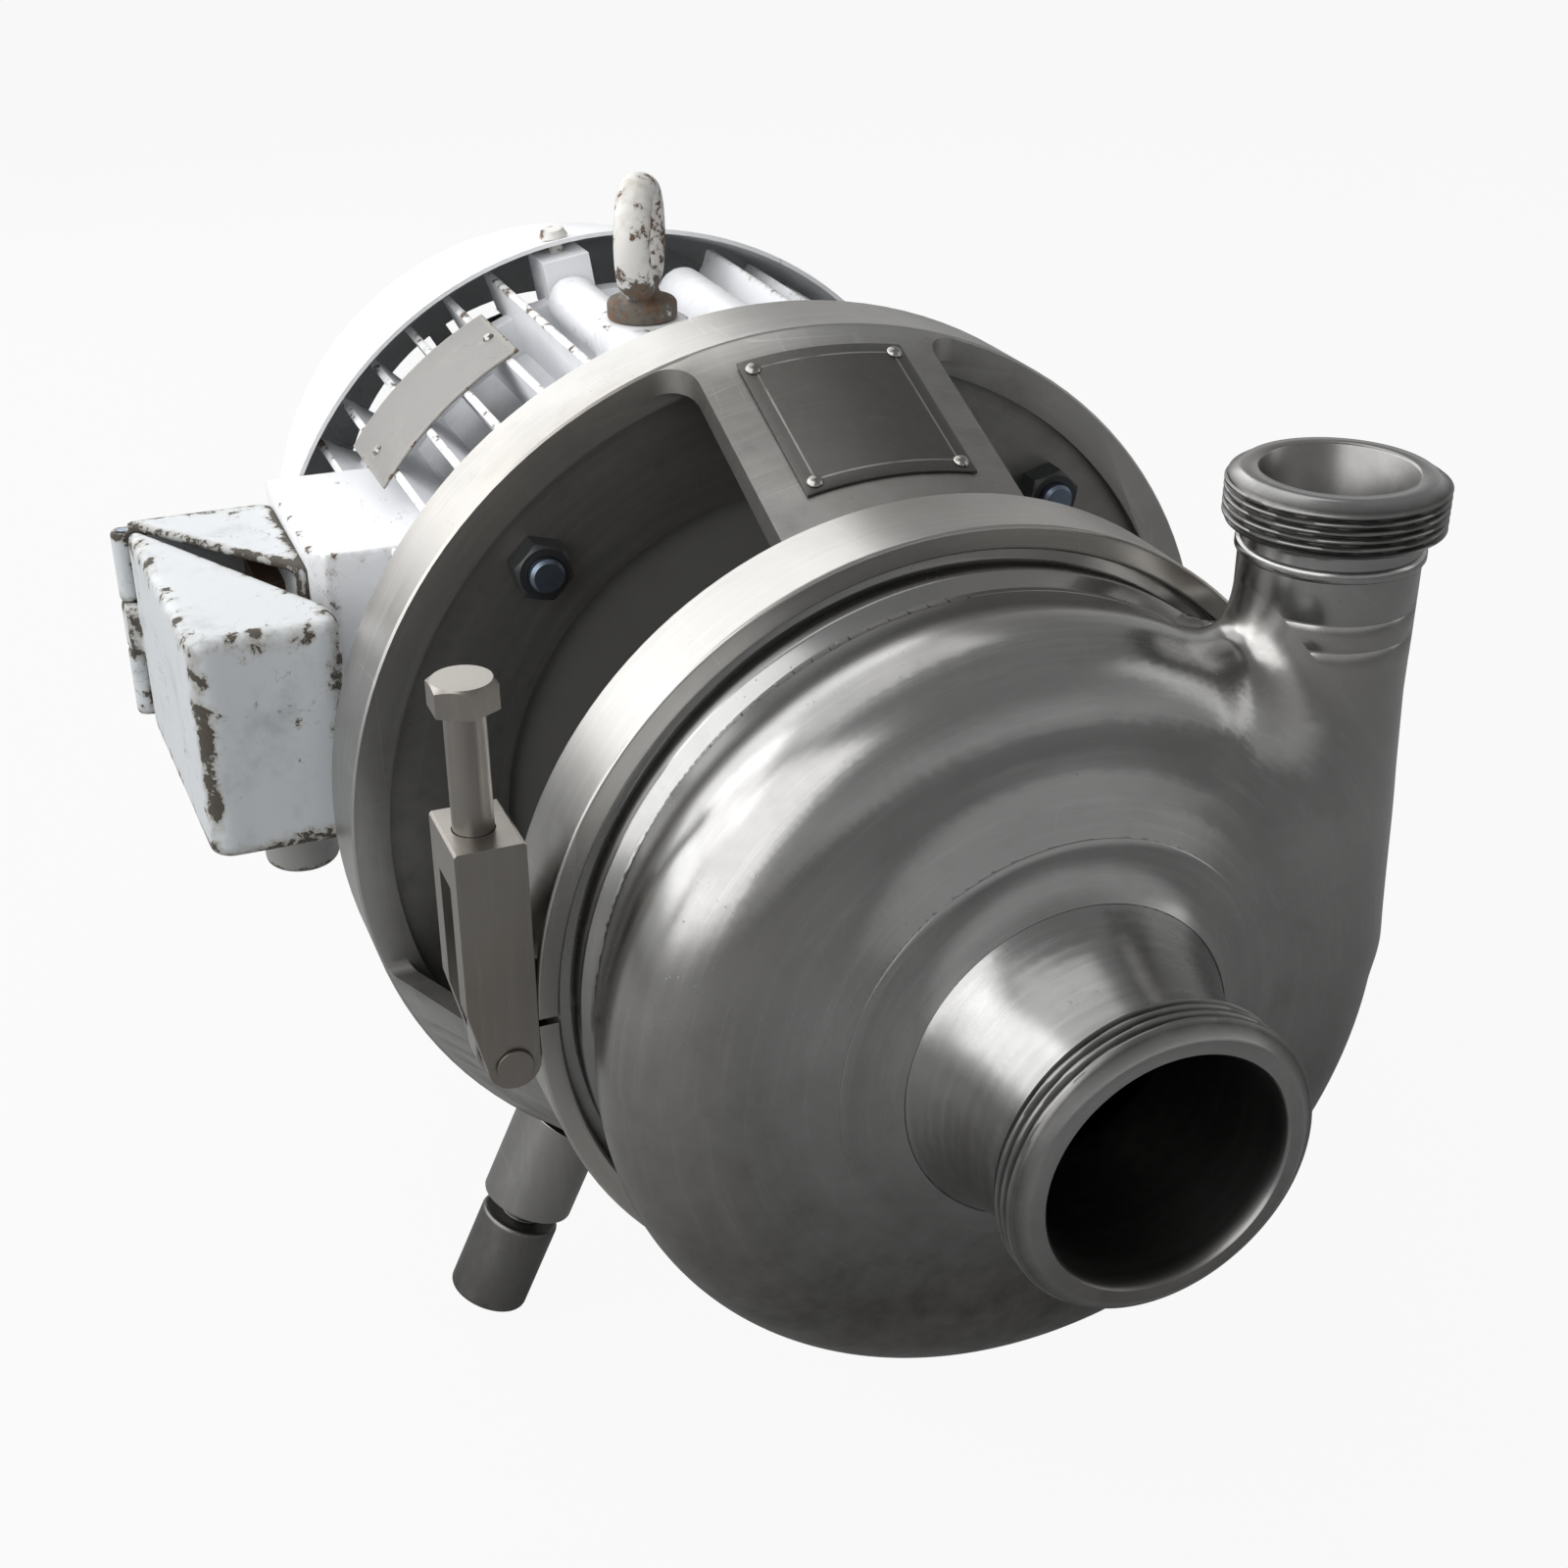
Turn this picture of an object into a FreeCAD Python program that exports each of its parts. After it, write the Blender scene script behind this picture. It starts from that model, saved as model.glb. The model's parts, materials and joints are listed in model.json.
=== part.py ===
"""Sanitary centrifugal pump on a flange motor, in millimetres.

The shaft lies along Y. The origin is the centre of the suction port's face, the
suction port opens towards -Y, the discharge port opens towards +Z and the motor lies
towards +Y. Every separate piece is written to its own file in parts/.
"""
import FreeCAD, Part
import math
import os

Vec = FreeCAD.Vector

# General clearances
SEAT = 0.3
RUNNING_FIT = 0.05
EDGE = 1.0
CHAMFER_ANGLE = 30.0
SHARE_ARC_MIDDLE = math.sin(math.radians(45))

# Suction port, male thread of the 4 inch size
SUCTION_BORE_R = 48.8
SUCTION_THREAD_R = 61.75
SUCTION_FACE_R = 55.5
SUCTION_LEAD_IN = 4.5
SUCTION_THREAD_END = 17.5
SUCTION_RELIEF = 2.5
SUCTION_NECK_R = 56.0
SUCTION_NECK_BULGE = 3.6
SUCTION_BELLY = 6.0
SUCTION_ROOT_R = 69.6
SUCTION_ROOT_Y = 75.0
SUCTION_FLARE = 8.0
SUCTION_FLARE_DIP = 1.8

# Discharge port, male thread of the 2 1/2 inch size
DISCHARGE_BORE_R = 30.15
DISCHARGE_THREAD_R = 42.7
DISCHARGE_FACE_R = 37.5
DISCHARGE_X = 135.0
DISCHARGE_TOP = 200.5
DISCHARGE_LEAD_IN = 4.0
DISCHARGE_THREAD_END = 20.0
DISCHARGE_NECK_R = 35.0
DISCHARGE_COLLAR_R = 36.6
DISCHARGE_COLLAR_DROP = 29.0
DISCHARGE_COLLAR_WIDTH = 4.0
DISCHARGE_TAPER_TOP = 112.0

# Joint stack inside the clamp ring
STACK_R = 173.5
CASING_FLANGE = 7.5
BACKPLATE_FLANGE = 6.0
ADAPTOR_FLANGE = 11.5
ADAPTOR_FLANGE_REACH = 45.5
FLANGE_TAPER = 1.5

# Volute casing
STEP_R = 91.0
STEP_Y = 82.0
STEP_HEIGHT = 1.2
DOME_R = 120.0
DOME_Y = 96.0
VOLUTE_Y = 131.0
VOLUTE_START_ANGLE = 62.0
VOLUTE_FULL_ANGLE = 285.0
VOLUTE_START_R = 26.0
VOLUTE_END_R = 40.0
VOLUTE_START_REACH = 153.0
VOLUTE_END_REACH = 178.5
VOLUTE_SECTIONS = 13
CASING_WALL = 5.0
INLET_FLARE = 10.0
INLET_FLARE_LENGTH = 12.0
CASING_RIM_Y = 169.0
CASING_RIM_LENGTH = 14.5
CASING_RIM_INSET = 5.5
CASING_SHOULDER_INSET = 5.5
CASING_SHOULDER_SLOPE = 4.0
CASING_REAR_LEDGE = 12.0

# Clamp ring
CLAMP_CLEARANCE = 0.8
CLAMP_WALL = 4.7
CLAMP_LIP = 4.5
CLAMP_FRONT_LIP = 7.0
CLAMP_REAR_LIP = 8.5
CLAMP_SPLIT_GAP = 3.0
LUG_SETBACK = 6.5
LUG_THICKNESS = 13.0
LUG_GAP = 2.0
LUG_TOP_REACH = 41.0
LOWER_LUG_R = 12.0
LINK_PIN_OUT = 11.0
LINK_PIN_Z = -13.0
LINK_PIN_R = 5.0
LINK_PIN_HEAD_R = 7.5
LINK_PIN_HEAD = 1.6
HINGE_PIN_OUT = 12.0
HINGE_PIN_R = 5.0
HINGE_KNUCKLE_R = 10.0
HINGE_KNUCKLE_WIDTH = 13.0

# Clamp link and bolt
LINK_HEIGHT = 97.0
LINK_BAR = 19.0
LINK_REACH = 17.0
LINK_PLATE = 10.5
LINK_END_R = 10.6
LINK_TAPER_TOP = 14.0
BOLT_R = 8.0
BOLT_OFFSET = 4.5
BOLT_HEAD_FLATS = 24.0
BOLT_HEAD_HEIGHT = 11.5
BOLT_RAISED = 50.0
PAD_RAISED = 11.25
PAD_R = 7.0
PAD_HEIGHT = 4.0

# Adaptor
ADAPTOR_LENGTH = 125.0
RING_R = 217.0
RING_WIDTH = 43.5
RING_RIM = 17.0
WEB_SETBACK = 6.5
WEB_THICKNESS = 12.0
WEB_INSET = 31.0
SHELL_STEP = 7.5
SHELL_WALL = 11.0
BRIDGE_WIDTH = 110.0
TROUGH_TOP = -62.0
WINDOW_CORNER = 16.0
WINDOW_LOW_CORNER = 6.0

# Name plate
PLATE_WIDTH = 76.0
PLATE_LENGTH = 78.0
PLATE_THICKNESS = 1.2
PLATE_SETBACK = 53.5
PLATE_SCREW_R = 3.6
PLATE_SCREW_PIN_R = 1.5
PLATE_SCREW_DOME = 2.2
PLATE_SCREW_DEPTH = 6.0
PLATE_SCREW_INSET = 5.5

# Front legs
LEG_SETBACK = 16.5
LEG_TILT_ANGLE = 25.0
LEG_RING_ANGLE = 54.8
LEG_BOSS_R = 23.0
LEG_BOSS_LENGTH = 50.0
LEG_STUD_R = 10.0
LEG_STUD_DEPTH = 34.0
LEG_BORE_DEPTH = 46.0
FOOT_R = 20.0
FOOT_LENGTH = 49.0
FOOT_GAP = 9.0
FOOT_CHAMFER = 1.5

# Rear leg
REAR_LEG_SETBACK = 32.0
REAR_PAD_WIDTH = 92.0
REAR_PAD_LENGTH = 48.0
REAR_BOSS_LENGTH = 27.6
REAR_BORE_DEPTH = 44.0

# Motor flange joint
FLANGE_STUDS = 4
FLANGE_STUD_ANGLE = 45.0
STUD_INSET = 25.0
STUD_R = 8.0
STUD_OUT = 18.0
NUT_FLATS = 24.0
NUT_HEIGHT = 13.0
MOTOR_FLANGE = 18.0
SPIGOT_HEIGHT = 5.0
SHIELD_LENGTH = 18.0
SHIELD_SHOULDER = 24.0
SHIELD_HUB_WALL = 12.0
SHIELD_FILLET = 4.0
SHAFT_CLEARANCE = 3.0
REGISTER_DEPTH = 8.0
REGISTER_WALL = 12.0

# Motor frame
FRAME_R = 152.0
FRAME_LENGTH = 204.0
FRAME_WALL = 12.0
FIN_HEIGHT = 38.0
FIN_ROOT_THICKNESS = 6.0
FIN_TIP_THICKNESS = 4.0
FIN_PITCH_ANGLE = 8.0
FIN_FIRST_ANGLE = 6.0
FIN_TOP_ANGLE = 23.0
SADDLE_FROM_ANGLE = 151.0
SADDLE_TO_ANGLE = 199.0
TOP_BOSS_ANGLE = 14.0
BOSS_R = 14.0
BOSS_OUT = 18.0
BOSS_SETBACK = 16.0
EYE_PAD_R = 24.0
EYE_PAD_HEIGHT = 29.6
EYE_X = -20.0
EYE_SETBACK = 109.0

# Motor inside
STATOR_DEPTH = 45.0
STATOR_SETBACK = 44.0
WINDING_OVERHANG = 24.0
WINDING_WALL = 34.0
WINDING_ROUND = 6.0
AIR_GAP = 1.0
MOTOR_SHAFT_R = 27.5
SHAFT_STEP = 2.5
BEARING_OUTER_R = 60.0
BEARING_WIDTH = 27.0
BEARING_RING = 8.0
BEARING_GROOVE = 2.0
BEARING_BALLS = 8
SHIELD_WALL = 12.0
SHIELD_DISC_OUT = 20.0

# Fan and cowl
COWL_SETBACK = 6.0
COWL_LENGTH = 156.0
COWL_CLEARANCE = 11.5
COWL_TAPER = 29.5
COWL_ROUND = 18.0
COWL_SHEET = 2.5
COWL_SLOT_ROWS = 4
COWL_SLOT_PITCH = 25.0
COWL_SLOT_WIDTH = 9.0
COWL_SLOT_FIRST_R = 48.0
COWL_SPOKES = 6
COWL_SPOKE_WIDTH = 12.0
COWL_LUGS = 4
COWL_LUG_ANGLE = 99.0
COWL_LUG_WIDTH = 26.0
COWL_LUG_LENGTH = 24.0
COWL_SCREW_R = 4.0
COWL_SCREW_HEAD_R = 8.0
COWL_SCREW_HEAD = 4.0
FAN_SETBACK = 68.0
FAN_WIDTH = 42.0
FAN_CLEARANCE = 32.0
FAN_HUB_R = 45.0
FAN_BLADES = 8
FAN_BLADE_THICKNESS = 5.0
FAN_BLADE_INSET = 4.0
FAN_DISC = 5.0

# Eyebolt
EYE_BAR_R = 7.0
EYE_RING_R = 24.5
EYE_RING_SINK = 2.8
EYE_COLLAR_R = 17.5
EYE_COLLAR_HEIGHT = 10.0
EYE_COLLAR_ROUND = 3.0
EYE_NECK_LOW_R = 11.9
EYE_NECK_TOP_R = 6.3
EYE_SHANK_R = 8.0
EYE_SHANK_LENGTH = 26.0
EYE_TURN_ANGLE = 71.4

# Rating plate
RATING_FROM_ANGLE = 116.0
RATING_TO_ANGLE = 145.0
RATING_SETBACK = 110.0
RATING_WIDTH = 70.0
RATING_SHEET = 1.6
RIVET_R = 1.6
RIVET_HEAD_R = 3.2
RIVET_HEAD_TOP_R = 1.8
RIVET_DEPTH = 8.0

# Terminal box
BOX_STANDOFF = 13.0
BOX_DEPTH = 74.0
BOX_SETBACK = 30.0
BOX_TOP = 88.0
BOX_BOTTOM = -22.0
BOX_WALL = 4.5
BOX_ROUND = 7.0
BOX_MOUTH_SLANT = 99.0
LID_LENGTH = 170.0
LID_TAPER = 6.0
LID_SIDE = 24.0
LID_OVERHANG = 2.0
LID_ROUND = 11.0
LID_EDGE_ROUND = 5.0
LID_MOUTH_ROUND = 3.5
LID_PIN_R = 3.0
LID_KNUCKLE_R = 6.5
LID_KNUCKLE_HEIGHT = 26.0
LID_ARM_LENGTH = 14.3
SADDLE_TOP = 97.0
SADDLE_BOTTOM = -30.0
SADDLE_FRONT_OUT = 110.0
SADDLE_REAR_OUT = 10.0
SADDLE_ROOT = 40.0
PLUG_THREAD_R = 10.0
PLUG_NECK_LENGTH = 12.0
PLUG_BODY_R = 15.5
PLUG_BODY_LENGTH = 28.0
PLUG_HEAD_R = 19.0
PLUG_HEAD_LENGTH = 26.0
PLUG_EDGE = 2.5
PLUG_IN_X = 13.0
PLUG_SETBACK = 59.0
BOARD_THICKNESS = 13.0
BOARD_LENGTH = 46.0
BOARD_HEIGHT = 62.0
TERMINAL_STUD_R = 3.0
TERMINAL_STUD_OUT = 14.0
TERMINAL_COLUMN_PITCH = 18.4
TERMINAL_ROW_PITCH = 18.6

# Pump shaft, impeller and seal
STUB_R = 20.0
STUB_END_R = 14.0
STUB_HUB_R = 42.0
STUB_HUB_EDGE = 4.0
STUB_HUB_SETBACK = 22.0
STUB_HUB_GAP = 28.0
STUB_SOCKET_SETBACK = 12.0
STUB_SCREWS = 4
STUB_SCREW_ANGLE = 45.0
STUB_SCREW_R = 5.0
IMPELLER_CLEARANCE = 18.0
IMPELLER_GAP = 5.0
IMPELLER_DISC = 6.0
IMPELLER_DISC_TAPER = 2.0
IMPELLER_HUB_R = 32.0
IMPELLER_HUB_LENGTH = 50.0
IMPELLER_HUB_EDGE = 8.0
IMPELLER_HUB_FLARE = 16.0
IMPELLER_TIP_WIDTH = 30.0
IMPELLER_VANES = 6
IMPELLER_SWEEP_ANGLE = 62.0
VANE_THICKNESS = 5.0
VANE_POINTS = 6
VANE_OVERLAP = 6.0
NUT_NOSE_R = 24.0
NUT_NOSE_LENGTH = 32.0
NUT_NOSE_ROUND = 14.0
NUT_NOSE_TIP = 4.5
SEAL_BORE_R = 33.0
SEAL_RING_R = 31.0
SEAL_RING_WIDTH = 9.0
SEAL_RING_EDGE = 2.5
SEAL_SEAT_WIDTH = 11.0
SEAL_LIP_R = 24.0
SEAL_FOLDS = 3
SEAL_FOLD_WALL = 3.4
ORING_R = 2.6
ORING_INSET = 12.0
BACKPLATE_REACH = 14.0
BACKPLATE_WALL = 8.0
BACKPLATE_HUB_R = 62.0
BACKPLATE_HUB_LENGTH = 39.0

# Worked out from the values above, along the shaft
STACK_FRONT = CASING_RIM_Y + CASING_RIM_LENGTH
STACK_CASING_REAR = STACK_FRONT + CASING_FLANGE
STACK_BACKPLATE_REAR = STACK_CASING_REAR + BACKPLATE_FLANGE
STACK_REAR = STACK_BACKPLATE_REAR + ADAPTOR_FLANGE
CASING_SHOULDER_Y = CASING_RIM_Y - CASING_SHOULDER_SLOPE
CLAMP_FRONT = STACK_FRONT - CLAMP_FRONT_LIP
CLAMP_REAR = STACK_REAR + CLAMP_REAR_LIP
CLAMP_MIDDLE = (CLAMP_FRONT + CLAMP_REAR) / 2
BACKPLATE_FRONT = STACK_CASING_REAR - BACKPLATE_REACH
BACKPLATE_HUB_REAR = BACKPLATE_FRONT + BACKPLATE_HUB_LENGTH
IMPELLER_BACK = BACKPLATE_FRONT - IMPELLER_GAP
IMPELLER_DISC_FRONT = IMPELLER_BACK - IMPELLER_DISC
IMPELLER_HUB_FRONT = IMPELLER_BACK - IMPELLER_HUB_LENGTH
SEAL_FACE = BACKPLATE_HUB_REAR - SEAL_SEAT_WIDTH - CASING_WALL
RING_FRONT = STACK_REAR + ADAPTOR_LENGTH
RING_REAR = RING_FRONT + RING_WIDTH
WEB_FRONT = RING_FRONT + WEB_SETBACK
WEB_REAR = WEB_FRONT + WEB_THICKNESS
LEG_Y = RING_FRONT + LEG_SETBACK
PLATE_MIDDLE_Y = RING_FRONT - PLATE_SETBACK
FLANGE_REAR = WEB_REAR + MOTOR_FLANGE
FRAME_FRONT = FLANGE_REAR + SHIELD_LENGTH
FRAME_REAR = FRAME_FRONT + FRAME_LENGTH
EYE_Y = FRAME_FRONT + EYE_SETBACK
RATING_Y = FRAME_FRONT + RATING_SETBACK
REAR_LEG_Y = FRAME_REAR - REAR_LEG_SETBACK
STATOR_FRONT = FRAME_FRONT + STATOR_SETBACK
STATOR_REAR = FRAME_REAR - STATOR_SETBACK
FRONT_BEARING_Y = FLANGE_REAR - REGISTER_DEPTH
REAR_BEARING_Y = FRAME_REAR + SEAT
COWL_FRONT = FRAME_REAR + COWL_SETBACK
COWL_REAR = COWL_FRONT + COWL_LENGTH
FAN_FRONT = FRAME_REAR + FAN_SETBACK
SHAFT_REAR = FAN_FRONT + FAN_WIDTH
STUB_HUB_FRONT = BACKPLATE_HUB_REAR + STUB_HUB_SETBACK
STUB_HUB_REAR = WEB_REAR - STUB_HUB_GAP
MOTOR_SHAFT_FRONT = STUB_HUB_FRONT + STUB_SOCKET_SETBACK
LUG_Y = STACK_FRONT + LUG_SETBACK
LUG_FRONT = LUG_Y - LUG_THICKNESS / 2
LUG_REAR = LUG_Y + LUG_THICKNESS / 2
LINK_FRONT = LUG_FRONT - LUG_GAP - LINK_PLATE
LINK_REAR = LUG_REAR + LUG_GAP + LINK_PLATE
BOX_REAR = FRAME_REAR - BOX_SETBACK
BOX_MOUTH_Y = BOX_REAR - BOX_MOUTH_SLANT
LID_FRONT = BOX_REAR - LID_LENGTH
LID_MOUTH_Y = LID_FRONT + LID_SIDE
SADDLE_FRONT = BOX_REAR - SADDLE_FRONT_OUT
SADDLE_REAR = BOX_REAR + SADDLE_REAR_OUT
PLUG_Y = BOX_REAR - PLUG_SETBACK

# Worked out from the values above, across the shaft
CLAMP_INNER_R = STACK_R + CLAMP_CLEARANCE
CLAMP_OUTER_R = CLAMP_INNER_R + CLAMP_WALL
CLAMP_LIP_R = STACK_R - CLAMP_LIP
CASING_RIM_R = CLAMP_LIP_R - CASING_RIM_INSET
CASING_SHOULDER_R = CASING_RIM_R - CASING_SHOULDER_INSET
CASING_REAR_BORE_R = CASING_SHOULDER_R - CASING_REAR_LEDGE
ORING_CIRCLE_R = CASING_REAR_BORE_R + ORING_INSET
IMPELLER_R = CASING_REAR_BORE_R - IMPELLER_CLEARANCE
SHELL_FRONT_R = STACK_R - SHELL_STEP
ADAPTOR_MOUTH_R = STACK_R - ADAPTOR_FLANGE_REACH
SHELL_SLOPE = (RING_R - SHELL_FRONT_R) / ADAPTOR_LENGTH
RING_RECESS_R = RING_R - RING_RIM
STUD_CIRCLE_R = RING_RECESS_R - STUD_INSET
WEB_BORE_R = STUD_CIRCLE_R - WEB_INSET
SPIGOT_R = WEB_BORE_R - SEAT
SHIELD_SHOULDER_R = FRAME_R + SHIELD_SHOULDER
FRAME_BORE_R = FRAME_R - FRAME_WALL
FIN_TIP_R = FRAME_R + FIN_HEIGHT
BOSS_CIRCLE_R = FRAME_R + BOSS_OUT
EYE_PAD_TOP = FRAME_R + EYE_PAD_HEIGHT
STATOR_BORE_R = FRAME_BORE_R - STATOR_DEPTH
COWL_FRONT_R = FIN_TIP_R + COWL_CLEARANCE
COWL_REAR_R = COWL_FRONT_R - COWL_TAPER
FAN_R = COWL_REAR_R - FAN_CLEARANCE
LINK_PIN_X = CLAMP_OUTER_R + LINK_PIN_OUT
HINGE_PIN_X = CLAMP_OUTER_R + HINGE_PIN_OUT
LUG_OUT_X = LINK_PIN_X + LOWER_LUG_R
LINK_OUT_X = LINK_PIN_X + LINK_REACH
LINK_IN_X = LINK_PIN_X - LINK_END_R
BOLT_X = LINK_PIN_X + BOLT_OFFSET
BOX_IN_X = FIN_TIP_R + BOX_STANDOFF
BOX_OUT_X = BOX_IN_X + BOX_DEPTH
LID_FRONT_OUT_X = BOX_OUT_X - LID_TAPER
LID_FRONT_IN_X = BOX_IN_X - LID_OVERHANG
PLUG_X = BOX_IN_X + PLUG_IN_X

# Worked out from the values above, upwards
LINK_TOP = LINK_PIN_Z + LINK_HEIGHT
PAD_BOTTOM = LINK_PIN_Z + math.sqrt(LUG_TOP_REACH ** 2 - BOLT_OFFSET ** 2) + PAD_RAISED
PAD_TOP = PAD_BOTTOM + PAD_HEIGHT
HEAD_BOTTOM = LINK_TOP + BOLT_RAISED
LEG_START_X = RING_R * math.cos(math.radians(LEG_RING_ANGLE))
LEG_START_Z = -RING_R * math.sin(math.radians(LEG_RING_ANGLE))
LEG_REACH = LEG_BOSS_LENGTH + FOOT_GAP + FOOT_LENGTH
FLOOR_Z = (LEG_START_Z - LEG_REACH * math.cos(math.radians(LEG_TILT_ANGLE))
           - FOOT_R * math.sin(math.radians(LEG_TILT_ANGLE)))
REAR_BOSS_BOTTOM = FLOOR_Z + FOOT_LENGTH + FOOT_GAP
REAR_PAD_Z = REAR_BOSS_BOTTOM + REAR_BOSS_LENGTH + RUNNING_FIT
EYE_COLLAR_TOP = EYE_PAD_TOP + SEAT + EYE_COLLAR_HEIGHT
BOX_MIDDLE = (BOX_TOP + BOX_BOTTOM) / 2
KNUCKLE_BOTTOM = BOX_MIDDLE - LID_KNUCKLE_HEIGHT / 2
KNUCKLE_TOP = BOX_MIDDLE + LID_KNUCKLE_HEIGHT / 2

NODES = {}


def keep(name, shape):
    """Store a finished piece under its node name."""
    NODES[name] = shape


def along_y(radius, start, end, x=0.0, z=0.0):
    """Cylinder parallel to the shaft, from one y to another."""
    return Part.makeCylinder(radius, end - start, Vec(x, start, z), Vec(0, 1, 0))


def along_z(radius, bottom, top, x=0.0, y=0.0):
    """Upright cylinder, from one height to another."""
    return Part.makeCylinder(radius, top - bottom, Vec(x, y, bottom), Vec(0, 0, 1))


def block(x0, x1, y0, y1, z0, z1):
    """Box between two corners."""
    return Part.makeBox(x1 - x0, y1 - y0, z1 - z0, Vec(x0, y0, z0))


def outline(points):
    """Closed wire of (a, b) points. A pair of points is an arc's middle and its end."""
    first = Vec(points[0][0], points[0][1], 0)
    last = first
    edges = []
    for item in points[1:] + [points[0]]:
        if isinstance(item[0], tuple):
            middle = Vec(item[0][0], item[0][1], 0)
            end = Vec(item[1][0], item[1][1], 0)
            edges.append(Part.Arc(last, middle, end).toShape())
        else:
            end = Vec(item[0], item[1], 0)
            if end.distanceToPoint(last) < 1e-6:
                continue
            edges.append(Part.LineSegment(last, end).toShape())
        last = end
    return Part.Wire(edges)


def rounded(corners, radii):
    """Outline points of a polygon whose corners are rounded, each to its own radius."""
    path = []
    for index, corner in enumerate(corners):
        radius = radii[index]
        here = Vec(corner[0], corner[1], 0)
        before = corners[index - 1]
        after = corners[(index + 1) % len(corners)]
        back = (Vec(before[0], before[1], 0) - here).normalize()
        ahead = (Vec(after[0], after[1], 0) - here).normalize()
        half = back.getAngle(ahead) / 2
        reach = radius / math.tan(half)
        start = here + back * reach
        end = here + ahead * reach
        inward = (back + ahead).normalize()
        middle = here + inward * (radius / math.sin(half) - radius)
        path.append((start.x, start.y))
        path.append(((middle.x, middle.y), (end.x, end.y)))
    return path


def upright(solid):
    """The same solid with its faces pointing outwards."""
    if solid.Volume < 0:
        solid.reverse()
    return solid


def turned(points):
    """Solid of revolution about the shaft, from a closed outline of (radius, y)."""
    face = Part.Face(outline(points))
    return upright(face.revolve(Vec(0, 0, 0), Vec(0, 1, 0), 360))


def plan_prism(points, bottom, top):
    """Prism from an outline in plan, (x, y), between two heights."""
    face = Part.Face(outline(points))
    face.translate(Vec(0, 0, bottom))
    return upright(face.extrude(Vec(0, 0, top - bottom)))


def front_prism(points, start, end):
    """Prism from an outline seen from the front, (x, z), between two places along Y."""
    face = Part.Face(outline(points))
    face.rotate(Vec(0, 0, 0), Vec(1, 0, 0), 90)
    face.translate(Vec(0, start, 0))
    return upright(face.extrude(Vec(0, end - start, 0)))


def about_shaft(shape, angle):
    """Copy of a shape turned about the shaft, from +X towards +Z."""
    copy = shape.copy()
    copy.rotate(Vec(0, 0, 0), Vec(0, 1, 0), -angle)
    return copy


def joined(shapes):
    """One solid fused from several that overlap."""
    return shapes[0].multiFuse(shapes[1:]).removeSplitter()


def group(shapes):
    """Several separate solids that share one node."""
    return Part.makeCompound(shapes)


def single(shape):
    """The one solid inside a boolean's result."""
    return max(shape.Solids, key=lambda solid: solid.Volume)


def hexagon(flats, height):
    """Upright hexagonal prism on the origin, with the corners of its top turned off."""
    corner = flats / math.sqrt(3)
    points = []
    for step in range(6):
        angle = math.radians(60 * step)
        points.append((corner * math.cos(angle), corner * math.sin(angle)))
    body = plan_prism(points, 0, height)
    spread = math.tan(math.radians(90 - CHAMFER_ANGLE))
    cone = Part.makeCone(flats / 2 + (height + EDGE) * spread, flats / 2, height + EDGE,
                         Vec(0, 0, -EDGE))
    return single(body.common(cone))


def towards(shape, place, direction):
    """Move a shape that stands on the origin to a place, with its +Z along a direction."""
    copy = shape.copy()
    turn = FreeCAD.Placement(place, FreeCAD.Rotation(Vec(0, 0, 1), direction))
    copy.Placement = turn.multiply(copy.Placement)
    return copy


def polar(radius, angle, y=0.0):
    """Point at a radius and an angle from +X towards +Z."""
    turn = math.radians(angle)
    return Vec(radius * math.cos(turn), y, radius * math.sin(turn))


def quarter(corner_r, corner_y, radius):
    """Middle and end of a quarter arc in (radius, y) that leaves along +radius, up to +y."""
    middle = (corner_r + radius * SHARE_ARC_MIDDLE, corner_y + radius * (1 - SHARE_ARC_MIDDLE))
    return (middle, (corner_r + radius, corner_y + radius))


# Volute tube

def volute_section(angle, inset):
    """Round section of the volute tube at an angle about the shaft."""
    share = (angle - VOLUTE_START_ANGLE) / (VOLUTE_FULL_ANGLE - VOLUTE_START_ANGLE)
    share = min(share, 1.0)
    radius = VOLUTE_START_R + (VOLUTE_END_R - VOLUTE_START_R) * share
    reach = VOLUTE_START_REACH + (VOLUTE_END_REACH - VOLUTE_START_REACH) * share
    if angle > VOLUTE_FULL_ANGLE:
        late = (angle - VOLUTE_FULL_ANGLE) / (360.0 - VOLUTE_FULL_ANGLE)
        reach += (DISCHARGE_X + VOLUTE_END_R - VOLUTE_END_REACH) * late
    centre = polar(reach - radius, angle, VOLUTE_Y)
    turn = math.radians(angle)
    normal = Vec(-math.sin(turn), 0, math.cos(turn))
    return Part.Wire(Part.makeCircle(radius - inset, centre, normal))


def volute_tube(inset):
    """Growing tube from the cutwater round to the foot of the discharge neck."""
    step = (360.0 - VOLUTE_START_ANGLE) / (VOLUTE_SECTIONS - 1)
    wires = []
    for index in range(VOLUTE_SECTIONS):
        wires.append(volute_section(VOLUTE_START_ANGLE + step * index, inset))
    return upright(Part.makeLoft(wires, True, False))


def discharge_at(bottom, top, low_r, high_r):
    """Upright cone or cylinder on the discharge axis."""
    place = Vec(DISCHARGE_X, VOLUTE_Y, bottom)
    if abs(low_r - high_r) < 1e-6:
        return Part.makeCylinder(low_r, top - bottom, place)
    return Part.makeCone(low_r, high_r, top - bottom, place)


def oring_groove(radius):
    """Ring between the casing flange and the back plate."""
    return Part.makeTorus(ORING_CIRCLE_R, radius, Vec(0, STACK_CASING_REAR, 0), Vec(0, 1, 0))


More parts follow.
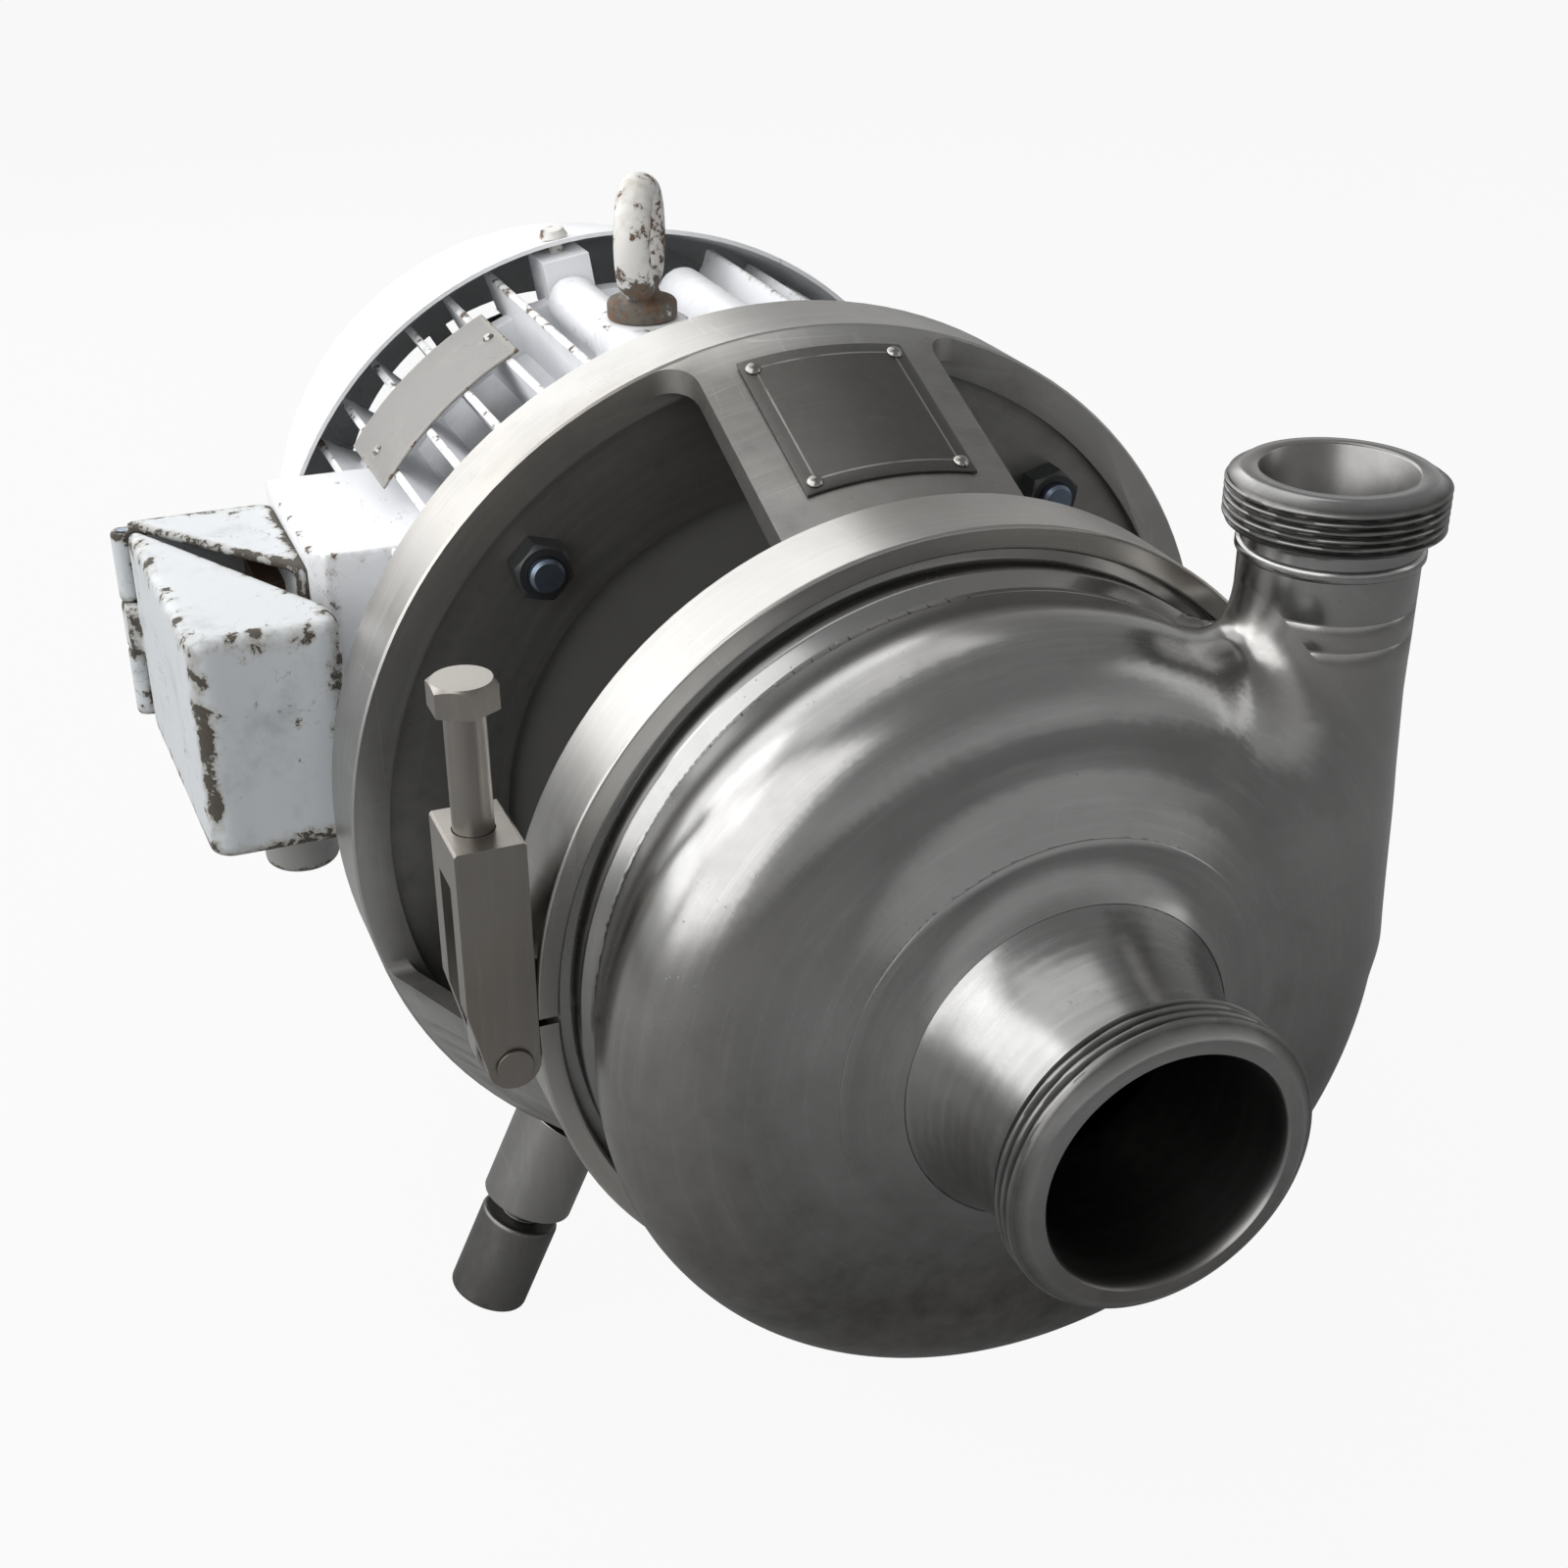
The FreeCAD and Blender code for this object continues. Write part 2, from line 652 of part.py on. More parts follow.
def casing():
    """Volute casing with both threaded ports."""
    wall = CASING_WALL
    shoulder_turn = CASING_SHOULDER_R - DOME_R
    neck_middle_y = (SUCTION_THREAD_END + SUCTION_ROOT_Y) / 2 + SUCTION_BELLY
    body = turned([
        (0, 0),
        (SUCTION_FACE_R, 0),
        (SUCTION_THREAD_R, SUCTION_LEAD_IN),
        (SUCTION_THREAD_R, SUCTION_THREAD_END),
        (SUCTION_NECK_R, SUCTION_THREAD_END + SUCTION_RELIEF),
        ((SUCTION_NECK_R + SUCTION_NECK_BULGE, neck_middle_y), (SUCTION_ROOT_R, SUCTION_ROOT_Y)),
        ((SUCTION_ROOT_R + SUCTION_FLARE, STEP_Y - SUCTION_FLARE_DIP), (STEP_R, STEP_Y)),
        (STEP_R, STEP_Y + STEP_HEIGHT),
        (DOME_R, DOME_Y),
        quarter(DOME_R, DOME_Y, shoulder_turn),
        (CASING_SHOULDER_R, CASING_SHOULDER_Y),
        (CASING_RIM_R, CASING_RIM_Y),
        (CASING_RIM_R, STACK_FRONT - FLANGE_TAPER),
        (STACK_R, STACK_FRONT),
        (STACK_R, STACK_CASING_REAR),
        (0, STACK_CASING_REAR),
    ])
    top = DISCHARGE_TOP
    thread_bottom = top - DISCHARGE_THREAD_END
    collar_bottom = top - DISCHARGE_COLLAR_DROP - DISCHARGE_COLLAR_WIDTH
    solid = joined([
        body,
        volute_tube(0.0),
        discharge_at(0, DISCHARGE_TAPER_TOP, VOLUTE_END_R, DISCHARGE_NECK_R),
        discharge_at(DISCHARGE_TAPER_TOP, thread_bottom, DISCHARGE_NECK_R, DISCHARGE_NECK_R),
        discharge_at(collar_bottom, collar_bottom + DISCHARGE_COLLAR_WIDTH,
                     DISCHARGE_COLLAR_R, DISCHARGE_COLLAR_R),
        discharge_at(thread_bottom, top - DISCHARGE_LEAD_IN,
                     DISCHARGE_THREAD_R, DISCHARGE_THREAD_R),
        discharge_at(top - DISCHARGE_LEAD_IN, top, DISCHARGE_THREAD_R, DISCHARGE_FACE_R),
    ])
    inside = turned([
        (0, -EDGE),
        (SUCTION_BORE_R, -EDGE),
        (SUCTION_BORE_R, STEP_Y),
        (SUCTION_BORE_R + INLET_FLARE, STEP_Y + INLET_FLARE_LENGTH),
        (DOME_R, DOME_Y + wall),
        quarter(DOME_R, DOME_Y + wall, shoulder_turn - wall),
        (CASING_SHOULDER_R - wall, CASING_SHOULDER_Y),
        (CASING_REAR_BORE_R, CASING_SHOULDER_Y + wall),
        (CASING_REAR_BORE_R, STACK_CASING_REAR + EDGE),
        (0, STACK_CASING_REAR + EDGE),
    ])
    hollow = [
        inside,
        volute_tube(wall),
        discharge_at(0, DISCHARGE_TAPER_TOP, VOLUTE_END_R - wall, DISCHARGE_BORE_R),
        discharge_at(DISCHARGE_TAPER_TOP - EDGE, top + EDGE, DISCHARGE_BORE_R, DISCHARGE_BORE_R),
        oring_groove(ORING_R + SEAT),
    ]
    for shape in hollow:
        solid = solid.cut(shape)
    keep("volute_casing", single(solid))
    keep("casing_oring", oring_groove(ORING_R))


def backplate():
    """Back plate of the casing, which carries the stationary seat of the shaft seal."""
    front = BACKPLATE_FRONT
    flange_front = STACK_CASING_REAR + SEAT
    wall_rear = front + BACKPLATE_WALL
    plate = turned([
        (SEAL_BORE_R, front),
        (CASING_REAR_BORE_R - SEAT, front),
        (CASING_REAR_BORE_R - SEAT, flange_front),
        (STACK_R, flange_front),
        (STACK_R, STACK_BACKPLATE_REAR),
        (ADAPTOR_MOUTH_R + SEAT, STACK_BACKPLATE_REAR),
        (ADAPTOR_MOUTH_R - BACKPLATE_WALL, wall_rear),
        (BACKPLATE_HUB_R, wall_rear),
        (BACKPLATE_HUB_R, BACKPLATE_HUB_REAR),
        (SEAL_LIP_R, BACKPLATE_HUB_REAR),
        (SEAL_LIP_R, BACKPLATE_HUB_REAR - CASING_WALL),
        (SEAL_BORE_R, BACKPLATE_HUB_REAR - CASING_WALL),
    ])
    keep("backplate", single(plate.cut(oring_groove(ORING_R + SEAT))))
    keep("seal_seat", turned([
        (SEAL_LIP_R, SEAL_FACE + RUNNING_FIT),
        (SEAL_BORE_R - SEAT, SEAL_FACE + RUNNING_FIT),
        (SEAL_BORE_R - SEAT, BACKPLATE_HUB_REAR - CASING_WALL - RUNNING_FIT),
        (SEAL_LIP_R, BACKPLATE_HUB_REAR - CASING_WALL - RUNNING_FIT),
    ]))


# Rotating parts of the pump

def impeller():
    """Open impeller: a back disc with swept vanes, and the nut that holds it."""
    flare = IMPELLER_HUB_FLARE
    vane_front = IMPELLER_HUB_FRONT - IMPELLER_HUB_EDGE
    vane_back = IMPELLER_BACK - EDGE
    vane_inner = IMPELLER_HUB_R - IMPELLER_HUB_EDGE / 4
    hub = turned([
        (STUB_R + RUNNING_FIT, IMPELLER_HUB_FRONT),
        (IMPELLER_HUB_R - IMPELLER_HUB_EDGE / 2, IMPELLER_HUB_FRONT),
        (IMPELLER_HUB_R, IMPELLER_HUB_FRONT + IMPELLER_HUB_EDGE),
        ((IMPELLER_HUB_R + flare * (1 - SHARE_ARC_MIDDLE),
          IMPELLER_DISC_FRONT - flare * (1 - SHARE_ARC_MIDDLE)),
         (IMPELLER_HUB_R + flare, IMPELLER_DISC_FRONT)),
        (IMPELLER_R, IMPELLER_DISC_FRONT + IMPELLER_DISC_TAPER),
        (IMPELLER_R, IMPELLER_BACK),
        (STUB_R + RUNNING_FIT, IMPELLER_BACK),
    ])
    envelope = turned([
        (vane_inner, IMPELLER_HUB_FRONT + IMPELLER_HUB_EDGE / 2),
        (SUCTION_BORE_R, vane_front + EDGE),
        (IMPELLER_R, IMPELLER_DISC_FRONT - IMPELLER_TIP_WIDTH),
        (IMPELLER_R, vane_back),
        (vane_inner, vane_back),
    ])
    inner = IMPELLER_HUB_R - VANE_OVERLAP
    outer = IMPELLER_R + VANE_OVERLAP
    sides = []
    for offset in (-VANE_THICKNESS / 2, VANE_THICKNESS / 2):
        side = []
        for step in range(VANE_POINTS):
            share = step / (VANE_POINTS - 1)
            radius = inner + (outer - inner) * share
            turn = math.radians(IMPELLER_SWEEP_ANGLE) * share + offset / radius
            side.append(Vec(radius * math.cos(turn), vane_front, radius * math.sin(turn)))
        curve = Part.BSplineCurve()
        curve.interpolate(side)
        sides.append((side, curve.toShape()))
    (low, low_edge), (high, high_edge) = sides
    vane_wire = Part.Wire([low_edge, Part.LineSegment(low[-1], high[-1]).toShape(), high_edge,
                           Part.LineSegment(high[0], low[0]).toShape()])
    vane = upright(Part.Face(vane_wire).extrude(Vec(0, vane_back - vane_front, 0)))
    vane = single(vane.common(envelope))
    pieces = [hub]
    for index in range(IMPELLER_VANES):
        pieces.append(about_shaft(vane, 360.0 / IMPELLER_VANES * index))
    keep("impeller", single(joined(pieces)))
    nose = IMPELLER_HUB_FRONT - NUT_NOSE_LENGTH
    nut_bottom = nose + NUT_NOSE_ROUND - RUNNING_FIT
    keep("impeller_nut", turned([
        (0, nose),
        ((NUT_NOSE_R * SHARE_ARC_MIDDLE, nose + NUT_NOSE_TIP),
         (NUT_NOSE_R, nose + NUT_NOSE_ROUND)),
        (NUT_NOSE_R, IMPELLER_HUB_FRONT - RUNNING_FIT),
        (STUB_END_R + RUNNING_FIT, IMPELLER_HUB_FRONT - RUNNING_FIT),
        (STUB_END_R + RUNNING_FIT, nut_bottom),
        (0, nut_bottom),
    ]))


def pump_shaft():
    """Stub shaft clamped on the motor shaft, and the rotating half of the seal."""
    nose = IMPELLER_HUB_FRONT - NUT_NOSE_LENGTH + NUT_NOSE_ROUND
    socket = MOTOR_SHAFT_R + RUNNING_FIT
    stub = turned([
        (0, nose),
        (STUB_END_R, nose),
        (STUB_END_R, IMPELLER_HUB_FRONT),
        (STUB_R, IMPELLER_HUB_FRONT),
        (STUB_R, STUB_HUB_FRONT),
        (STUB_HUB_R - STUB_HUB_EDGE, STUB_HUB_FRONT),
        (STUB_HUB_R, STUB_HUB_FRONT + STUB_HUB_EDGE),
        (STUB_HUB_R, STUB_HUB_REAR),
        (socket, STUB_HUB_REAR),
        (socket, MOTOR_SHAFT_FRONT - SEAT),
        (0, MOTOR_SHAFT_FRONT - SEAT),
    ])
    screw_y = (MOTOR_SHAFT_FRONT + STUB_HUB_REAR) / 2
    screws = []
    for index in range(STUB_SCREWS):
        angle = 360.0 / STUB_SCREWS * index + STUB_SCREW_ANGLE
        start = polar(socket + RUNNING_FIT, angle, screw_y)
        out = polar(1.0, angle)
        hole = Part.makeCylinder(STUB_SCREW_R + RUNNING_FIT, STUB_HUB_R, start, out)
        stub = stub.cut(hole)
        length = STUB_HUB_R - socket
        screws.append(Part.makeCylinder(STUB_SCREW_R, length - EDGE, start, out))
    keep("stub_shaft", single(stub))
    keep("stub_clamp_screws", group(screws))
    bore = STUB_R + RUNNING_FIT
    keep("seal_ring", turned([
        (bore, SEAL_FACE - SEAL_RING_WIDTH),
        (SEAL_RING_R, SEAL_FACE - SEAL_RING_WIDTH),
        (SEAL_RING_R, SEAL_FACE - SEAL_RING_EDGE),
        (SEAL_RING_R - SEAL_RING_EDGE, SEAL_FACE),
        (bore, SEAL_FACE),
    ]))
    start = IMPELLER_BACK + RUNNING_FIT
    end = SEAL_FACE - SEAL_RING_WIDTH - RUNNING_FIT
    fold = (end - start) / SEAL_FOLDS
    outer = []
    inner = []
    for index in range(SEAL_FOLDS):
        outer.append((STUB_R + SEAL_FOLD_WALL, start + fold * index))
        outer.append((SEAL_RING_R - EDGE, start + fold * (index + 0.5)))
        inner.append((bore, start + fold * index))
        inner.append((SEAL_RING_R - EDGE - SEAL_FOLD_WALL, start + fold * (index + 0.5)))
    outer.append((STUB_R + SEAL_FOLD_WALL, end))
    inner.append((bore, end))
    keep("seal_bellows", turned(outer + inner[::-1]))


# Clamp ring with its link and bolt

def clamp_ring():
    """Two-part clamp ring, hinged on the right and closed by the link on the left."""
    taper = FLANGE_TAPER / (STACK_R - CASING_RIM_R)
    inner_r = CLAMP_INNER_R
    lip_face = STACK_FRONT - SEAT
    rear_lip_r = shell_radius(CLAMP_REAR) + SEAT
    channel = turned([
        (CLAMP_LIP_R, CLAMP_FRONT + EDGE),
        (CLAMP_LIP_R + EDGE, CLAMP_FRONT),
        (CLAMP_OUTER_R - EDGE, CLAMP_FRONT),
        (CLAMP_OUTER_R, CLAMP_FRONT + EDGE),
        (CLAMP_OUTER_R, CLAMP_REAR - EDGE),
        (CLAMP_OUTER_R - EDGE, CLAMP_REAR),
        (rear_lip_r, CLAMP_REAR),
        (rear_lip_r, STACK_REAR + SEAT),
        (inner_r, STACK_REAR + SEAT),
        (inner_r, lip_face + taper * (inner_r - STACK_R)),
        (CLAMP_LIP_R, lip_face - taper * (STACK_R - CLAMP_LIP_R)),
    ])
    half_gap = CLAMP_SPLIT_GAP / 2
    reach = CLAMP_OUTER_R + EDGE
    upper = channel.common(block(-reach, reach, 0, CLAMP_REAR + EDGE, half_gap, reach))
    lower = channel.common(block(-reach, reach, 0, CLAMP_REAR + EDGE, -reach, -half_gap))
    root_r = CLAMP_OUTER_R - CLAMP_WALL / 2

    def on_ring(z):
        """Leftmost point of the ring's wall at a height."""
        return -math.sqrt(root_r ** 2 - z ** 2)

    def on_lug_top(x):
        """Height of the upper lug's top, which is round about the link pin."""
        return LINK_PIN_Z + math.sqrt(LUG_TOP_REACH ** 2 - (x + LINK_PIN_X) ** 2)

    top_in_z = on_lug_top(-root_r)
    upper_lug = front_prism([
        (on_ring(half_gap), half_gap),
        (-LUG_OUT_X, half_gap),
        (-LUG_OUT_X, on_lug_top(-LUG_OUT_X)),
        ((-LINK_PIN_X, LINK_PIN_Z + LUG_TOP_REACH), (-root_r, top_in_z)),
    ], LUG_FRONT, LUG_REAR)
    lug_low = LINK_PIN_Z - LOWER_LUG_R
    turn = LOWER_LUG_R * SHARE_ARC_MIDDLE
    lower_lug = front_prism([
        (on_ring(half_gap), -half_gap),
        (on_ring(lug_low), lug_low),
        (-LINK_PIN_X, lug_low),
        ((-LINK_PIN_X - turn, LINK_PIN_Z - turn), (-LINK_PIN_X - LOWER_LUG_R, LINK_PIN_Z)),
        (-LINK_PIN_X - LOWER_LUG_R, -half_gap),
    ], LUG_FRONT, LUG_REAR)
    knuckle_half = HINGE_KNUCKLE_WIDTH / 2
    middle_front = CLAMP_MIDDLE - knuckle_half
    middle_rear = CLAMP_MIDDLE + knuckle_half
    spans = [
        (CLAMP_FRONT + EDGE, middle_front - SEAT),
        (middle_rear + SEAT, CLAMP_REAR - EDGE),
    ]
    upper_parts = [upper, upper_lug,
                   along_y(HINGE_KNUCKLE_R, middle_front, middle_rear, HINGE_PIN_X),
                   block(root_r, HINGE_PIN_X, middle_front, middle_rear, half_gap,
                         HINGE_KNUCKLE_R)]
    lower_parts = [lower, lower_lug]
    for start, end in spans:
        lower_parts.append(along_y(HINGE_KNUCKLE_R, start, end, HINGE_PIN_X))
        lower_parts.append(block(root_r, HINGE_PIN_X, start, end, -HINGE_KNUCKLE_R, -half_gap))
    hinge_hole = along_y(HINGE_PIN_R + RUNNING_FIT, CLAMP_FRONT, CLAMP_REAR, HINGE_PIN_X)
    pin_hole = along_y(LINK_PIN_R + RUNNING_FIT, LUG_FRONT - EDGE, LUG_REAR + EDGE,
                       -LINK_PIN_X, LINK_PIN_Z)
    keep("clamp_ring_upper", single(joined(upper_parts).cut(hinge_hole)))
    keep("clamp_ring_lower", single(joined(lower_parts).cut(hinge_hole).cut(pin_hole)))
    keep("clamp_hinge_pin", along_y(HINGE_PIN_R, CLAMP_FRONT, CLAMP_REAR, HINGE_PIN_X))


def clamp_link():
    """Open link on the lower lug, with its pin, the clamp bolt and the bolt's tip pad."""
    inner_x = -LINK_IN_X
    body = front_prism([
        (-LINK_OUT_X, LINK_TOP - EDGE),
        (-LINK_OUT_X + EDGE, LINK_TOP),
        (inner_x - EDGE, LINK_TOP),
        (inner_x, LINK_TOP - EDGE),
        (inner_x, LINK_PIN_Z),
        ((-LINK_PIN_X, LINK_PIN_Z - LINK_END_R), (-LINK_PIN_X - LINK_END_R, LINK_PIN_Z)),
        (-LINK_OUT_X, LINK_TAPER_TOP),
    ], LINK_FRONT, LINK_REAR)
    slot = block(-LINK_OUT_X - EDGE, inner_x + EDGE, LUG_FRONT - LUG_GAP, LUG_REAR + LUG_GAP,
                 LINK_PIN_Z - LINK_END_R - EDGE, LINK_TOP - LINK_BAR)
    body = body.cut(slot)
    body = body.cut(along_z(BOLT_R + SEAT, LINK_TOP - LINK_BAR - EDGE, LINK_TOP + EDGE,
                            -BOLT_X, LUG_Y))
    body = body.cut(along_y(LINK_PIN_R + RUNNING_FIT, LINK_FRONT - EDGE, LINK_REAR + EDGE,
                            -LINK_PIN_X, LINK_PIN_Z))
    keep("clamp_link", single(body))
    head_front = LINK_FRONT - SEAT - LINK_PIN_HEAD
    head_rear = LINK_REAR + SEAT + LINK_PIN_HEAD
    keep("link_pin", joined([
        along_y(LINK_PIN_R, head_front, head_rear, -LINK_PIN_X, LINK_PIN_Z),
        along_y(LINK_PIN_HEAD_R, head_front, LINK_FRONT - SEAT, -LINK_PIN_X, LINK_PIN_Z),
        along_y(LINK_PIN_HEAD_R, LINK_REAR + SEAT, head_rear, -LINK_PIN_X, LINK_PIN_Z),
    ]))
    place = Vec(-BOLT_X, LUG_Y, 0)
    head = hexagon(BOLT_HEAD_FLATS, BOLT_HEAD_HEIGHT)
    head.translate(place + Vec(0, 0, HEAD_BOTTOM))
    shank = along_z(BOLT_R, PAD_TOP, HEAD_BOTTOM + EDGE, -BOLT_X, LUG_Y)
    keep("clamp_bolt", joined([shank, head]))
    keep("bolt_pad", along_z(PAD_R, PAD_BOTTOM, PAD_TOP, -BOLT_X, LUG_Y))


# Adaptor between the pump and the motor

def shell_radius(y):
    """Outer radius of the adaptor's cone at a place along the shaft."""
    return SHELL_FRONT_R + SHELL_SLOPE * (y - STACK_REAR)


def plate_screw_places():
    """Seats of the name plate's screws on the cone, with the outward direction."""
    places = []
    half_x = PLATE_WIDTH / 2 - PLATE_SCREW_INSET
    half_y = PLATE_LENGTH / 2 - PLATE_SCREW_INSET
    for side in (-1, 1):
        for end in (-1, 1):
            x = side * half_x
            y = PLATE_MIDDLE_Y + end * half_y
            z = math.sqrt(shell_radius(y) ** 2 - x ** 2)
            out = Vec(x / z, -SHELL_SLOPE, 1).normalize()
            places.append((Vec(x, y, z), out))
    return places


def adaptor():
    """Lantern between pump and motor: rear ring, top bridge, lower trough, two windows."""
    front = STACK_BACKPLATE_REAR + SEAT / 3
    wall = SHELL_WALL
    ring = turned([
        (ADAPTOR_MOUTH_R, front),
        (STACK_R, front),
        (STACK_R, STACK_REAR - FLANGE_TAPER),
        (SHELL_FRONT_R, STACK_REAR),
        (RING_R - EDGE, RING_FRONT),
        (RING_R, RING_FRONT + EDGE),
        (RING_R, RING_REAR - EDGE),
        (RING_R - EDGE, RING_REAR),
        (RING_RECESS_R + SEAT, RING_REAR),
        (RING_RECESS_R + SEAT, WEB_REAR),
        (WEB_BORE_R, WEB_REAR),
        (WEB_BORE_R, WEB_FRONT),
        (RING_RECESS_R, WEB_FRONT),
        (RING_RECESS_R, RING_FRONT),
        (RING_R - wall, RING_FRONT),
        (shell_radius(STACK_REAR) - wall, STACK_REAR),
        (ADAPTOR_MOUTH_R, STACK_REAR),
    ])
    reach = RING_R + EDGE
    for side in (-1, 1):
        inner_x = BRIDGE_WIDTH / 2
        window = block(inner_x, reach, STACK_REAR + EDGE, RING_FRONT, TROUGH_TOP, reach)
        upright_edges = []
        for edge in window.Edges:
            box = edge.BoundBox
            if box.XMax < inner_x + EDGE and box.ZLength > reach:
                upright_edges.append(edge)
        window = window.makeFillet(WINDOW_CORNER, upright_edges)
        low_edges = []
        for edge in window.Edges:
            box = edge.BoundBox
            if box.ZMax < TROUGH_TOP + EDGE and box.XMin > inner_x - EDGE:
                low_edges.append(edge)
        low_edges = [edge for edge in low_edges if edge.BoundBox.XMin > inner_x + EDGE]
        window = window.makeFillet(WINDOW_LOW_CORNER, low_edges)
        if side < 0:
            window = window.mirror(Vec(0, 0, 0), Vec(1, 0, 0))
        ring = ring.cut(window)
    for place in stud_places():
        ring = ring.cut(along_y(STUD_R + SEAT, WEB_FRONT - EDGE, WEB_REAR + EDGE,
                                place.x, place.z))
    for place, out in plate_screw_places():
        start = place - out * PLATE_SCREW_DEPTH
        ring = ring.cut(Part.makeCylinder(PLATE_SCREW_PIN_R + RUNNING_FIT,
                                          PLATE_SCREW_DEPTH * 2, start, out))
    keep("adaptor", single(ring))


def name_plate():
    """Blank plate that follows the bridge's cone, and its four dome-head screws."""
    y0 = PLATE_MIDDLE_Y - PLATE_LENGTH / 2
    y1 = PLATE_MIDDLE_Y + PLATE_LENGTH / 2
    seat = RUNNING_FIT
    sheet = turned([
        (shell_radius(y0) + seat, y0),
        (shell_radius(y0) + seat + PLATE_THICKNESS, y0),
        (shell_radius(y1) + seat + PLATE_THICKNESS, y1),
        (shell_radius(y1) + seat, y1),
    ])
    half = PLATE_WIDTH / 2
    plate = single(sheet.common(block(-half, half, y0, y1, 0, RING_R)))
    screws = []
    for place, out in plate_screw_places():
        start = place - out * PLATE_SCREW_DEPTH
        plate = plate.cut(Part.makeCylinder(PLATE_SCREW_PIN_R + RUNNING_FIT,
                                            PLATE_SCREW_DEPTH * 2, start, out))
        rise = PLATE_THICKNESS + 3 * RUNNING_FIT
        ball_r = (PLATE_SCREW_R ** 2 + PLATE_SCREW_DOME ** 2) / (2 * PLATE_SCREW_DOME)
        low = ball_r - PLATE_SCREW_DOME
        dome = Part.makeSphere(ball_r, Vec(0, 0, rise - low), Vec(0, 0, 1),
                               math.degrees(math.asin(low / ball_r)), 90)
        pin = Part.makeCylinder(PLATE_SCREW_PIN_R, PLATE_SCREW_DEPTH - EDGE + rise + EDGE / 2,
                                Vec(0, 0, EDGE - PLATE_SCREW_DEPTH))
        screw = joined([pin, dome])
        screws.append(towards(screw, place, out))
    keep("name_plate", single(plate))
    keep("name_plate_screws", group(screws))


def stud_places():
    """Places of the flange studs on their circle."""
    pitch = 360.0 / FLANGE_STUDS
    return [polar(STUD_CIRCLE_R, FLANGE_STUD_ANGLE + pitch * index)
            for index in range(FLANGE_STUDS)]


def flange_fasteners():
    """Studs through the adaptor's web into the motor flange, and their nuts."""
    studs = []
    nuts = []
    for place in stud_places():
        stud = along_y(STUD_R, WEB_FRONT - STUD_OUT, FLANGE_REAR, place.x, place.z)
        studs.append(stud.makeChamfer(EDGE, [stud.Edges[0], stud.Edges[2]]))
        nut = hexagon(NUT_FLATS, NUT_HEIGHT)
        nut = nut.cut(Part.makeCylinder(STUD_R + RUNNING_FIT, NUT_HEIGHT * 2,
                                        Vec(0, 0, -EDGE), Vec(0, 0, 1)))
        nuts.append(towards(nut, Vec(place.x, WEB_FRONT, place.z), Vec(0, -1, 0)))
    keep("flange_studs", group(studs))
    keep("flange_nuts", group(nuts))


# Legs

def foot_shape():
    """Foot with its threaded stud. It stands on the origin, with the stud pointing up."""
    foot = Part.makeCylinder(FOOT_R, FOOT_LENGTH)
    foot = foot.makeChamfer(FOOT_CHAMFER, [foot.Edges[0], foot.Edges[2]])
    stud = Part.makeCylinder(LEG_STUD_R, FOOT_GAP + LEG_STUD_DEPTH + EDGE,
                             Vec(0, 0, FOOT_LENGTH - EDGE))
    return joined([foot, stud])


def front_legs():
    """Two bosses welded to the ring's rim, each with a foot screwed into it."""
    lean = math.radians(LEG_TILT_ANGLE)
    bosses = []
    for side, name in ((-1, "left_foot"), (1, "right_foot")):
        start = Vec(side * LEG_START_X, LEG_Y, LEG_START_Z)
        down = Vec(side * math.sin(lean), 0, -math.cos(lean))
        boss = Part.makeCylinder(LEG_BOSS_R, LEG_BOSS_LENGTH + LEG_BOSS_R,
                                 start - down * LEG_BOSS_R, down)
        boss = boss.cut(along_y(RING_R + RUNNING_FIT, 0, RING_REAR + LEG_BOSS_R))
        boss_end = start + down * LEG_BOSS_LENGTH
        boss = boss.cut(Part.makeCylinder(LEG_STUD_R + RUNNING_FIT, LEG_BORE_DEPTH + EDGE,
                                          boss_end + down * EDGE, down * -1))
        bosses.append(single(boss))
        foot_end = start + down * LEG_REACH
        keep(name, towards(foot_shape(), foot_end, down * -1))
    keep("leg_bosses", group(bosses))


def rear_leg():
    """Boss under the motor frame's rear pad, with the third foot."""
    top = REAR_BOSS_BOTTOM + REAR_BOSS_LENGTH
    boss = along_z(LEG_BOSS_R, REAR_BOSS_BOTTOM, top, 0, REAR_LEG_Y)
    hole = along_z(LEG_STUD_R + RUNNING_FIT, REAR_BOSS_BOTTOM - EDGE, top + EDGE, 0, REAR_LEG_Y)
    keep("rear_leg_boss", single(boss.cut(hole)))
    foot = foot_shape()
    foot.translate(Vec(0, REAR_LEG_Y, FLOOR_Z))
    keep("rear_foot", foot)


# Motor

def fin_angles():
    """Angles of the cooling fins, without the top bosses and the terminal saddle."""
    angles = []
    for index in range(int(360 / FIN_PITCH_ANGLE)):
        angle = FIN_FIRST_ANGLE + FIN_PITCH_ANGLE * index
        if abs(angle - 90) < FIN_TOP_ANGLE - FIN_PITCH_ANGLE / 2:
            continue
        if SADDLE_FROM_ANGLE < angle < SADDLE_TO_ANGLE:
            continue
        angles.append(angle)
    return angles


def in_front_of_mouth(shift):
    """Half of space in front of the closed box's mouth, moved towards the lid by a shift."""
    start = Vec(-BOX_OUT_X, BOX_REAR, 0)
    end = Vec(-BOX_IN_X, BOX_MOUTH_Y, 0)
    along = (end - start).normalize()
    across = Vec(along.y, -along.x, 0)
    start = start + across * shift
    size = BOX_OUT_X + RING_R
    corners = [start - along * size, start + along * size]
    corners.append(corners[1] + across * size)
    corners.append(corners[0] + across * size)
    return plan_prism([(c.x, c.y) for c in corners], -size, size)


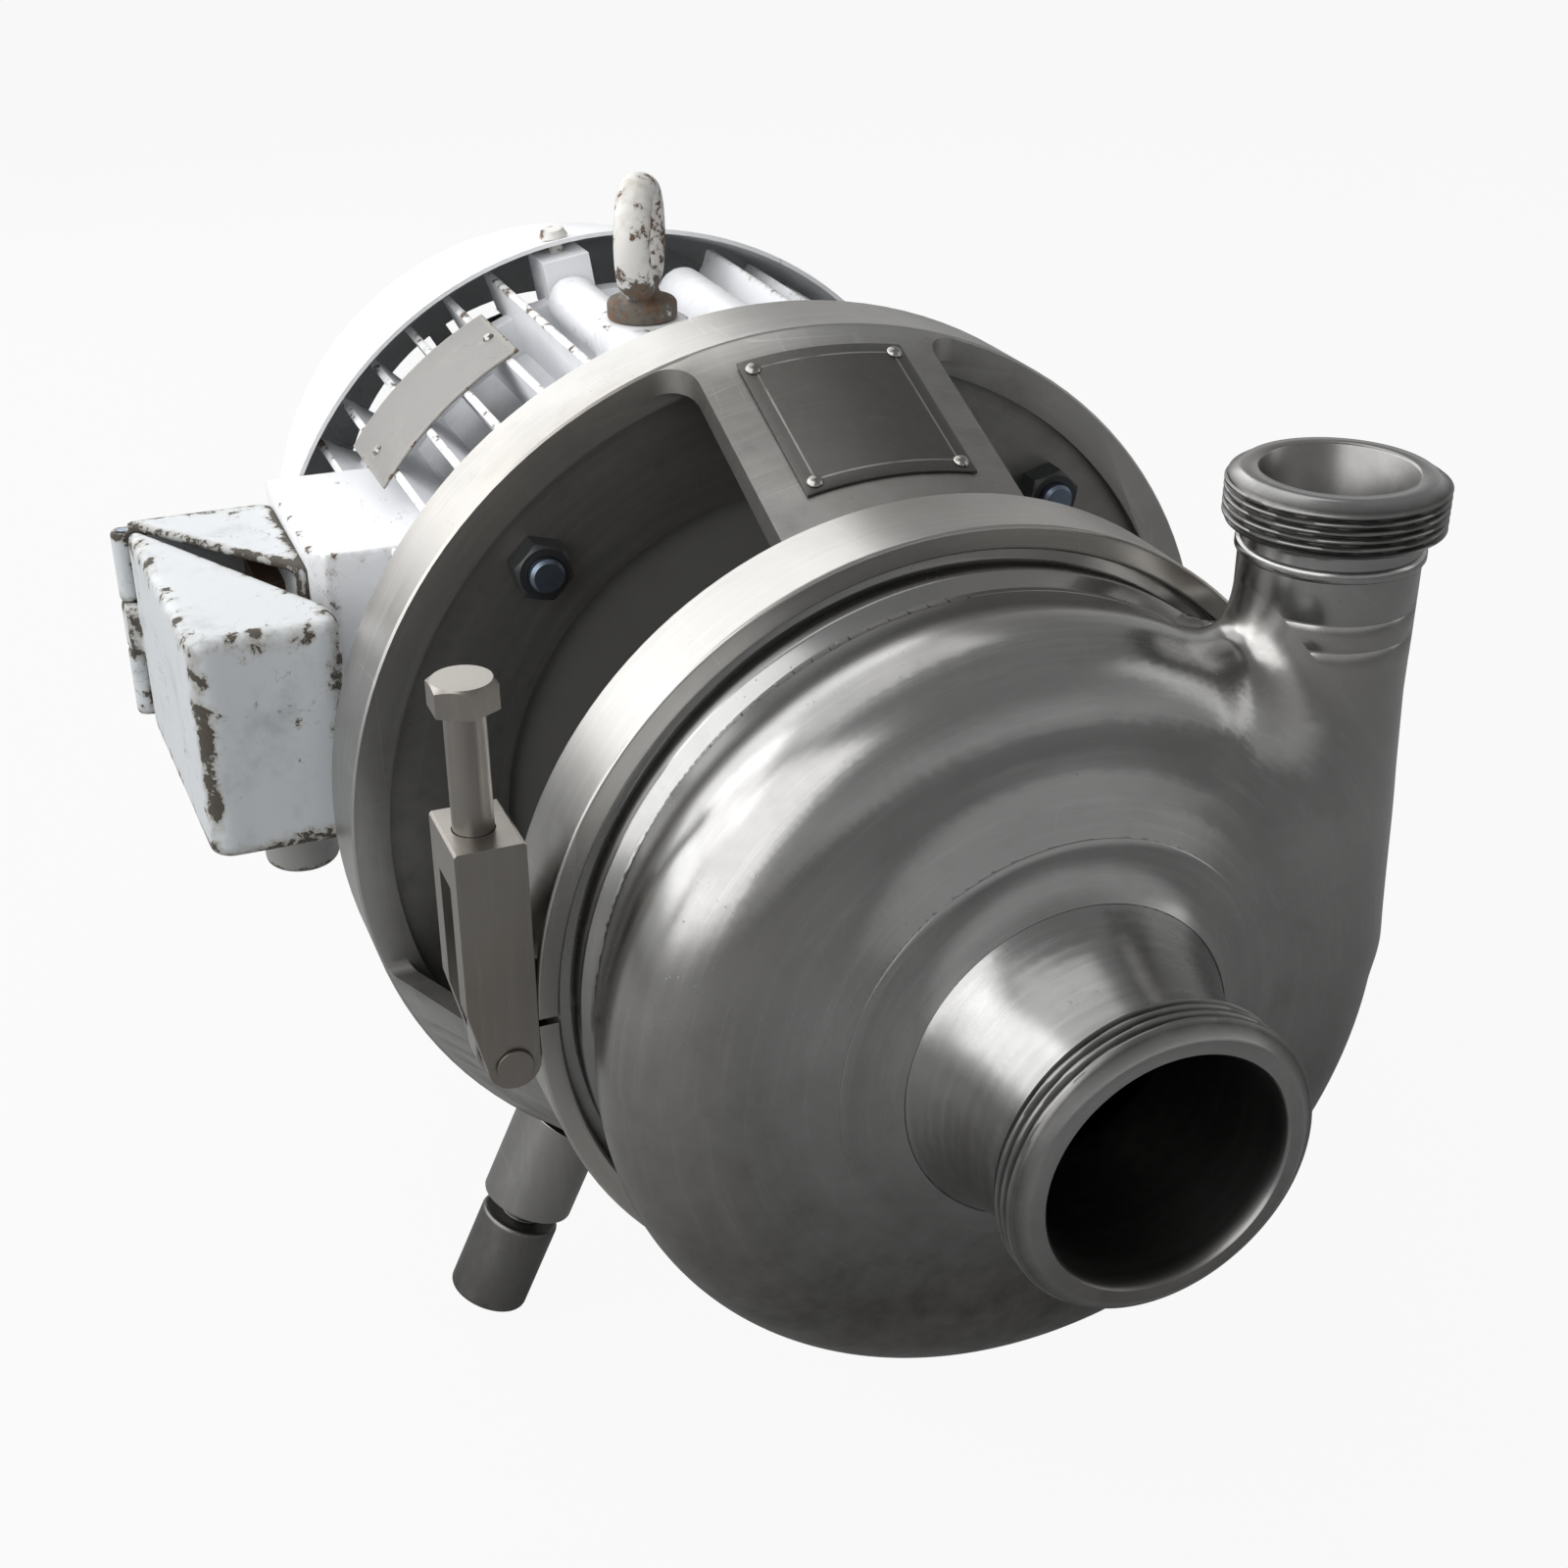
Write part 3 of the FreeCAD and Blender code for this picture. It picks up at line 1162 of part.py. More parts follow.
def motor_frame():
    """Finned frame with the terminal saddle, axial bosses, eyebolt pad and leg pad."""
    points = []
    root = FIN_ROOT_THICKNESS / 2
    tip = FIN_TIP_THICKNESS / 2
    previous = None
    for angle in fin_angles():
        if previous is not None and angle - previous > FIN_PITCH_ANGLE * 1.5:
            steps = int((angle - previous) / FIN_PITCH_ANGLE)
            for step in range(1, steps):
                bare = polar(FRAME_R, previous + (angle - previous) * step / steps)
                points.append((bare.x, bare.z))
        turn = math.radians(angle)
        out = Vec(math.cos(turn), math.sin(turn), 0)
        across = Vec(-math.sin(turn), math.cos(turn), 0)
        for corner in (out * FRAME_R - across * root, out * FIN_TIP_R - across * tip,
                       out * FIN_TIP_R + across * tip, out * FRAME_R + across * root):
            points.append((corner.x, corner.y))
        previous = angle
    frame = front_prism(points, FRAME_FRONT, FRAME_REAR)
    boss_front = FRAME_FRONT + BOSS_SETBACK
    boss_root = BOSS_R * SHARE_ARC_MIDDLE
    top_centre = 180.0 - math.degrees(math.atan2(EYE_PAD_TOP, -EYE_X))
    pieces = [frame]
    for side in (-1, 1):
        place = polar(BOSS_CIRCLE_R, top_centre + side * TOP_BOSS_ANGLE)
        pieces.append(along_y(BOSS_R, boss_front, FRAME_REAR, place.x, place.z))
        foot = block(FRAME_BORE_R + EDGE, BOSS_CIRCLE_R, boss_front, FRAME_REAR, -boss_root,
                     boss_root)
        pieces.append(about_shaft(foot, top_centre + side * TOP_BOSS_ANGLE))
    pieces.append(along_z(EYE_PAD_R, FRAME_BORE_R, EYE_PAD_TOP, EYE_X, EYE_Y))
    half_width = REAR_PAD_WIDTH / 2
    half_length = REAR_PAD_LENGTH / 2
    pieces.append(block(-half_width, half_width, REAR_LEG_Y - half_length,
                        REAR_LEG_Y + half_length, REAR_PAD_Z, -FRAME_BORE_R + FRAME_WALL))
    saddle = block(-BOX_IN_X, SADDLE_ROOT - FRAME_R, SADDLE_FRONT, SADDLE_REAR, SADDLE_BOTTOM,
                   SADDLE_TOP)
    pieces.append(saddle.cut(in_front_of_mouth(-SEAT)))
    frame = joined(pieces)
    frame = frame.cut(along_y(FRAME_BORE_R, FRAME_FRONT - EDGE, FRAME_REAR + EDGE))
    frame = frame.cut(along_z(EYE_SHANK_R + RUNNING_FIT,
                              EYE_PAD_TOP - EYE_SHANK_LENGTH - SEAT, EYE_PAD_TOP + EDGE,
                              EYE_X, EYE_Y))
    frame = frame.cut(along_z(LEG_STUD_R + SEAT, REAR_PAD_Z - EDGE,
                              REAR_PAD_Z + REAR_BORE_DEPTH, 0, REAR_LEG_Y))
    for place, out in rivet_places():
        frame = frame.cut(Part.makeCylinder(RIVET_R + RUNNING_FIT, RIVET_DEPTH + EDGE,
                                            place - out * RIVET_DEPTH, out))
    keep("motor_frame", single(frame))


def eyebolt():
    """Lifting eye on the frame's top pad. Its ring is turned a little from the shaft."""
    base = EYE_PAD_TOP + SEAT
    centre_z = EYE_COLLAR_TOP + EYE_RING_R + EYE_BAR_R - EYE_RING_SINK
    turn = math.radians(90 - EYE_TURN_ANGLE)
    axis = Vec(math.cos(turn), -math.sin(turn), 0)
    ring = Part.makeTorus(EYE_RING_R, EYE_BAR_R, Vec(EYE_X, EYE_Y, centre_z), axis)
    neck = Part.makeCone(EYE_NECK_LOW_R, EYE_NECK_TOP_R, EYE_BAR_R,
                         Vec(EYE_X, EYE_Y, EYE_COLLAR_TOP - EDGE), Vec(0, 0, 1))
    collar = along_z(EYE_COLLAR_R, base, EYE_COLLAR_TOP, EYE_X, EYE_Y)
    collar = collar.makeFillet(EYE_COLLAR_ROUND, [collar.Edges[0]])
    shank = along_z(EYE_SHANK_R, EYE_PAD_TOP - EYE_SHANK_LENGTH, base + EDGE, EYE_X, EYE_Y)
    keep("eyebolt", joined([ring, neck, collar, shank]))


def rivet_places():
    """Seats of the rating plate's rivets on the tips of two fins, with their direction."""
    inside = [a for a in fin_angles() if RATING_FROM_ANGLE < a < RATING_TO_ANGLE]
    places = []
    for angle in (inside[0], inside[-1]):
        places.append((polar(FIN_TIP_R, angle, RATING_Y + RATING_WIDTH / 2), polar(1.0, angle)))
    return places


def rating_plate():
    """Blank plate bent over the fins' tips, and its two rivets."""
    low = FIN_TIP_R + RUNNING_FIT
    high = low + RATING_SHEET
    first = RATING_FROM_ANGLE
    last = RATING_TO_ANGLE
    middle = (first + last) / 2
    corners = []
    for radius, angle in ((low, first), (low, middle), (low, last),
                          (high, last), (high, middle), (high, first)):
        point = polar(radius, angle)
        corners.append((point.x, point.z))
    sheet = front_prism([corners[0], (corners[1], corners[2]), corners[3],
                         (corners[4], corners[5])], RATING_Y, RATING_Y + RATING_WIDTH)
    rivets = []
    for place, out in rivet_places():
        sheet = sheet.cut(Part.makeCylinder(RIVET_R + RUNNING_FIT, RIVET_DEPTH * 2,
                                            place - out * RIVET_DEPTH, out))
        shank = Part.makeCylinder(RIVET_R, RIVET_DEPTH - EDGE + RATING_SHEET + SEAT,
                                  place - out * (RIVET_DEPTH - EDGE), out)
        head_at = place + out * (RATING_SHEET + SEAT / 2)
        head = Part.makeCone(RIVET_HEAD_R, RIVET_HEAD_TOP_R, RIVET_R, head_at, out)
        rivets.append(joined([shank, head]))
    keep("rating_plate", single(sheet))
    keep("rating_plate_rivets", group(rivets))


def front_shield():
    """Front end shield with the mounting flange and the seat of the front bearing."""
    seat_r = BEARING_OUTER_R + RUNNING_FIT
    register = FRAME_BORE_R - SEAT
    inner_y = FLANGE_REAR + EDGE
    shaft_hole_r = MOTOR_SHAFT_R + SHAFT_CLEARANCE
    hub_rear = FRONT_BEARING_Y + BEARING_WIDTH + SHAFT_CLEARANCE
    shield = turned([
        (shaft_hole_r, WEB_REAR - SPIGOT_HEIGHT),
        (SPIGOT_R, WEB_REAR - SPIGOT_HEIGHT),
        (SPIGOT_R, WEB_REAR),
        (RING_RECESS_R, WEB_REAR),
        (RING_RECESS_R, FLANGE_REAR),
        (SHIELD_SHOULDER_R + SHIELD_FILLET, FLANGE_REAR),
        (SHIELD_SHOULDER_R, FLANGE_REAR + SHIELD_FILLET),
        (SHIELD_SHOULDER_R - 2 * SHIELD_FILLET, FRAME_FRONT),
        (register, FRAME_FRONT),
        (register, FRAME_FRONT + REGISTER_DEPTH),
        (register - REGISTER_WALL, FRAME_FRONT + REGISTER_DEPTH),
        (register - REGISTER_WALL - SHIELD_FILLET, inner_y),
        (seat_r + SHIELD_HUB_WALL, inner_y),
        (seat_r + SHIELD_HUB_WALL, hub_rear),
        (seat_r, hub_rear),
        (seat_r, FRONT_BEARING_Y),
        (shaft_hole_r, FRONT_BEARING_Y),
    ])
    for place in stud_places():
        shield = shield.cut(along_y(STUD_R + RUNNING_FIT, WEB_REAR - EDGE,
                                    FLANGE_REAR + 3 * SHIELD_FILLET, place.x, place.z))
    keep("front_end_shield", single(shield))


def cowl_radius(y):
    """Outer radius of the cowl's tapered side."""
    return COWL_FRONT_R + (COWL_REAR_R - COWL_FRONT_R) * (y - COWL_FRONT) / COWL_LENGTH


def rear_shield():
    """Rear end shield with the seat of the rear bearing and the lugs of the cowl."""
    seat_r = BEARING_OUTER_R + RUNNING_FIT
    register = FRAME_BORE_R - SEAT
    disc_rear = FRAME_REAR + SHIELD_WALL
    hub_front = FRAME_REAR - SHIELD_FILLET
    hub_rear = REAR_BEARING_Y + BEARING_WIDTH + SHAFT_CLEARANCE
    disc_r = FRAME_R + SHIELD_DISC_OUT
    shaft_hole_r = MOTOR_SHAFT_R + SHAFT_CLEARANCE
    shield = turned([
        (seat_r, hub_front),
        (seat_r + SHIELD_HUB_WALL, hub_front),
        (seat_r + SHIELD_HUB_WALL, FRAME_REAR),
        (register - REGISTER_WALL, FRAME_REAR),
        (register - REGISTER_WALL, FRAME_REAR - REGISTER_DEPTH),
        (register, FRAME_REAR - REGISTER_DEPTH),
        (register, FRAME_REAR),
        (disc_r, FRAME_REAR),
        (disc_r, disc_rear),
        (seat_r + 2 * SHIELD_HUB_WALL, disc_rear),
        (seat_r + SHIELD_HUB_WALL, hub_rear + SHIELD_FILLET),
        (shaft_hole_r, hub_rear + SHIELD_FILLET),
        (shaft_hole_r, hub_rear),
        (seat_r, hub_rear),
    ])
    pieces = [shield]
    screws = []
    screw_y = COWL_FRONT + COWL_LUG_LENGTH / 2
    inner_r = cowl_radius(COWL_FRONT + COWL_LUG_LENGTH) - COWL_SHEET - 2 * SEAT - EDGE
    half = COWL_LUG_WIDTH / 2
    lug = block(disc_r - SHIELD_WALL / 2, inner_r, FRAME_REAR, COWL_FRONT + COWL_LUG_LENGTH,
                -half, half)
    for index in range(COWL_LUGS):
        pieces.append(about_shaft(lug, COWL_LUG_ANGLE + 360.0 / COWL_LUGS * index))
    shield = joined(pieces)
    for index in range(COWL_LUGS):
        angle = COWL_LUG_ANGLE + 360.0 / COWL_LUGS * index
        out = polar(1.0, angle)
        start = polar(disc_r, angle, screw_y)
        shield = shield.cut(Part.makeCylinder(COWL_SCREW_R + RUNNING_FIT, COWL_FRONT_R,
                                              start, out))
        head_r = cowl_radius(screw_y) + 2 * SEAT + EDGE
        shank = Part.makeCylinder(COWL_SCREW_R, head_r - disc_r,
                                  polar(disc_r + EDGE, angle, screw_y), out)
        head = Part.makeCone(COWL_SCREW_HEAD_R, COWL_SCREW_HEAD_R - COWL_SCREW_HEAD / 2,
                             COWL_SCREW_HEAD, polar(head_r, angle, screw_y), out)
        screws.append(joined([shank, head]))
    keep("rear_end_shield", single(shield))
    keep("cowl_screws", group(screws))


def fan_cowl():
    """Tapered sheet cowl with rings of air slots in its rear face."""
    sheet = COWL_SHEET
    bend_y = COWL_REAR - COWL_ROUND
    bend_r = cowl_radius(bend_y)
    inner_round = COWL_ROUND - sheet
    turn = SHARE_ARC_MIDDLE
    cowl = turned([
        (COWL_FRONT_R - sheet, COWL_FRONT),
        (COWL_FRONT_R, COWL_FRONT),
        (bend_r, bend_y),
        ((bend_r - COWL_ROUND * (1 - turn), bend_y + COWL_ROUND * turn),
         (bend_r - COWL_ROUND, COWL_REAR)),
        (0, COWL_REAR),
        (0, COWL_REAR - sheet),
        (bend_r - COWL_ROUND, COWL_REAR - sheet),
        ((bend_r - sheet - inner_round * (1 - turn), bend_y + inner_round * turn),
         (bend_r - sheet, bend_y)),
    ])
    for row in range(COWL_SLOT_ROWS):
        inner_r = COWL_SLOT_FIRST_R + COWL_SLOT_PITCH * row
        ring = along_y(inner_r + COWL_SLOT_WIDTH, COWL_REAR - sheet - EDGE, COWL_REAR + EDGE)
        ring = ring.cut(along_y(inner_r, COWL_REAR - sheet - EDGE, COWL_REAR + EDGE))
        for index in range(COWL_SPOKES // 2):
            spoke = block(-COWL_REAR_R, COWL_REAR_R, COWL_REAR - sheet - 2 * EDGE,
                          COWL_REAR + 2 * EDGE, -COWL_SPOKE_WIDTH / 2, COWL_SPOKE_WIDTH / 2)
            ring = ring.cut(about_shaft(spoke, 360.0 / COWL_SPOKES * index))
        cowl = cowl.cut(ring)
    screw_y = COWL_FRONT + COWL_LUG_LENGTH / 2
    for index in range(COWL_LUGS):
        angle = COWL_LUG_ANGLE + 360.0 / COWL_LUGS * index
        cowl = cowl.cut(Part.makeCylinder(COWL_SCREW_R + SEAT, COWL_FRONT_R,
                                          polar(FRAME_R, angle, screw_y), polar(1.0, angle)))
    keep("fan_cowl", single(cowl))


def fan():
    """Fan on the rear end of the motor shaft: a disc with straight radial blades."""
    bore = MOTOR_SHAFT_R - SHAFT_STEP + RUNNING_FIT
    hub = turned([
        (bore, FAN_FRONT),
        (FAN_HUB_R, FAN_FRONT),
        (FAN_HUB_R, FAN_FRONT + FAN_WIDTH - FAN_DISC),
        (FAN_R - FAN_DISC / 2, FAN_FRONT + FAN_WIDTH - FAN_DISC),
        (FAN_R, FAN_FRONT + FAN_WIDTH - FAN_DISC / 2),
        (FAN_R, FAN_FRONT + FAN_WIDTH),
        (bore, FAN_FRONT + FAN_WIDTH),
    ])
    pieces = [hub]
    half = FAN_BLADE_THICKNESS / 2
    for index in range(FAN_BLADES):
        blade = block(FAN_HUB_R - EDGE, FAN_R - FAN_BLADE_INSET, FAN_FRONT + FAN_BLADE_INSET,
                      FAN_FRONT + FAN_WIDTH - EDGE, -half, half)
        pieces.append(about_shaft(blade, 360.0 / FAN_BLADES * index))
    keep("fan", single(joined(pieces)))


def motor_inside():
    """Stator with its windings, rotor core on its shaft, and both bearings."""
    gap = FRAME_BORE_R - RUNNING_FIT
    inner_r = STATOR_BORE_R + WINDING_ROUND
    outer_r = STATOR_BORE_R + WINDING_WALL
    front = STATOR_FRONT - WINDING_OVERHANG
    rear = STATOR_REAR + WINDING_OVERHANG
    keep("stator", turned([
        (STATOR_BORE_R, STATOR_FRONT),
        (inner_r, front + WINDING_ROUND),
        (inner_r + WINDING_ROUND, front),
        (outer_r - WINDING_ROUND, front),
        (outer_r, front + WINDING_ROUND),
        (outer_r, STATOR_FRONT),
        (gap, STATOR_FRONT),
        (gap, STATOR_REAR),
        (outer_r, STATOR_REAR),
        (outer_r, rear - WINDING_ROUND),
        (outer_r - WINDING_ROUND, rear),
        (inner_r + WINDING_ROUND, rear),
        (inner_r, rear - WINDING_ROUND),
        (STATOR_BORE_R, STATOR_REAR),
    ]))
    bore = MOTOR_SHAFT_R + RUNNING_FIT
    rotor_r = STATOR_BORE_R - AIR_GAP
    keep("rotor_core", turned([
        (bore, STATOR_FRONT),
        (rotor_r, STATOR_FRONT),
        (rotor_r, STATOR_REAR),
        (bore, STATOR_REAR),
    ]))
    rear_r = MOTOR_SHAFT_R - SHAFT_STEP
    keep("motor_shaft", turned([
        (0, MOTOR_SHAFT_FRONT),
        (MOTOR_SHAFT_R - EDGE, MOTOR_SHAFT_FRONT),
        (MOTOR_SHAFT_R, MOTOR_SHAFT_FRONT + EDGE),
        (MOTOR_SHAFT_R, FAN_FRONT - RUNNING_FIT),
        (rear_r, FAN_FRONT - RUNNING_FIT),
        (rear_r, SHAFT_REAR + EDGE),
        (0, SHAFT_REAR + EDGE),
    ]))
    for name, start in (("front", FRONT_BEARING_Y), ("rear", REAR_BEARING_Y)):
        end = start + BEARING_WIDTH
        middle = start + BEARING_WIDTH / 2
        inner_top = bore + BEARING_RING
        outer_low = BEARING_OUTER_R - BEARING_RING
        circle = (inner_top + outer_low) / 2
        ball_r = (outer_low - inner_top) / 2 + BEARING_GROOVE
        groove = Part.makeTorus(circle, ball_r + RUNNING_FIT, Vec(0, middle, 0), Vec(0, 1, 0))
        outer = turned([(outer_low, start), (BEARING_OUTER_R, start), (BEARING_OUTER_R, end),
                        (outer_low, end)])
        inner = turned([(bore, start), (inner_top, start), (inner_top, end), (bore, end)])
        keep(name + "_bearing_outer", single(outer.cut(groove)))
        inner = inner.cut(groove)
        balls = []
        for index in range(BEARING_BALLS):
            ball = Part.makeSphere(ball_r)
            ball.translate(polar(circle, 360.0 / BEARING_BALLS * index, middle))
            balls.append(ball)
        keep(name + "_bearing_inner", group([single(inner)] + balls))


# Terminal box

def knuckle(bottom, top):
    """Hinge knuckle on the rear-outer edge of the terminal box."""
    return along_z(LID_KNUCKLE_R, bottom, top, -BOX_OUT_X, BOX_REAR)


def terminal_box():
    """Base of the terminal box on the saddle, its hinge pin and its cable entry's plug."""
    wall = BOX_WALL
    inner_x = -BOX_IN_X - RUNNING_FIT
    base_corners = [(-BOX_OUT_X, BOX_REAR), (inner_x, BOX_REAR), (inner_x, LID_FRONT),
                    (-BOX_OUT_X, LID_FRONT)]
    outer = plan_prism(rounded(base_corners, [BOX_ROUND] * 4), BOX_BOTTOM, BOX_TOP)
    inner = block(-BOX_OUT_X + wall, inner_x - wall, LID_FRONT - EDGE, BOX_REAR - wall,
                  BOX_BOTTOM + wall, BOX_TOP - wall)
    base = outer.cut(inner).cut(in_front_of_mouth(-SEAT))
    low_end = BOX_BOTTOM + wall
    high_end = BOX_TOP - wall
    clear = along_z(LID_KNUCKLE_R + SEAT, KNUCKLE_BOTTOM - SEAT, KNUCKLE_TOP + SEAT,
                    -BOX_OUT_X, BOX_REAR)
    base = joined([base, knuckle(low_end, KNUCKLE_BOTTOM - SEAT),
                   knuckle(KNUCKLE_TOP + SEAT, high_end)])
    base = base.cut(clear).cut(along_z(LID_PIN_R + RUNNING_FIT, BOX_BOTTOM - EDGE,
                                       BOX_TOP + EDGE, -BOX_OUT_X, BOX_REAR))
    base = base.cut(along_z(PLUG_THREAD_R + RUNNING_FIT, BOX_BOTTOM - EDGE,
                            low_end + EDGE, -PLUG_X, PLUG_Y))
    keep("terminal_box", single(base))
    keep("lid_hinge_pin", along_z(LID_PIN_R, low_end, high_end, -BOX_OUT_X, BOX_REAR))
    body_top = BOX_BOTTOM - PLUG_NECK_LENGTH
    head_top = body_top - PLUG_BODY_LENGTH
    neck = along_z(PLUG_THREAD_R, body_top - EDGE, low_end, -PLUG_X, PLUG_Y)
    body = along_z(PLUG_BODY_R, head_top - EDGE, body_top, -PLUG_X, PLUG_Y)
    head = along_z(PLUG_HEAD_R, head_top - PLUG_HEAD_LENGTH, head_top, -PLUG_X, PLUG_Y)
    rims = [edge for edge in head.Edges if edge.BoundBox.ZLength < EDGE]
    keep("box_plug", joined([neck, body, head.makeChamfer(PLUG_EDGE, rims)]))


def terminal_box_lid():
    """Deep lid of the terminal box, ajar at rest, with its hinge knuckle."""
    wall = BOX_WALL
    hinge = (-BOX_OUT_X, BOX_REAR)
    mouth_end = (-LID_FRONT_IN_X, LID_MOUTH_Y)
    front_in = (-LID_FRONT_IN_X, LID_FRONT)
    front_out = (-LID_FRONT_OUT_X, LID_FRONT)
    radii = [LID_MOUTH_ROUND, LID_MOUTH_ROUND, LID_ROUND, LID_ROUND]
    lid = plan_prism(rounded([hinge, mouth_end, front_in, front_out], radii),
                     BOX_BOTTOM, BOX_TOP)
    edges = []
    for edge in lid.Edges:
        box = edge.BoundBox
        level = box.ZLength < SEAT
        in_front = box.Center.y < LID_MOUTH_Y - LID_MOUTH_ROUND
        outer_side = box.XMax < EDGE - LID_FRONT_OUT_X and box.YLength > LID_SIDE
        if level and (in_front or outer_side):
            edges.append(edge)
    lid = lid.makeFillet(LID_EDGE_ROUND, edges)
    slope = (mouth_end[0] - hinge[0]) / (hinge[1] - mouth_end[1])
    hollow = plan_prism([
        (hinge[0] + wall, BOX_REAR - LID_ARM_LENGTH),
        (front_out[0] + wall, LID_FRONT + wall),
        (front_in[0] - wall, LID_FRONT + wall),
        (front_in[0] - wall, LID_MOUTH_Y + LID_SIDE),
        (hinge[0] + LID_SIDE, BOX_REAR),
    ], BOX_BOTTOM + wall, BOX_TOP - wall)
    lid = lid.cut(hollow)
    for bottom, top in ((BOX_BOTTOM - EDGE, KNUCKLE_BOTTOM), (KNUCKLE_TOP, BOX_TOP + EDGE)):
        lid = lid.cut(along_z(LID_KNUCKLE_R + SEAT, bottom, top, -BOX_OUT_X, BOX_REAR))
    arm_y = BOX_REAR - LID_ARM_LENGTH
    arm_out_x = -BOX_OUT_X - LID_KNUCKLE_R + EDGE
    arm = plan_prism([(arm_out_x, BOX_REAR), hinge,
                      (hinge[0] + slope * LID_ARM_LENGTH, arm_y), (arm_out_x, arm_y)],
                     KNUCKLE_BOTTOM, KNUCKLE_TOP)
    lid = joined([lid, arm, knuckle(KNUCKLE_BOTTOM, KNUCKLE_TOP)])
    lid = lid.cut(along_z(LID_PIN_R + RUNNING_FIT, BOX_BOTTOM - EDGE, BOX_TOP + EDGE,
                          -BOX_OUT_X, BOX_REAR))
    keep("terminal_box_lid", single(lid))


def terminal_board():
    """Board with six terminals on the back wall of the terminal box."""
    back = -BOX_IN_X - BOX_WALL - RUNNING_FIT
    front = back - BOARD_THICKNESS
    y0 = BOX_REAR - BOX_WALL - EDGE - BOARD_LENGTH
    middle_y = y0 + BOARD_LENGTH / 2
    board = block(front, back, y0, y0 + BOARD_LENGTH, BOX_MIDDLE - BOARD_HEIGHT / 2,
                  BOX_MIDDLE + BOARD_HEIGHT / 2)
    keep("terminal_board", board)
    studs = []
    for column in (-0.5, 0.5):
        for row in (-1, 0, 1):
            y = middle_y + TERMINAL_COLUMN_PITCH * column
            z = BOX_MIDDLE + TERMINAL_ROW_PITCH * row
            studs.append(Part.makeCylinder(TERMINAL_STUD_R, TERMINAL_STUD_OUT,
                                           Vec(front, y, z), Vec(-1, 0, 0)))
    keep("terminal_studs", group(studs))


def build():
    """Make every piece and write each to its own file."""
    casing()
    backplate()
    impeller()
    pump_shaft()
    clamp_ring()
    clamp_link()
    adaptor()
    name_plate()
    flange_fasteners()
    front_legs()
    rear_leg()
    motor_frame()
    eyebolt()
    rating_plate()
    front_shield()
    rear_shield()
    fan_cowl()
    fan()
    motor_inside()
    terminal_box()
    terminal_box_lid()
    terminal_board()
    os.makedirs("parts", exist_ok=True)
    for name, shape in NODES.items():
        shape.exportStep("parts/" + name + ".step")
        print(name, len(shape.Solids), round(shape.Volume / 1000.0, 1), "cm3", shape.isValid())


build()
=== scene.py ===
"""Looks of a sanitary centrifugal pump, built round its packed frame, in metres.

The frame is as in the record: the origin is the centre of the suction port's face, the
shaft lies along +Y towards the motor and the discharge port points along +Z.
"""
import json
import logging
import math
from dataclasses import dataclass
from enum import Enum
from typing import Callable, Iterable, Optional, Sequence, Union

import bmesh
import bpy
import numpy as np
from mathutils import Matrix, Vector
from mathutils.kdtree import KDTree

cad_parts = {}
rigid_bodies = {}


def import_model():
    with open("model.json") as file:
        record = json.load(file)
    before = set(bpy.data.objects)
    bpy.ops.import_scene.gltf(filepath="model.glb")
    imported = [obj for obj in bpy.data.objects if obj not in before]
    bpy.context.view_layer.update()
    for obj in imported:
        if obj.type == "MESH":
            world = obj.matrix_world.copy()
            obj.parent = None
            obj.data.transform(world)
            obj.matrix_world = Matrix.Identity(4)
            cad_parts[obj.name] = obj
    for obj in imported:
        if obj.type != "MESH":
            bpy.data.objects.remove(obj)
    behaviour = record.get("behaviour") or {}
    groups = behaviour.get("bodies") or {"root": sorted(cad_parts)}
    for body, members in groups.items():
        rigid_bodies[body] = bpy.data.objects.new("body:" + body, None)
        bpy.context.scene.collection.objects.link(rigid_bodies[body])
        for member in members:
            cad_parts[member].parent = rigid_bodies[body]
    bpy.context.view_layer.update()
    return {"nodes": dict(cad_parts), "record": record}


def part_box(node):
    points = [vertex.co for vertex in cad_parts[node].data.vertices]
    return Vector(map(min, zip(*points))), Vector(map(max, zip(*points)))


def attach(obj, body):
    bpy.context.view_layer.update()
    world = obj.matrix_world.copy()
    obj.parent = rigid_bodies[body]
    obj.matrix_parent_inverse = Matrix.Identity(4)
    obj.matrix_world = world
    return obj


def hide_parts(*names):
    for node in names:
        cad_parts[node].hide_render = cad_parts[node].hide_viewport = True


log = logging.getLogger("pump")

MM = 0.001
TAU = 2.0 * math.pi

Point2 = tuple[float, float]
Colour = tuple[float, float, float]
Number = Union[int, float]


# Shader expressions

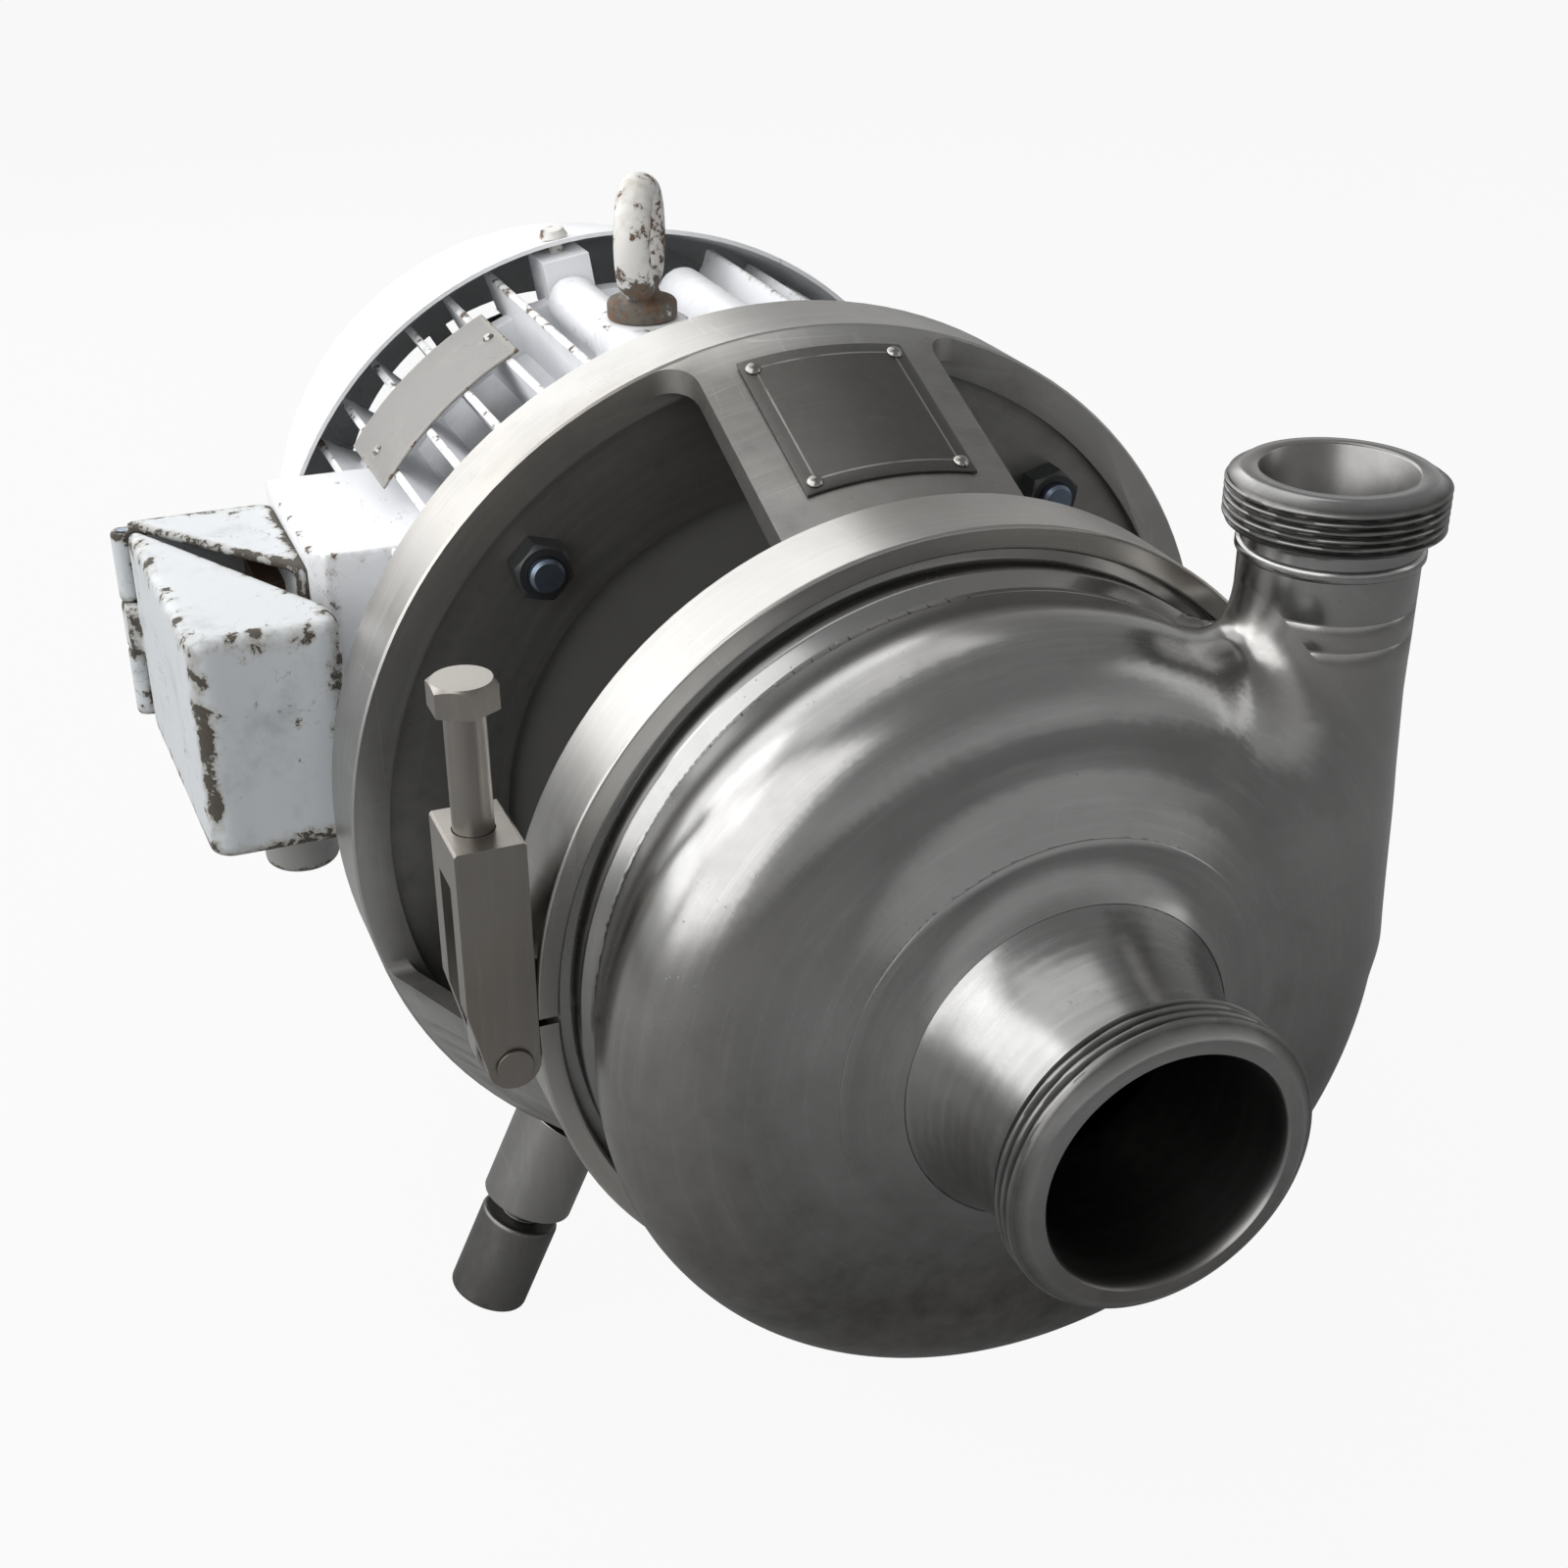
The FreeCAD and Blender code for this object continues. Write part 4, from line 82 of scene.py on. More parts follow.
class Channel:
    """Output socket of a shader node that can be used in sums, products and powers."""

    def __init__(self, tree: "ShaderTree", socket: bpy.types.NodeSocket) -> None:
        """Wrap a socket of a tree."""
        self.tree = tree
        self.socket = socket

    def _math(self, operation: str, *others: "Operand") -> "Channel":
        """Result of a Math node that starts with this value."""
        return self.tree.math(operation, self, *others)

    def __add__(self, other: "Operand") -> "Channel":
        """Sum of two values."""
        return self._math("ADD", other)

    __radd__ = __add__

    def __sub__(self, other: "Operand") -> "Channel":
        """Difference of two values."""
        return self._math("SUBTRACT", other)

    def __rsub__(self, other: "Operand") -> "Channel":
        """Difference of a number and this value."""
        return self.tree.math("SUBTRACT", other, self)

    def __mul__(self, other: "Operand") -> "Channel":
        """Product of two values."""
        return self._math("MULTIPLY", other)

    __rmul__ = __mul__

    def __pow__(self, other: "Operand") -> "Channel":
        """Power of two values."""
        return self._math("POWER", other)

    def clamped(self) -> "Channel":
        """This value, held between 0 and 1."""
        return self._math("MINIMUM", 1.0)._math("MAXIMUM", 0.0)

    def step(self, low: float, high: float) -> "Channel":
        """Smooth step of this value.

        Args:
            low: Value where the step starts.
            high: Value where the step ends. It may be the smaller of the two.

        Returns:
            A value from 0 to 1.
        """
        if low > high:
            return 1.0 - self.step(high, low)
        settings = {"interpolation_type": "SMOOTHSTEP"}
        inputs = {"Value": self, "From Min": low, "From Max": high}
        return self.tree.node("ShaderNodeMapRange", settings, inputs)["Result"]


Operand = Union[Channel, Number]


class Outputs:
    """Outputs of one shader node, found by name."""

    def __init__(self, tree: "ShaderTree", made: bpy.types.Node) -> None:
        """Wrap a node of a tree."""
        self.tree = tree
        self.made = made

    def __getitem__(self, name: str) -> Channel:
        """Find an output.

        Args:
            name: Name of an enabled output.

        Returns:
            The output.
        """
        for socket in self.made.outputs:
            if socket.name == name and socket.enabled:
                return Channel(self.tree, socket)
        raise KeyError(f"{self.made.bl_idname} has no output {name}")


class ShaderTree:
    """Node tree of one material, or of the world."""

    def __init__(self, name: str, world: bool = False) -> None:
        """Make an empty material or world.

        Args:
            name: Its name.
            world: Whether it is a world.
        """
        kinds = bpy.data.worlds if world else bpy.data.materials
        self.owner = kinds.new(name)
        self.owner.use_nodes = True
        self.nodes = self.owner.node_tree.nodes
        self.links = self.owner.node_tree.links
        self.nodes.clear()

    def node(self, kind: str, settings: Optional[dict] = None,
             inputs: Optional[dict] = None) -> Outputs:
        """Add any node.

        Args:
            kind: The node's type.
            settings: Its properties, set first.
            inputs: Values or channels for its sockets, by name or by index.

        Returns:
            The node's outputs.
        """
        made = self.nodes.new(kind)
        for key, value in (settings or {}).items():
            setattr(made, key, value)
        for key, value in (inputs or {}).items():
            socket = self._input(made, key)
            if isinstance(value, Channel):
                self.links.new(value.socket, socket)
            elif isinstance(value, tuple) and len(value) == 3 and socket.type == "RGBA":
                socket.default_value = (*value, 1.0)
            else:
                socket.default_value = value
        return Outputs(self, made)

    @staticmethod
    def _input(made: bpy.types.Node, key: Union[str, int]) -> bpy.types.NodeSocket:
        """Find an input.

        Args:
            made: The node.
            key: Its index, or the name of an enabled input.

        Returns:
            The input.
        """
        if isinstance(key, int):
            return made.inputs[key]
        for socket in made.inputs:
            if socket.name == key and socket.enabled:
                return socket
        raise KeyError(f"{made.bl_idname} has no input {key}")

    def math(self, operation: str, *values: Operand) -> Channel:
        """Result of a Math node, for an operation and its values in order."""
        inputs = dict(enumerate(values))
        return self.node("ShaderNodeMath", {"operation": operation}, inputs)["Value"]

    def vector_math(self, operation: str, *values: Union[Channel, tuple]) -> Outputs:
        """Add a Vector Math node and return its outputs."""
        inputs = dict(enumerate(values))
        return self.node("ShaderNodeVectorMath", {"operation": operation}, inputs)

    def place(self) -> Channel:
        """Object coordinates."""
        return self.node("ShaderNodeTexCoord")["Object"]

    def axes(self) -> tuple[Channel, Channel, Channel]:
        """The three object coordinates by themselves."""
        split = self.node("ShaderNodeSeparateXYZ", None, {0: self.place()})
        return split["X"], split["Y"], split["Z"]

    def combined(self, x: Operand, y: Operand, z: Operand) -> Channel:
        """Vector of three values."""
        return self.node("ShaderNodeCombineXYZ", None, {0: x, 1: y, 2: z})["Vector"]

    def attribute(self, name: str) -> Channel:
        """The piece's own attribute, as a number."""
        settings = {"attribute_type": "GEOMETRY", "attribute_name": name}
        return self.node("ShaderNodeAttribute", settings)["Fac"]

    def stretched(self, x: float, y: float, z: float) -> Channel:
        """Object coordinates, multiplied along each axis."""
        return self.vector_math("MULTIPLY", self.place(), (x, y, z))["Vector"]

    def noise(self, scale: float, detail: float = 4.0, rough: float = 0.55,
              where: Optional[Channel] = None, bend: float = 0.0) -> Channel:
        """Noise from 0 to 1.

        Args:
            scale: Number of cells per metre.
            detail: Number of octaves.
            rough: Weight of the finer octaves.
            where: Coordinates, or object coordinates if none are given.
            bend: Distortion.

        Returns:
            The noise.
        """
        inputs = {"Vector": where or self.place(), "Scale": scale, "Detail": detail,
                  "Roughness": rough, "Distortion": bend}
        return self.node("ShaderNodeTexNoise", None, inputs)["Fac"]

    def cells(self, scale: float) -> Channel:
        """Distance to the nearest point of a Voronoi pattern of that many cells per metre."""
        inputs = {"Vector": self.place(), "Scale": scale}
        return self.node("ShaderNodeTexVoronoi", None, inputs)["Distance"]

    def mix(self, factor: Operand, low: Union[Channel, Colour],
            high: Union[Channel, Colour]) -> Channel:
        """Mix of two colours, where the factor is the share of the second one."""
        inputs = {"Factor": factor, "A": low, "B": high}
        return self.node("ShaderNodeMix", {"data_type": "RGBA"}, inputs)["Result"]

    def bump(self, height: Channel, distance: float,
             normal: Optional[Channel] = None) -> Channel:
        """Normal of a bumped surface.

        Args:
            height: Height from 0 to 1.
            distance: Height in metres that 1 stands for.
            normal: Normal to start from.

        Returns:
            The bumped normal.
        """
        inputs = {"Height": height, "Distance": distance, "Strength": 1.0}
        if normal is not None:
            inputs["Normal"] = normal
        return self.node("ShaderNodeBump", None, inputs)["Normal"]

    def seen(self, direct: float = 1.0, mirrored: float = 1.0) -> Channel:
        """Share for rays that see the background.

        Args:
            direct: Share for the camera's own rays.
            mirrored: Share for rays by way of metal and glass.

        Returns:
            The share, which is 0 for all other rays.
        """
        path = self.node("ShaderNodeLightPath")
        through = path["Is Glossy Ray"] + path["Is Transmission Ray"]
        return (path["Is Camera Ray"] * direct + through * mirrored).clamped()

    def finish(self, **sockets: Union[Channel, Number, Colour]) -> bpy.types.Material:
        """Close the tree with a Principled shader.

        Args:
            sockets: Its inputs, with underscores in place of spaces.

        Returns:
            The material.
        """
        inputs = {key.replace("_", " "): value for key, value in sockets.items()}
        shader = self.node("ShaderNodeBsdfPrincipled", None, inputs)
        self.node("ShaderNodeOutputMaterial", None, {"Surface": shader["BSDF"]})
        return self.owner


# Finishes

# Patterns, in cells per metre, and how far grinding marks are stretched
FINE_MARKS = 1400.0
COARSE_MARKS = 240.0
STAIN_CLOUDS = 11.0
STAIN_SPOTS = 70.0
PIT_CELLS = 260.0
PIT_FIELDS = 34.0
WARM_PATCHES = 5.5
WAVE_CELLS = 20.0
HANDLED_PATCHES = 14.0
LAY_ALONG = 0.04
LAY_ROUND = 0.004
SCRATCH_RUNS = (((1.0, 0.05, 0.18), 60.0), ((0.06, 1.0, 0.30), 48.0))
PAINT_CLOUDS = 9.0
PAINT_CHIPS = 95.0
PAINT_GRAIN = 420.0
GRIME_SPOTS = 30.0
BRUSH_STROKES = 60.0
HAIR_CRACKS = 38.0
CRACK_FIELDS = 19.0
DIRT_SPOTS = 45.0
PLAIN_GRAIN = 900.0

# Colours that lie over or under more than one finish
# Dirt on threads, and painted shade in grooves, bores, the hollow, low on the casing and inside
# the adaptor's rim
SOIL_AND_SHADE = (0.035, 0.033, 0.03)
EDGE_GRIME = (0.30, 0.29, 0.255)
CHIP_RIM = (0.33, 0.30, 0.26)
BARE_SPECKS = (0.045, 0.042, 0.038)
TURNED_IRON = (0.30, 0.295, 0.29)


class Lay(Enum):
    """Way in which the grinding marks of a metal run."""

    ROUND = "round the shaft"
    ALONG_Z = "along Z"
    NONE = "no direction"


@dataclass(frozen=True)
class Steel:
    """Stainless steel with grinding marks, stains, scratches and small pits."""

    name: str
    colour: Colour
    rough: float
    lay: Lay = Lay.NONE
    dark: Colour = (0.20, 0.19, 0.18)
    stain: float = 0.35
    spread: float = 0.12
    marks: float = 0.00002
    pits: float = 0.3
    waves: float = 0.0
    warm: float = 0.25
    worn: float = 0.4

    def lay_place(self, tree: ShaderTree) -> Channel:
        """Coordinates that are stretched along the grinding marks.

        Args:
            tree: The material's tree.

        Returns:
            A vector for a noise.
        """
        if self.lay is Lay.NONE:
            return tree.place()
        if self.lay is Lay.ALONG_Z:
            return tree.stretched(1.0, 1.0, LAY_ALONG)
        x, y, z = tree.axes()
        radius = (x * x + z * z) ** 0.5
        turn = tree.math("ARCTAN2", z, x)
        return tree.combined(radius, y, turn * LAY_ROUND)

    def scratches(self, tree: ShaderTree) -> Channel:
        """Hairlines in two directions, where the metal has been handled.

        Args:
            tree: The material's tree.

        Returns:
            1 on a scratch, otherwise 0.
        """
        lines = []
        for stretch, scale in SCRATCH_RUNS:
            field = tree.noise(scale, 0.0, 0.5, tree.stretched(*stretch))
            away = tree.math("ABSOLUTE", field - 0.5)
            lines.append(away.step(0.008, 0.002))
        handled = tree.noise(HANDLED_PATCHES, 3.0, 0.6, bend=0.5).step(0.52, 0.64)
        return tree.math("MAXIMUM", lines[0], lines[1]) * handled

    def material(self) -> bpy.types.Material:
        """Build the material.

        Returns:
            The material.
        """
        tree = ShaderTree(self.name)
        lay = self.lay_place(tree)
        fine = tree.noise(FINE_MARKS, 3.0, 0.7, lay)
        coarse = tree.noise(COARSE_MARKS, 3.0, 0.6, lay)
        cloud = tree.noise(STAIN_CLOUDS, 5.0, 0.62)
        spot = tree.noise(STAIN_SPOTS, 4.0, 0.6)
        stain = (cloud.step(0.42, 0.72) * 0.7 + spot.step(0.55, 0.8) * 0.3) * self.stain
        pitted = tree.noise(PIT_FIELDS, 3.0).step(0.56, 0.66)
        pit = tree.cells(PIT_CELLS).step(0.16, 0.05) * pitted
        warm = tuple(part * tone for part, tone in zip(self.colour, (1.05, 0.90, 0.74)))
        patch = tree.noise(WARM_PATCHES, 3.0, 0.55, bend=0.6).step(0.45, 0.75)
        colour = tree.mix(patch * self.warm, self.colour, warm)
        colour = tree.mix((stain + pit * self.pits).clamped(), colour, self.dark)
        streak = (coarse - 0.5) * 0.8 + (fine - 0.5) * 0.5
        pale = tuple(min(1.0, part * 1.5) for part in self.colour)
        colour = tree.mix(streak.clamped(), colour, pale)
        scratch = self.scratches(tree) * self.worn
        colour = tree.mix(scratch, colour, pale)
        # This attribute darkens the metal: on the threads as dirt, and as painted shade in their
        # grooves, the bores, the hollow, towards the casing's bottom and inside the adaptor's
        # rim.
        soil = tree.attribute("soil") * (spot * 0.6 + 0.6)
        colour = tree.mix(soil.clamped(), colour, SOIL_AND_SHADE)
        rough = (self.rough + (cloud - 0.5) * self.spread + (coarse - 0.5) * 0.08
                 + pit * 0.2 + soil * 0.25).clamped()
        height = fine * 0.5 + coarse * 0.5 - pit * 2.0 * self.pits - scratch * 0.5
        normal = tree.bump(height, self.marks)
        if self.waves > 0.0:
            normal = tree.bump(tree.noise(WAVE_CELLS, 2.0, 0.5), self.waves, normal)
        return tree.finish(Base_Color=colour, Metallic=1.0, Roughness=rough, Normal=normal)


@dataclass(frozen=True)
class Paint:
    """Thick brush paint over cast iron, chipped down to primer and rust."""

    name: str
    colour: Colour
    shade: Colour
    chip: float = 0.5
    rust: float = 0.5
    rough: float = 0.42
    brush: float = 0.0005
    primer: Colour = (0.12, 0.105, 0.085)
    rust_colour: Colour = (0.15, 0.078, 0.040)
    grime: float = 0.5

    def material(self) -> bpy.types.Material:
        """Build the material.

        Returns:
            The material.
        """
        tree = ShaderTree(self.name)
        edge = tree.attribute("edge")
        cloud = tree.noise(PAINT_CLOUDS, 5.0, 0.6)
        ragged = tree.noise(PAINT_CHIPS, 6.0, 0.68)
        fine = tree.noise(PAINT_GRAIN, 4.0, 0.6)
        wear = (edge * 0.33 + (cloud - 0.5) * 0.45 + (ragged - 0.5) * 1.35
                + (0.5 + self.chip * 0.16))
        chip = wear.step(0.80, 0.845)
        rim = wear.step(0.74, 0.80)
        deep = (ragged + (cloud - 0.5) * 0.6).step(0.5, 0.62)
        grime = tree.noise(GRIME_SPOTS, 5.0, 0.65).step(0.50, 0.78)
        body = tree.mix(grime * self.grime, self.colour, self.shade)
        band = (edge * 0.60 + cloud * 0.9 + (ragged - 0.5) * 1.2).step(0.60, 1.0)
        body = tree.mix(band * self.grime * 0.85, body, EDGE_GRIME)
        hair = tree.math("ABSOLUTE", tree.noise(HAIR_CRACKS, 3.0, 0.6, bend=0.8) - 0.5)
        hair = hair.step(0.006, 0.001) * tree.noise(CRACK_FIELDS, 3.0).step(0.50, 0.62)
        body = tree.mix(hair * self.grime * 0.7, body, self.primer)
        body = tree.mix(rim * 0.45, body, CHIP_RIM)
        bare = tree.mix(deep * self.rust, self.primer, self.rust_colour)
        bare = tree.mix(fine.step(0.5, 0.66) * 0.5, bare, BARE_SPECKS)
        colour = tree.mix(chip, body, bare)
        strokes = tree.noise(BRUSH_STROKES, 3.0, 0.5, tree.stretched(1.0, 0.35, 1.0))
        height = strokes * 0.5 + cloud * 0.6 + fine * 0.05 - chip * 0.55
        normal = tree.bump(height, self.brush)
        rough = (self.rough + chip * 0.35 + (fine - 0.5) * 0.2).clamped()
        bare_face = tree.attribute("bare")
        colour = tree.mix(bare_face, colour, TURNED_IRON)
        return tree.finish(Base_Color=colour, Roughness=rough, Normal=normal,
                           Metallic=bare_face * 0.7)


@dataclass(frozen=True)
class Plain:
    """Plastic, rubber, oxide or bare metal with a little grain and dirt."""

    name: str
    colour: Colour
    dirt: Colour
    rough: float
    metallic: float = 0.0
    grain: float = 0.00004

    def material(self) -> bpy.types.Material:
        """Build the material.

        Returns:
            The material.
        """
        tree = ShaderTree(self.name)
        cloud = tree.noise(DIRT_SPOTS, 5.0, 0.6)
        fine = tree.noise(PLAIN_GRAIN, 3.0, 0.6)
        colour = tree.mix(cloud.step(0.45, 0.75) * 0.8, self.colour, self.dirt)
        rough = (self.rough + (cloud - 0.5) * 0.25).clamped()
        normal = tree.bump(fine + cloud, self.grain)
        return tree.finish(Base_Color=colour, Metallic=self.metallic, Roughness=rough,
                           Normal=normal)


Finish = Union[Steel, Paint, Plain]


class Finishes:
    """All finishes, each built once when it is first asked for."""

    POLISHED = Steel("polished_steel", (0.34, 0.339, 0.336), 0.25, Lay.ROUND,
                     dark=(0.09, 0.086, 0.08), waves=0.0004, worn=0.12, warm=0.2)
    MACHINED = Steel("machined_steel", (0.24, 0.237, 0.232), 0.27, Lay.ROUND,
                     dark=(0.08, 0.078, 0.073))
    CAST = Steel("cast_steel", (0.30, 0.30, 0.296), 0.45, dark=(0.07, 0.068, 0.064))
    BRUSHED = Steel("brushed_steel", (0.42, 0.414, 0.40), 0.30, Lay.ROUND,
                    dark=(0.14, 0.135, 0.125))
    SATIN = Steel("satin_steel", (0.27, 0.255, 0.235), 0.36, Lay.ALONG_Z,
                  dark=(0.12, 0.11, 0.10), stain=0.25)
    LANTERN = Steel("lantern_steel", (0.42, 0.416, 0.405), 0.38, Lay.ROUND,
                    dark=(0.07, 0.068, 0.063), waves=0.0002)
    PLATE = Steel("plate_steel", (0.12, 0.118, 0.114), 0.40,
                  dark=(0.07, 0.068, 0.064), stain=0.4, pits=0.1, worn=0.15)
    SCRIBED = Plain("scribed_line", (0.30, 0.295, 0.285), (0.10, 0.095, 0.09), 0.4, 0.9)
    SCREW = Steel("bright_screw", (0.30, 0.295, 0.285), 0.24, dark=(0.12, 0.11, 0.10))
    BOSS = Steel("boss_steel", (0.30, 0.297, 0.29), 0.33, Lay.ALONG_Z,
                 dark=(0.12, 0.115, 0.105))
    FOOT = Steel("foot_steel", (0.16, 0.158, 0.153), 0.40, Lay.ALONG_Z,
                 dark=(0.05, 0.047, 0.043), stain=0.8)
    ZINC = Plain("zinc_steel", (0.17, 0.21, 0.27), (0.07, 0.075, 0.085), 0.42, 1.0)
    OXIDE = Plain("black_steel", (0.045, 0.050, 0.055), (0.06, 0.05, 0.04), 0.40, 0.6)
    WHITE = Paint("white_paint", (0.84, 0.85, 0.87), (0.60, 0.61, 0.62), 0.0, 0.4)
    COWL = Paint("cowl_paint", (0.86, 0.87, 0.88), (0.68, 0.70, 0.72), -0.4, 0.3)
    BOX = Paint("box_paint", (0.56, 0.585, 0.605), (0.38, 0.41, 0.43), 0.3, 0.30,
                primer=(0.065, 0.060, 0.050), rust_colour=(0.085, 0.055, 0.034), grime=0.95)
    EYE = Paint("eye_paint", (0.70, 0.69, 0.66), (0.38, 0.34, 0.28), 1.2, 0.9, grime=0.9)
    RATING = Paint("rating_metal", (0.22, 0.214, 0.205), (0.30, 0.29, 0.27), -0.6, 0.5, 0.5,
                   0.0002, grime=0.6)
    PLUG = Paint("plug_paint", (0.26, 0.26, 0.25), (0.12, 0.12, 0.115), 0.3, 0.3)
    FAN = Plain("fan_plastic", (0.03, 0.03, 0.03), (0.08, 0.075, 0.07), 0.55)
    WINDING = Plain("winding", (0.28, 0.12, 0.05), (0.10, 0.06, 0.04), 0.40)
    CORE = Plain("rotor_metal", (0.22, 0.22, 0.225), (0.12, 0.10, 0.085), 0.45, 1.0)
    BEARING = Steel("bearing_steel", (0.42, 0.42, 0.43), 0.18, Lay.ROUND, stain=0.1)
    RUBBER = Plain("rubber", (0.02, 0.02, 0.02), (0.05, 0.045, 0.04), 0.60)
    CARBON = Plain("seal_ceramic", (0.05, 0.05, 0.055), (0.10, 0.10, 0.10), 0.30)
    BOARD = Plain("board_plastic", (0.10, 0.055, 0.03), (0.05, 0.03, 0.02), 0.45)
    BRASS = Plain("brass", (0.55, 0.37, 0.13), (0.25, 0.16, 0.07), 0.35, 1.0)

    def __init__(self) -> None:
        """Start with no material built."""
        self._made: dict[str, bpy.types.Material] = {}

    def material(self, finish: Finish) -> bpy.types.Material:
        """The material of a finish.

        Args:
            finish: One of the finishes above, or another of their kinds.

        Returns:
            The material.
        """
        if finish.name not in self._made:
            self._made[finish.name] = finish.material()
        return self._made[finish.name]

    def for_slot(self, slot: str) -> bpy.types.Material:
        """The material of the finish that has a slot's name.

        Args:
            slot: The slot.

        Returns:
            The material.
        """
        for value in vars(Finishes).values():
            if isinstance(value, (Steel, Paint, Plain)) and value.name == slot:
                return self.material(value)
        raise KeyError(slot)


# Meshes

# Angles in degrees from which an edge stays sharp and from which paint wears off it, and
# up to which faces count as one. Lengths in millimetres: between points that stand for a
# worn edge, and between corners that are one.
SHARP = 32.0
WORN = 35.0
FLAT = 0.5
EDGE_SAMPLE = 1.5
SAME_PLACE = 0.01


def linked(name: str, mesh: bpy.types.Mesh) -> bpy.types.Object:
    """Make an object and link it to the scene.

    Args:
        name: Its name.
        mesh: Its mesh.

    Returns:
        The object.
    """
    made = bpy.data.objects.new(name, mesh)
    bpy.context.scene.collection.objects.link(made)
    return made


def solid(name: str, points: Iterable, faces: Iterable) -> bpy.types.Object:
    """Make an object with outward normals from points in millimetres.

    Args:
        name: Name of the object and its mesh.
        points: Its vertices.
        faces: Its faces, as lists of vertex numbers.

    Returns:
        The object.
    """
    mesh = bpy.data.meshes.new(name)
    scaled = (np.asarray(points, dtype=float) * MM).tolist()
    mesh.from_pydata(scaled, [], [tuple(int(i) for i in face) for face in faces])
    work = bmesh.new()
    work.from_mesh(mesh)
    bmesh.ops.recalc_face_normals(work, faces=work.faces)
    work.to_mesh(mesh)
    work.free()
    return linked(name, mesh)


def crisp(piece: bpy.types.Object, degrees: float = SHARP) -> bpy.types.Object:
    """Shade a piece smoothly, all but its sharp edges.

    Args:
        piece: The piece.
        degrees: Angle from which an edge stays sharp.

    Returns:
        The same piece.
    """
    piece.data.shade_smooth()
    piece.data.set_sharp_from_angle(angle=math.radians(degrees))
    return piece


def bevelled(piece: bpy.types.Object, width: float, segments: int = 2,
             degrees: float = SHARP) -> bpy.types.Object:
    """Round a piece's sharp edges.

    Args:
        piece: The piece, whose mesh is replaced.
        width: Width of the rounding in millimetres.
        segments: Number of faces across it.
        degrees: Angle from which an edge counts as sharp.

    Returns:
        The piece.
    """
    edge = piece.modifiers.new("bevel", "BEVEL")
    edge.width = width * MM
    edge.segments = segments
    edge.limit_method = "ANGLE"
    edge.angle_limit = math.radians(degrees)
    return frozen(piece)


def frozen(piece: bpy.types.Object) -> bpy.types.Object:
    """Put a piece's modifiers into its mesh and remove them.

    Args:
        piece: The piece.

    Returns:
        The same piece.
    """
    graph = bpy.context.evaluated_depsgraph_get()
    mesh = bpy.data.meshes.new_from_object(piece.evaluated_get(graph))
    piece.modifiers.clear()
    old = piece.data
    piece.data = mesh
    mesh.name = old.name
    bpy.data.meshes.remove(old)
    return piece


def merged(name: str, node: bpy.types.Object) -> bpy.types.Object:
    """Copy a frame node with its seams closed and its flat faces in one piece.

    Args:
        name: Name of the copy.
        node: The node, which stays as it is.

    Returns:
        The copy.
    """
    work = bmesh.new()
    work.from_mesh(node.data)
    bmesh.ops.remove_doubles(work, verts=work.verts, dist=SAME_PLACE * MM)
    bmesh.ops.dissolve_limit(work, angle_limit=math.radians(FLAT), verts=work.verts,
                             edges=work.edges, delimit=set())
    bmesh.ops.recalc_face_normals(work, faces=work.faces)
    mesh = bpy.data.meshes.new(name)
    work.to_mesh(mesh)
    work.free()
    return linked(name, mesh)


def joined(name: str, pieces: Sequence[bpy.types.Object]) -> bpy.types.Object:
    """Join pieces into one object.

    Args:
        name: Name of the whole.
        pieces: The pieces, which are used up.

    Returns:
        The whole.
    """
    work = bmesh.new()
    for piece in pieces:
        work.from_mesh(piece.data)
    mesh = bpy.data.meshes.new(name)
    work.to_mesh(mesh)
    work.free()
    for piece in pieces:
        bpy.data.objects.remove(piece)
    return linked(name, mesh)


def lathe(name: str, profile: Sequence[Point2], upright: bool = False,
          centre: Point2 = (0.0, 0.0), turns: int = 128,
          radius_at: Optional[Callable] = None) -> bpy.types.Object:
    """Turn a closed profile about the shaft or about an upright axis.

    Args:
        name: Name of the piece.
        profile: Points as (radius, place along the axis), in order.
        upright: Whether the axis is upright.
        centre: Where the axis lies, as (x, z) or, if upright, (x, y).
        turns: Number of steps round the axis.
        radius_at: Function of (radius, place, angle) that gives the true radius.

    Returns:
        The piece.
    """
    rows = np.asarray(profile, dtype=float)
    angle = np.arange(turns) * TAU / turns
    radius, turn = np.meshgrid(rows[:, 0], angle, indexing="ij")
    along = np.repeat(rows[:, 1:2], turns, axis=1)
    if radius_at is not None:
        radius = radius_at(radius, along, turn)
    first = centre[0] + radius * np.cos(turn)
    second = centre[1] + radius * np.sin(turn)
    order = (first, second, along) if upright else (first, along, second)
    points = np.stack(order, axis=-1).reshape(-1, 3)
    count = len(rows)
    faces = []
    for row in range(count):
        below = row * turns
        above = (row + 1) % count * turns
        for step in range(turns):
            ahead = (step + 1) % turns
            faces.append((below + step, below + ahead, above + ahead, above + step))
    return solid(name, points, faces)


def prism(name: str, corners: Sequence[Point2], bottom: float,
          top: float) -> bpy.types.Object:
    """Upright prism on an outline.

    Args:
        name: Its name.
        corners: The outline's corners, as (x, y).
        bottom: Height of its lower face.
        top: Height of its upper face.

    Returns:
        The prism.
    """
    count = len(corners)
    points = [(x, y, bottom) for x, y in corners] + [(x, y, top) for x, y in corners]
    faces = [list(range(count)), list(range(count, 2 * count))]
    for index in range(count):
        ahead = (index + 1) % count
        faces.append([index, ahead, ahead + count, index + count])
    return solid(name, points, faces)


def arc(centre: Point2, radius: float, start: float, end: float,
        steps: int = 12) -> list[Point2]:
    """Points on an arc.

    Args:
        centre: The arc's centre.
        radius: Its radius.
        start: Angle of its first point in degrees.
        end: Angle of its last point.
        steps: Number of pieces.

    Returns:
        The points, both ends included.
    """
    angles = np.radians(np.linspace(start, end, steps + 1))
    return [(centre[0] + radius * math.cos(a), centre[1] + radius * math.sin(a))
            for a in angles]


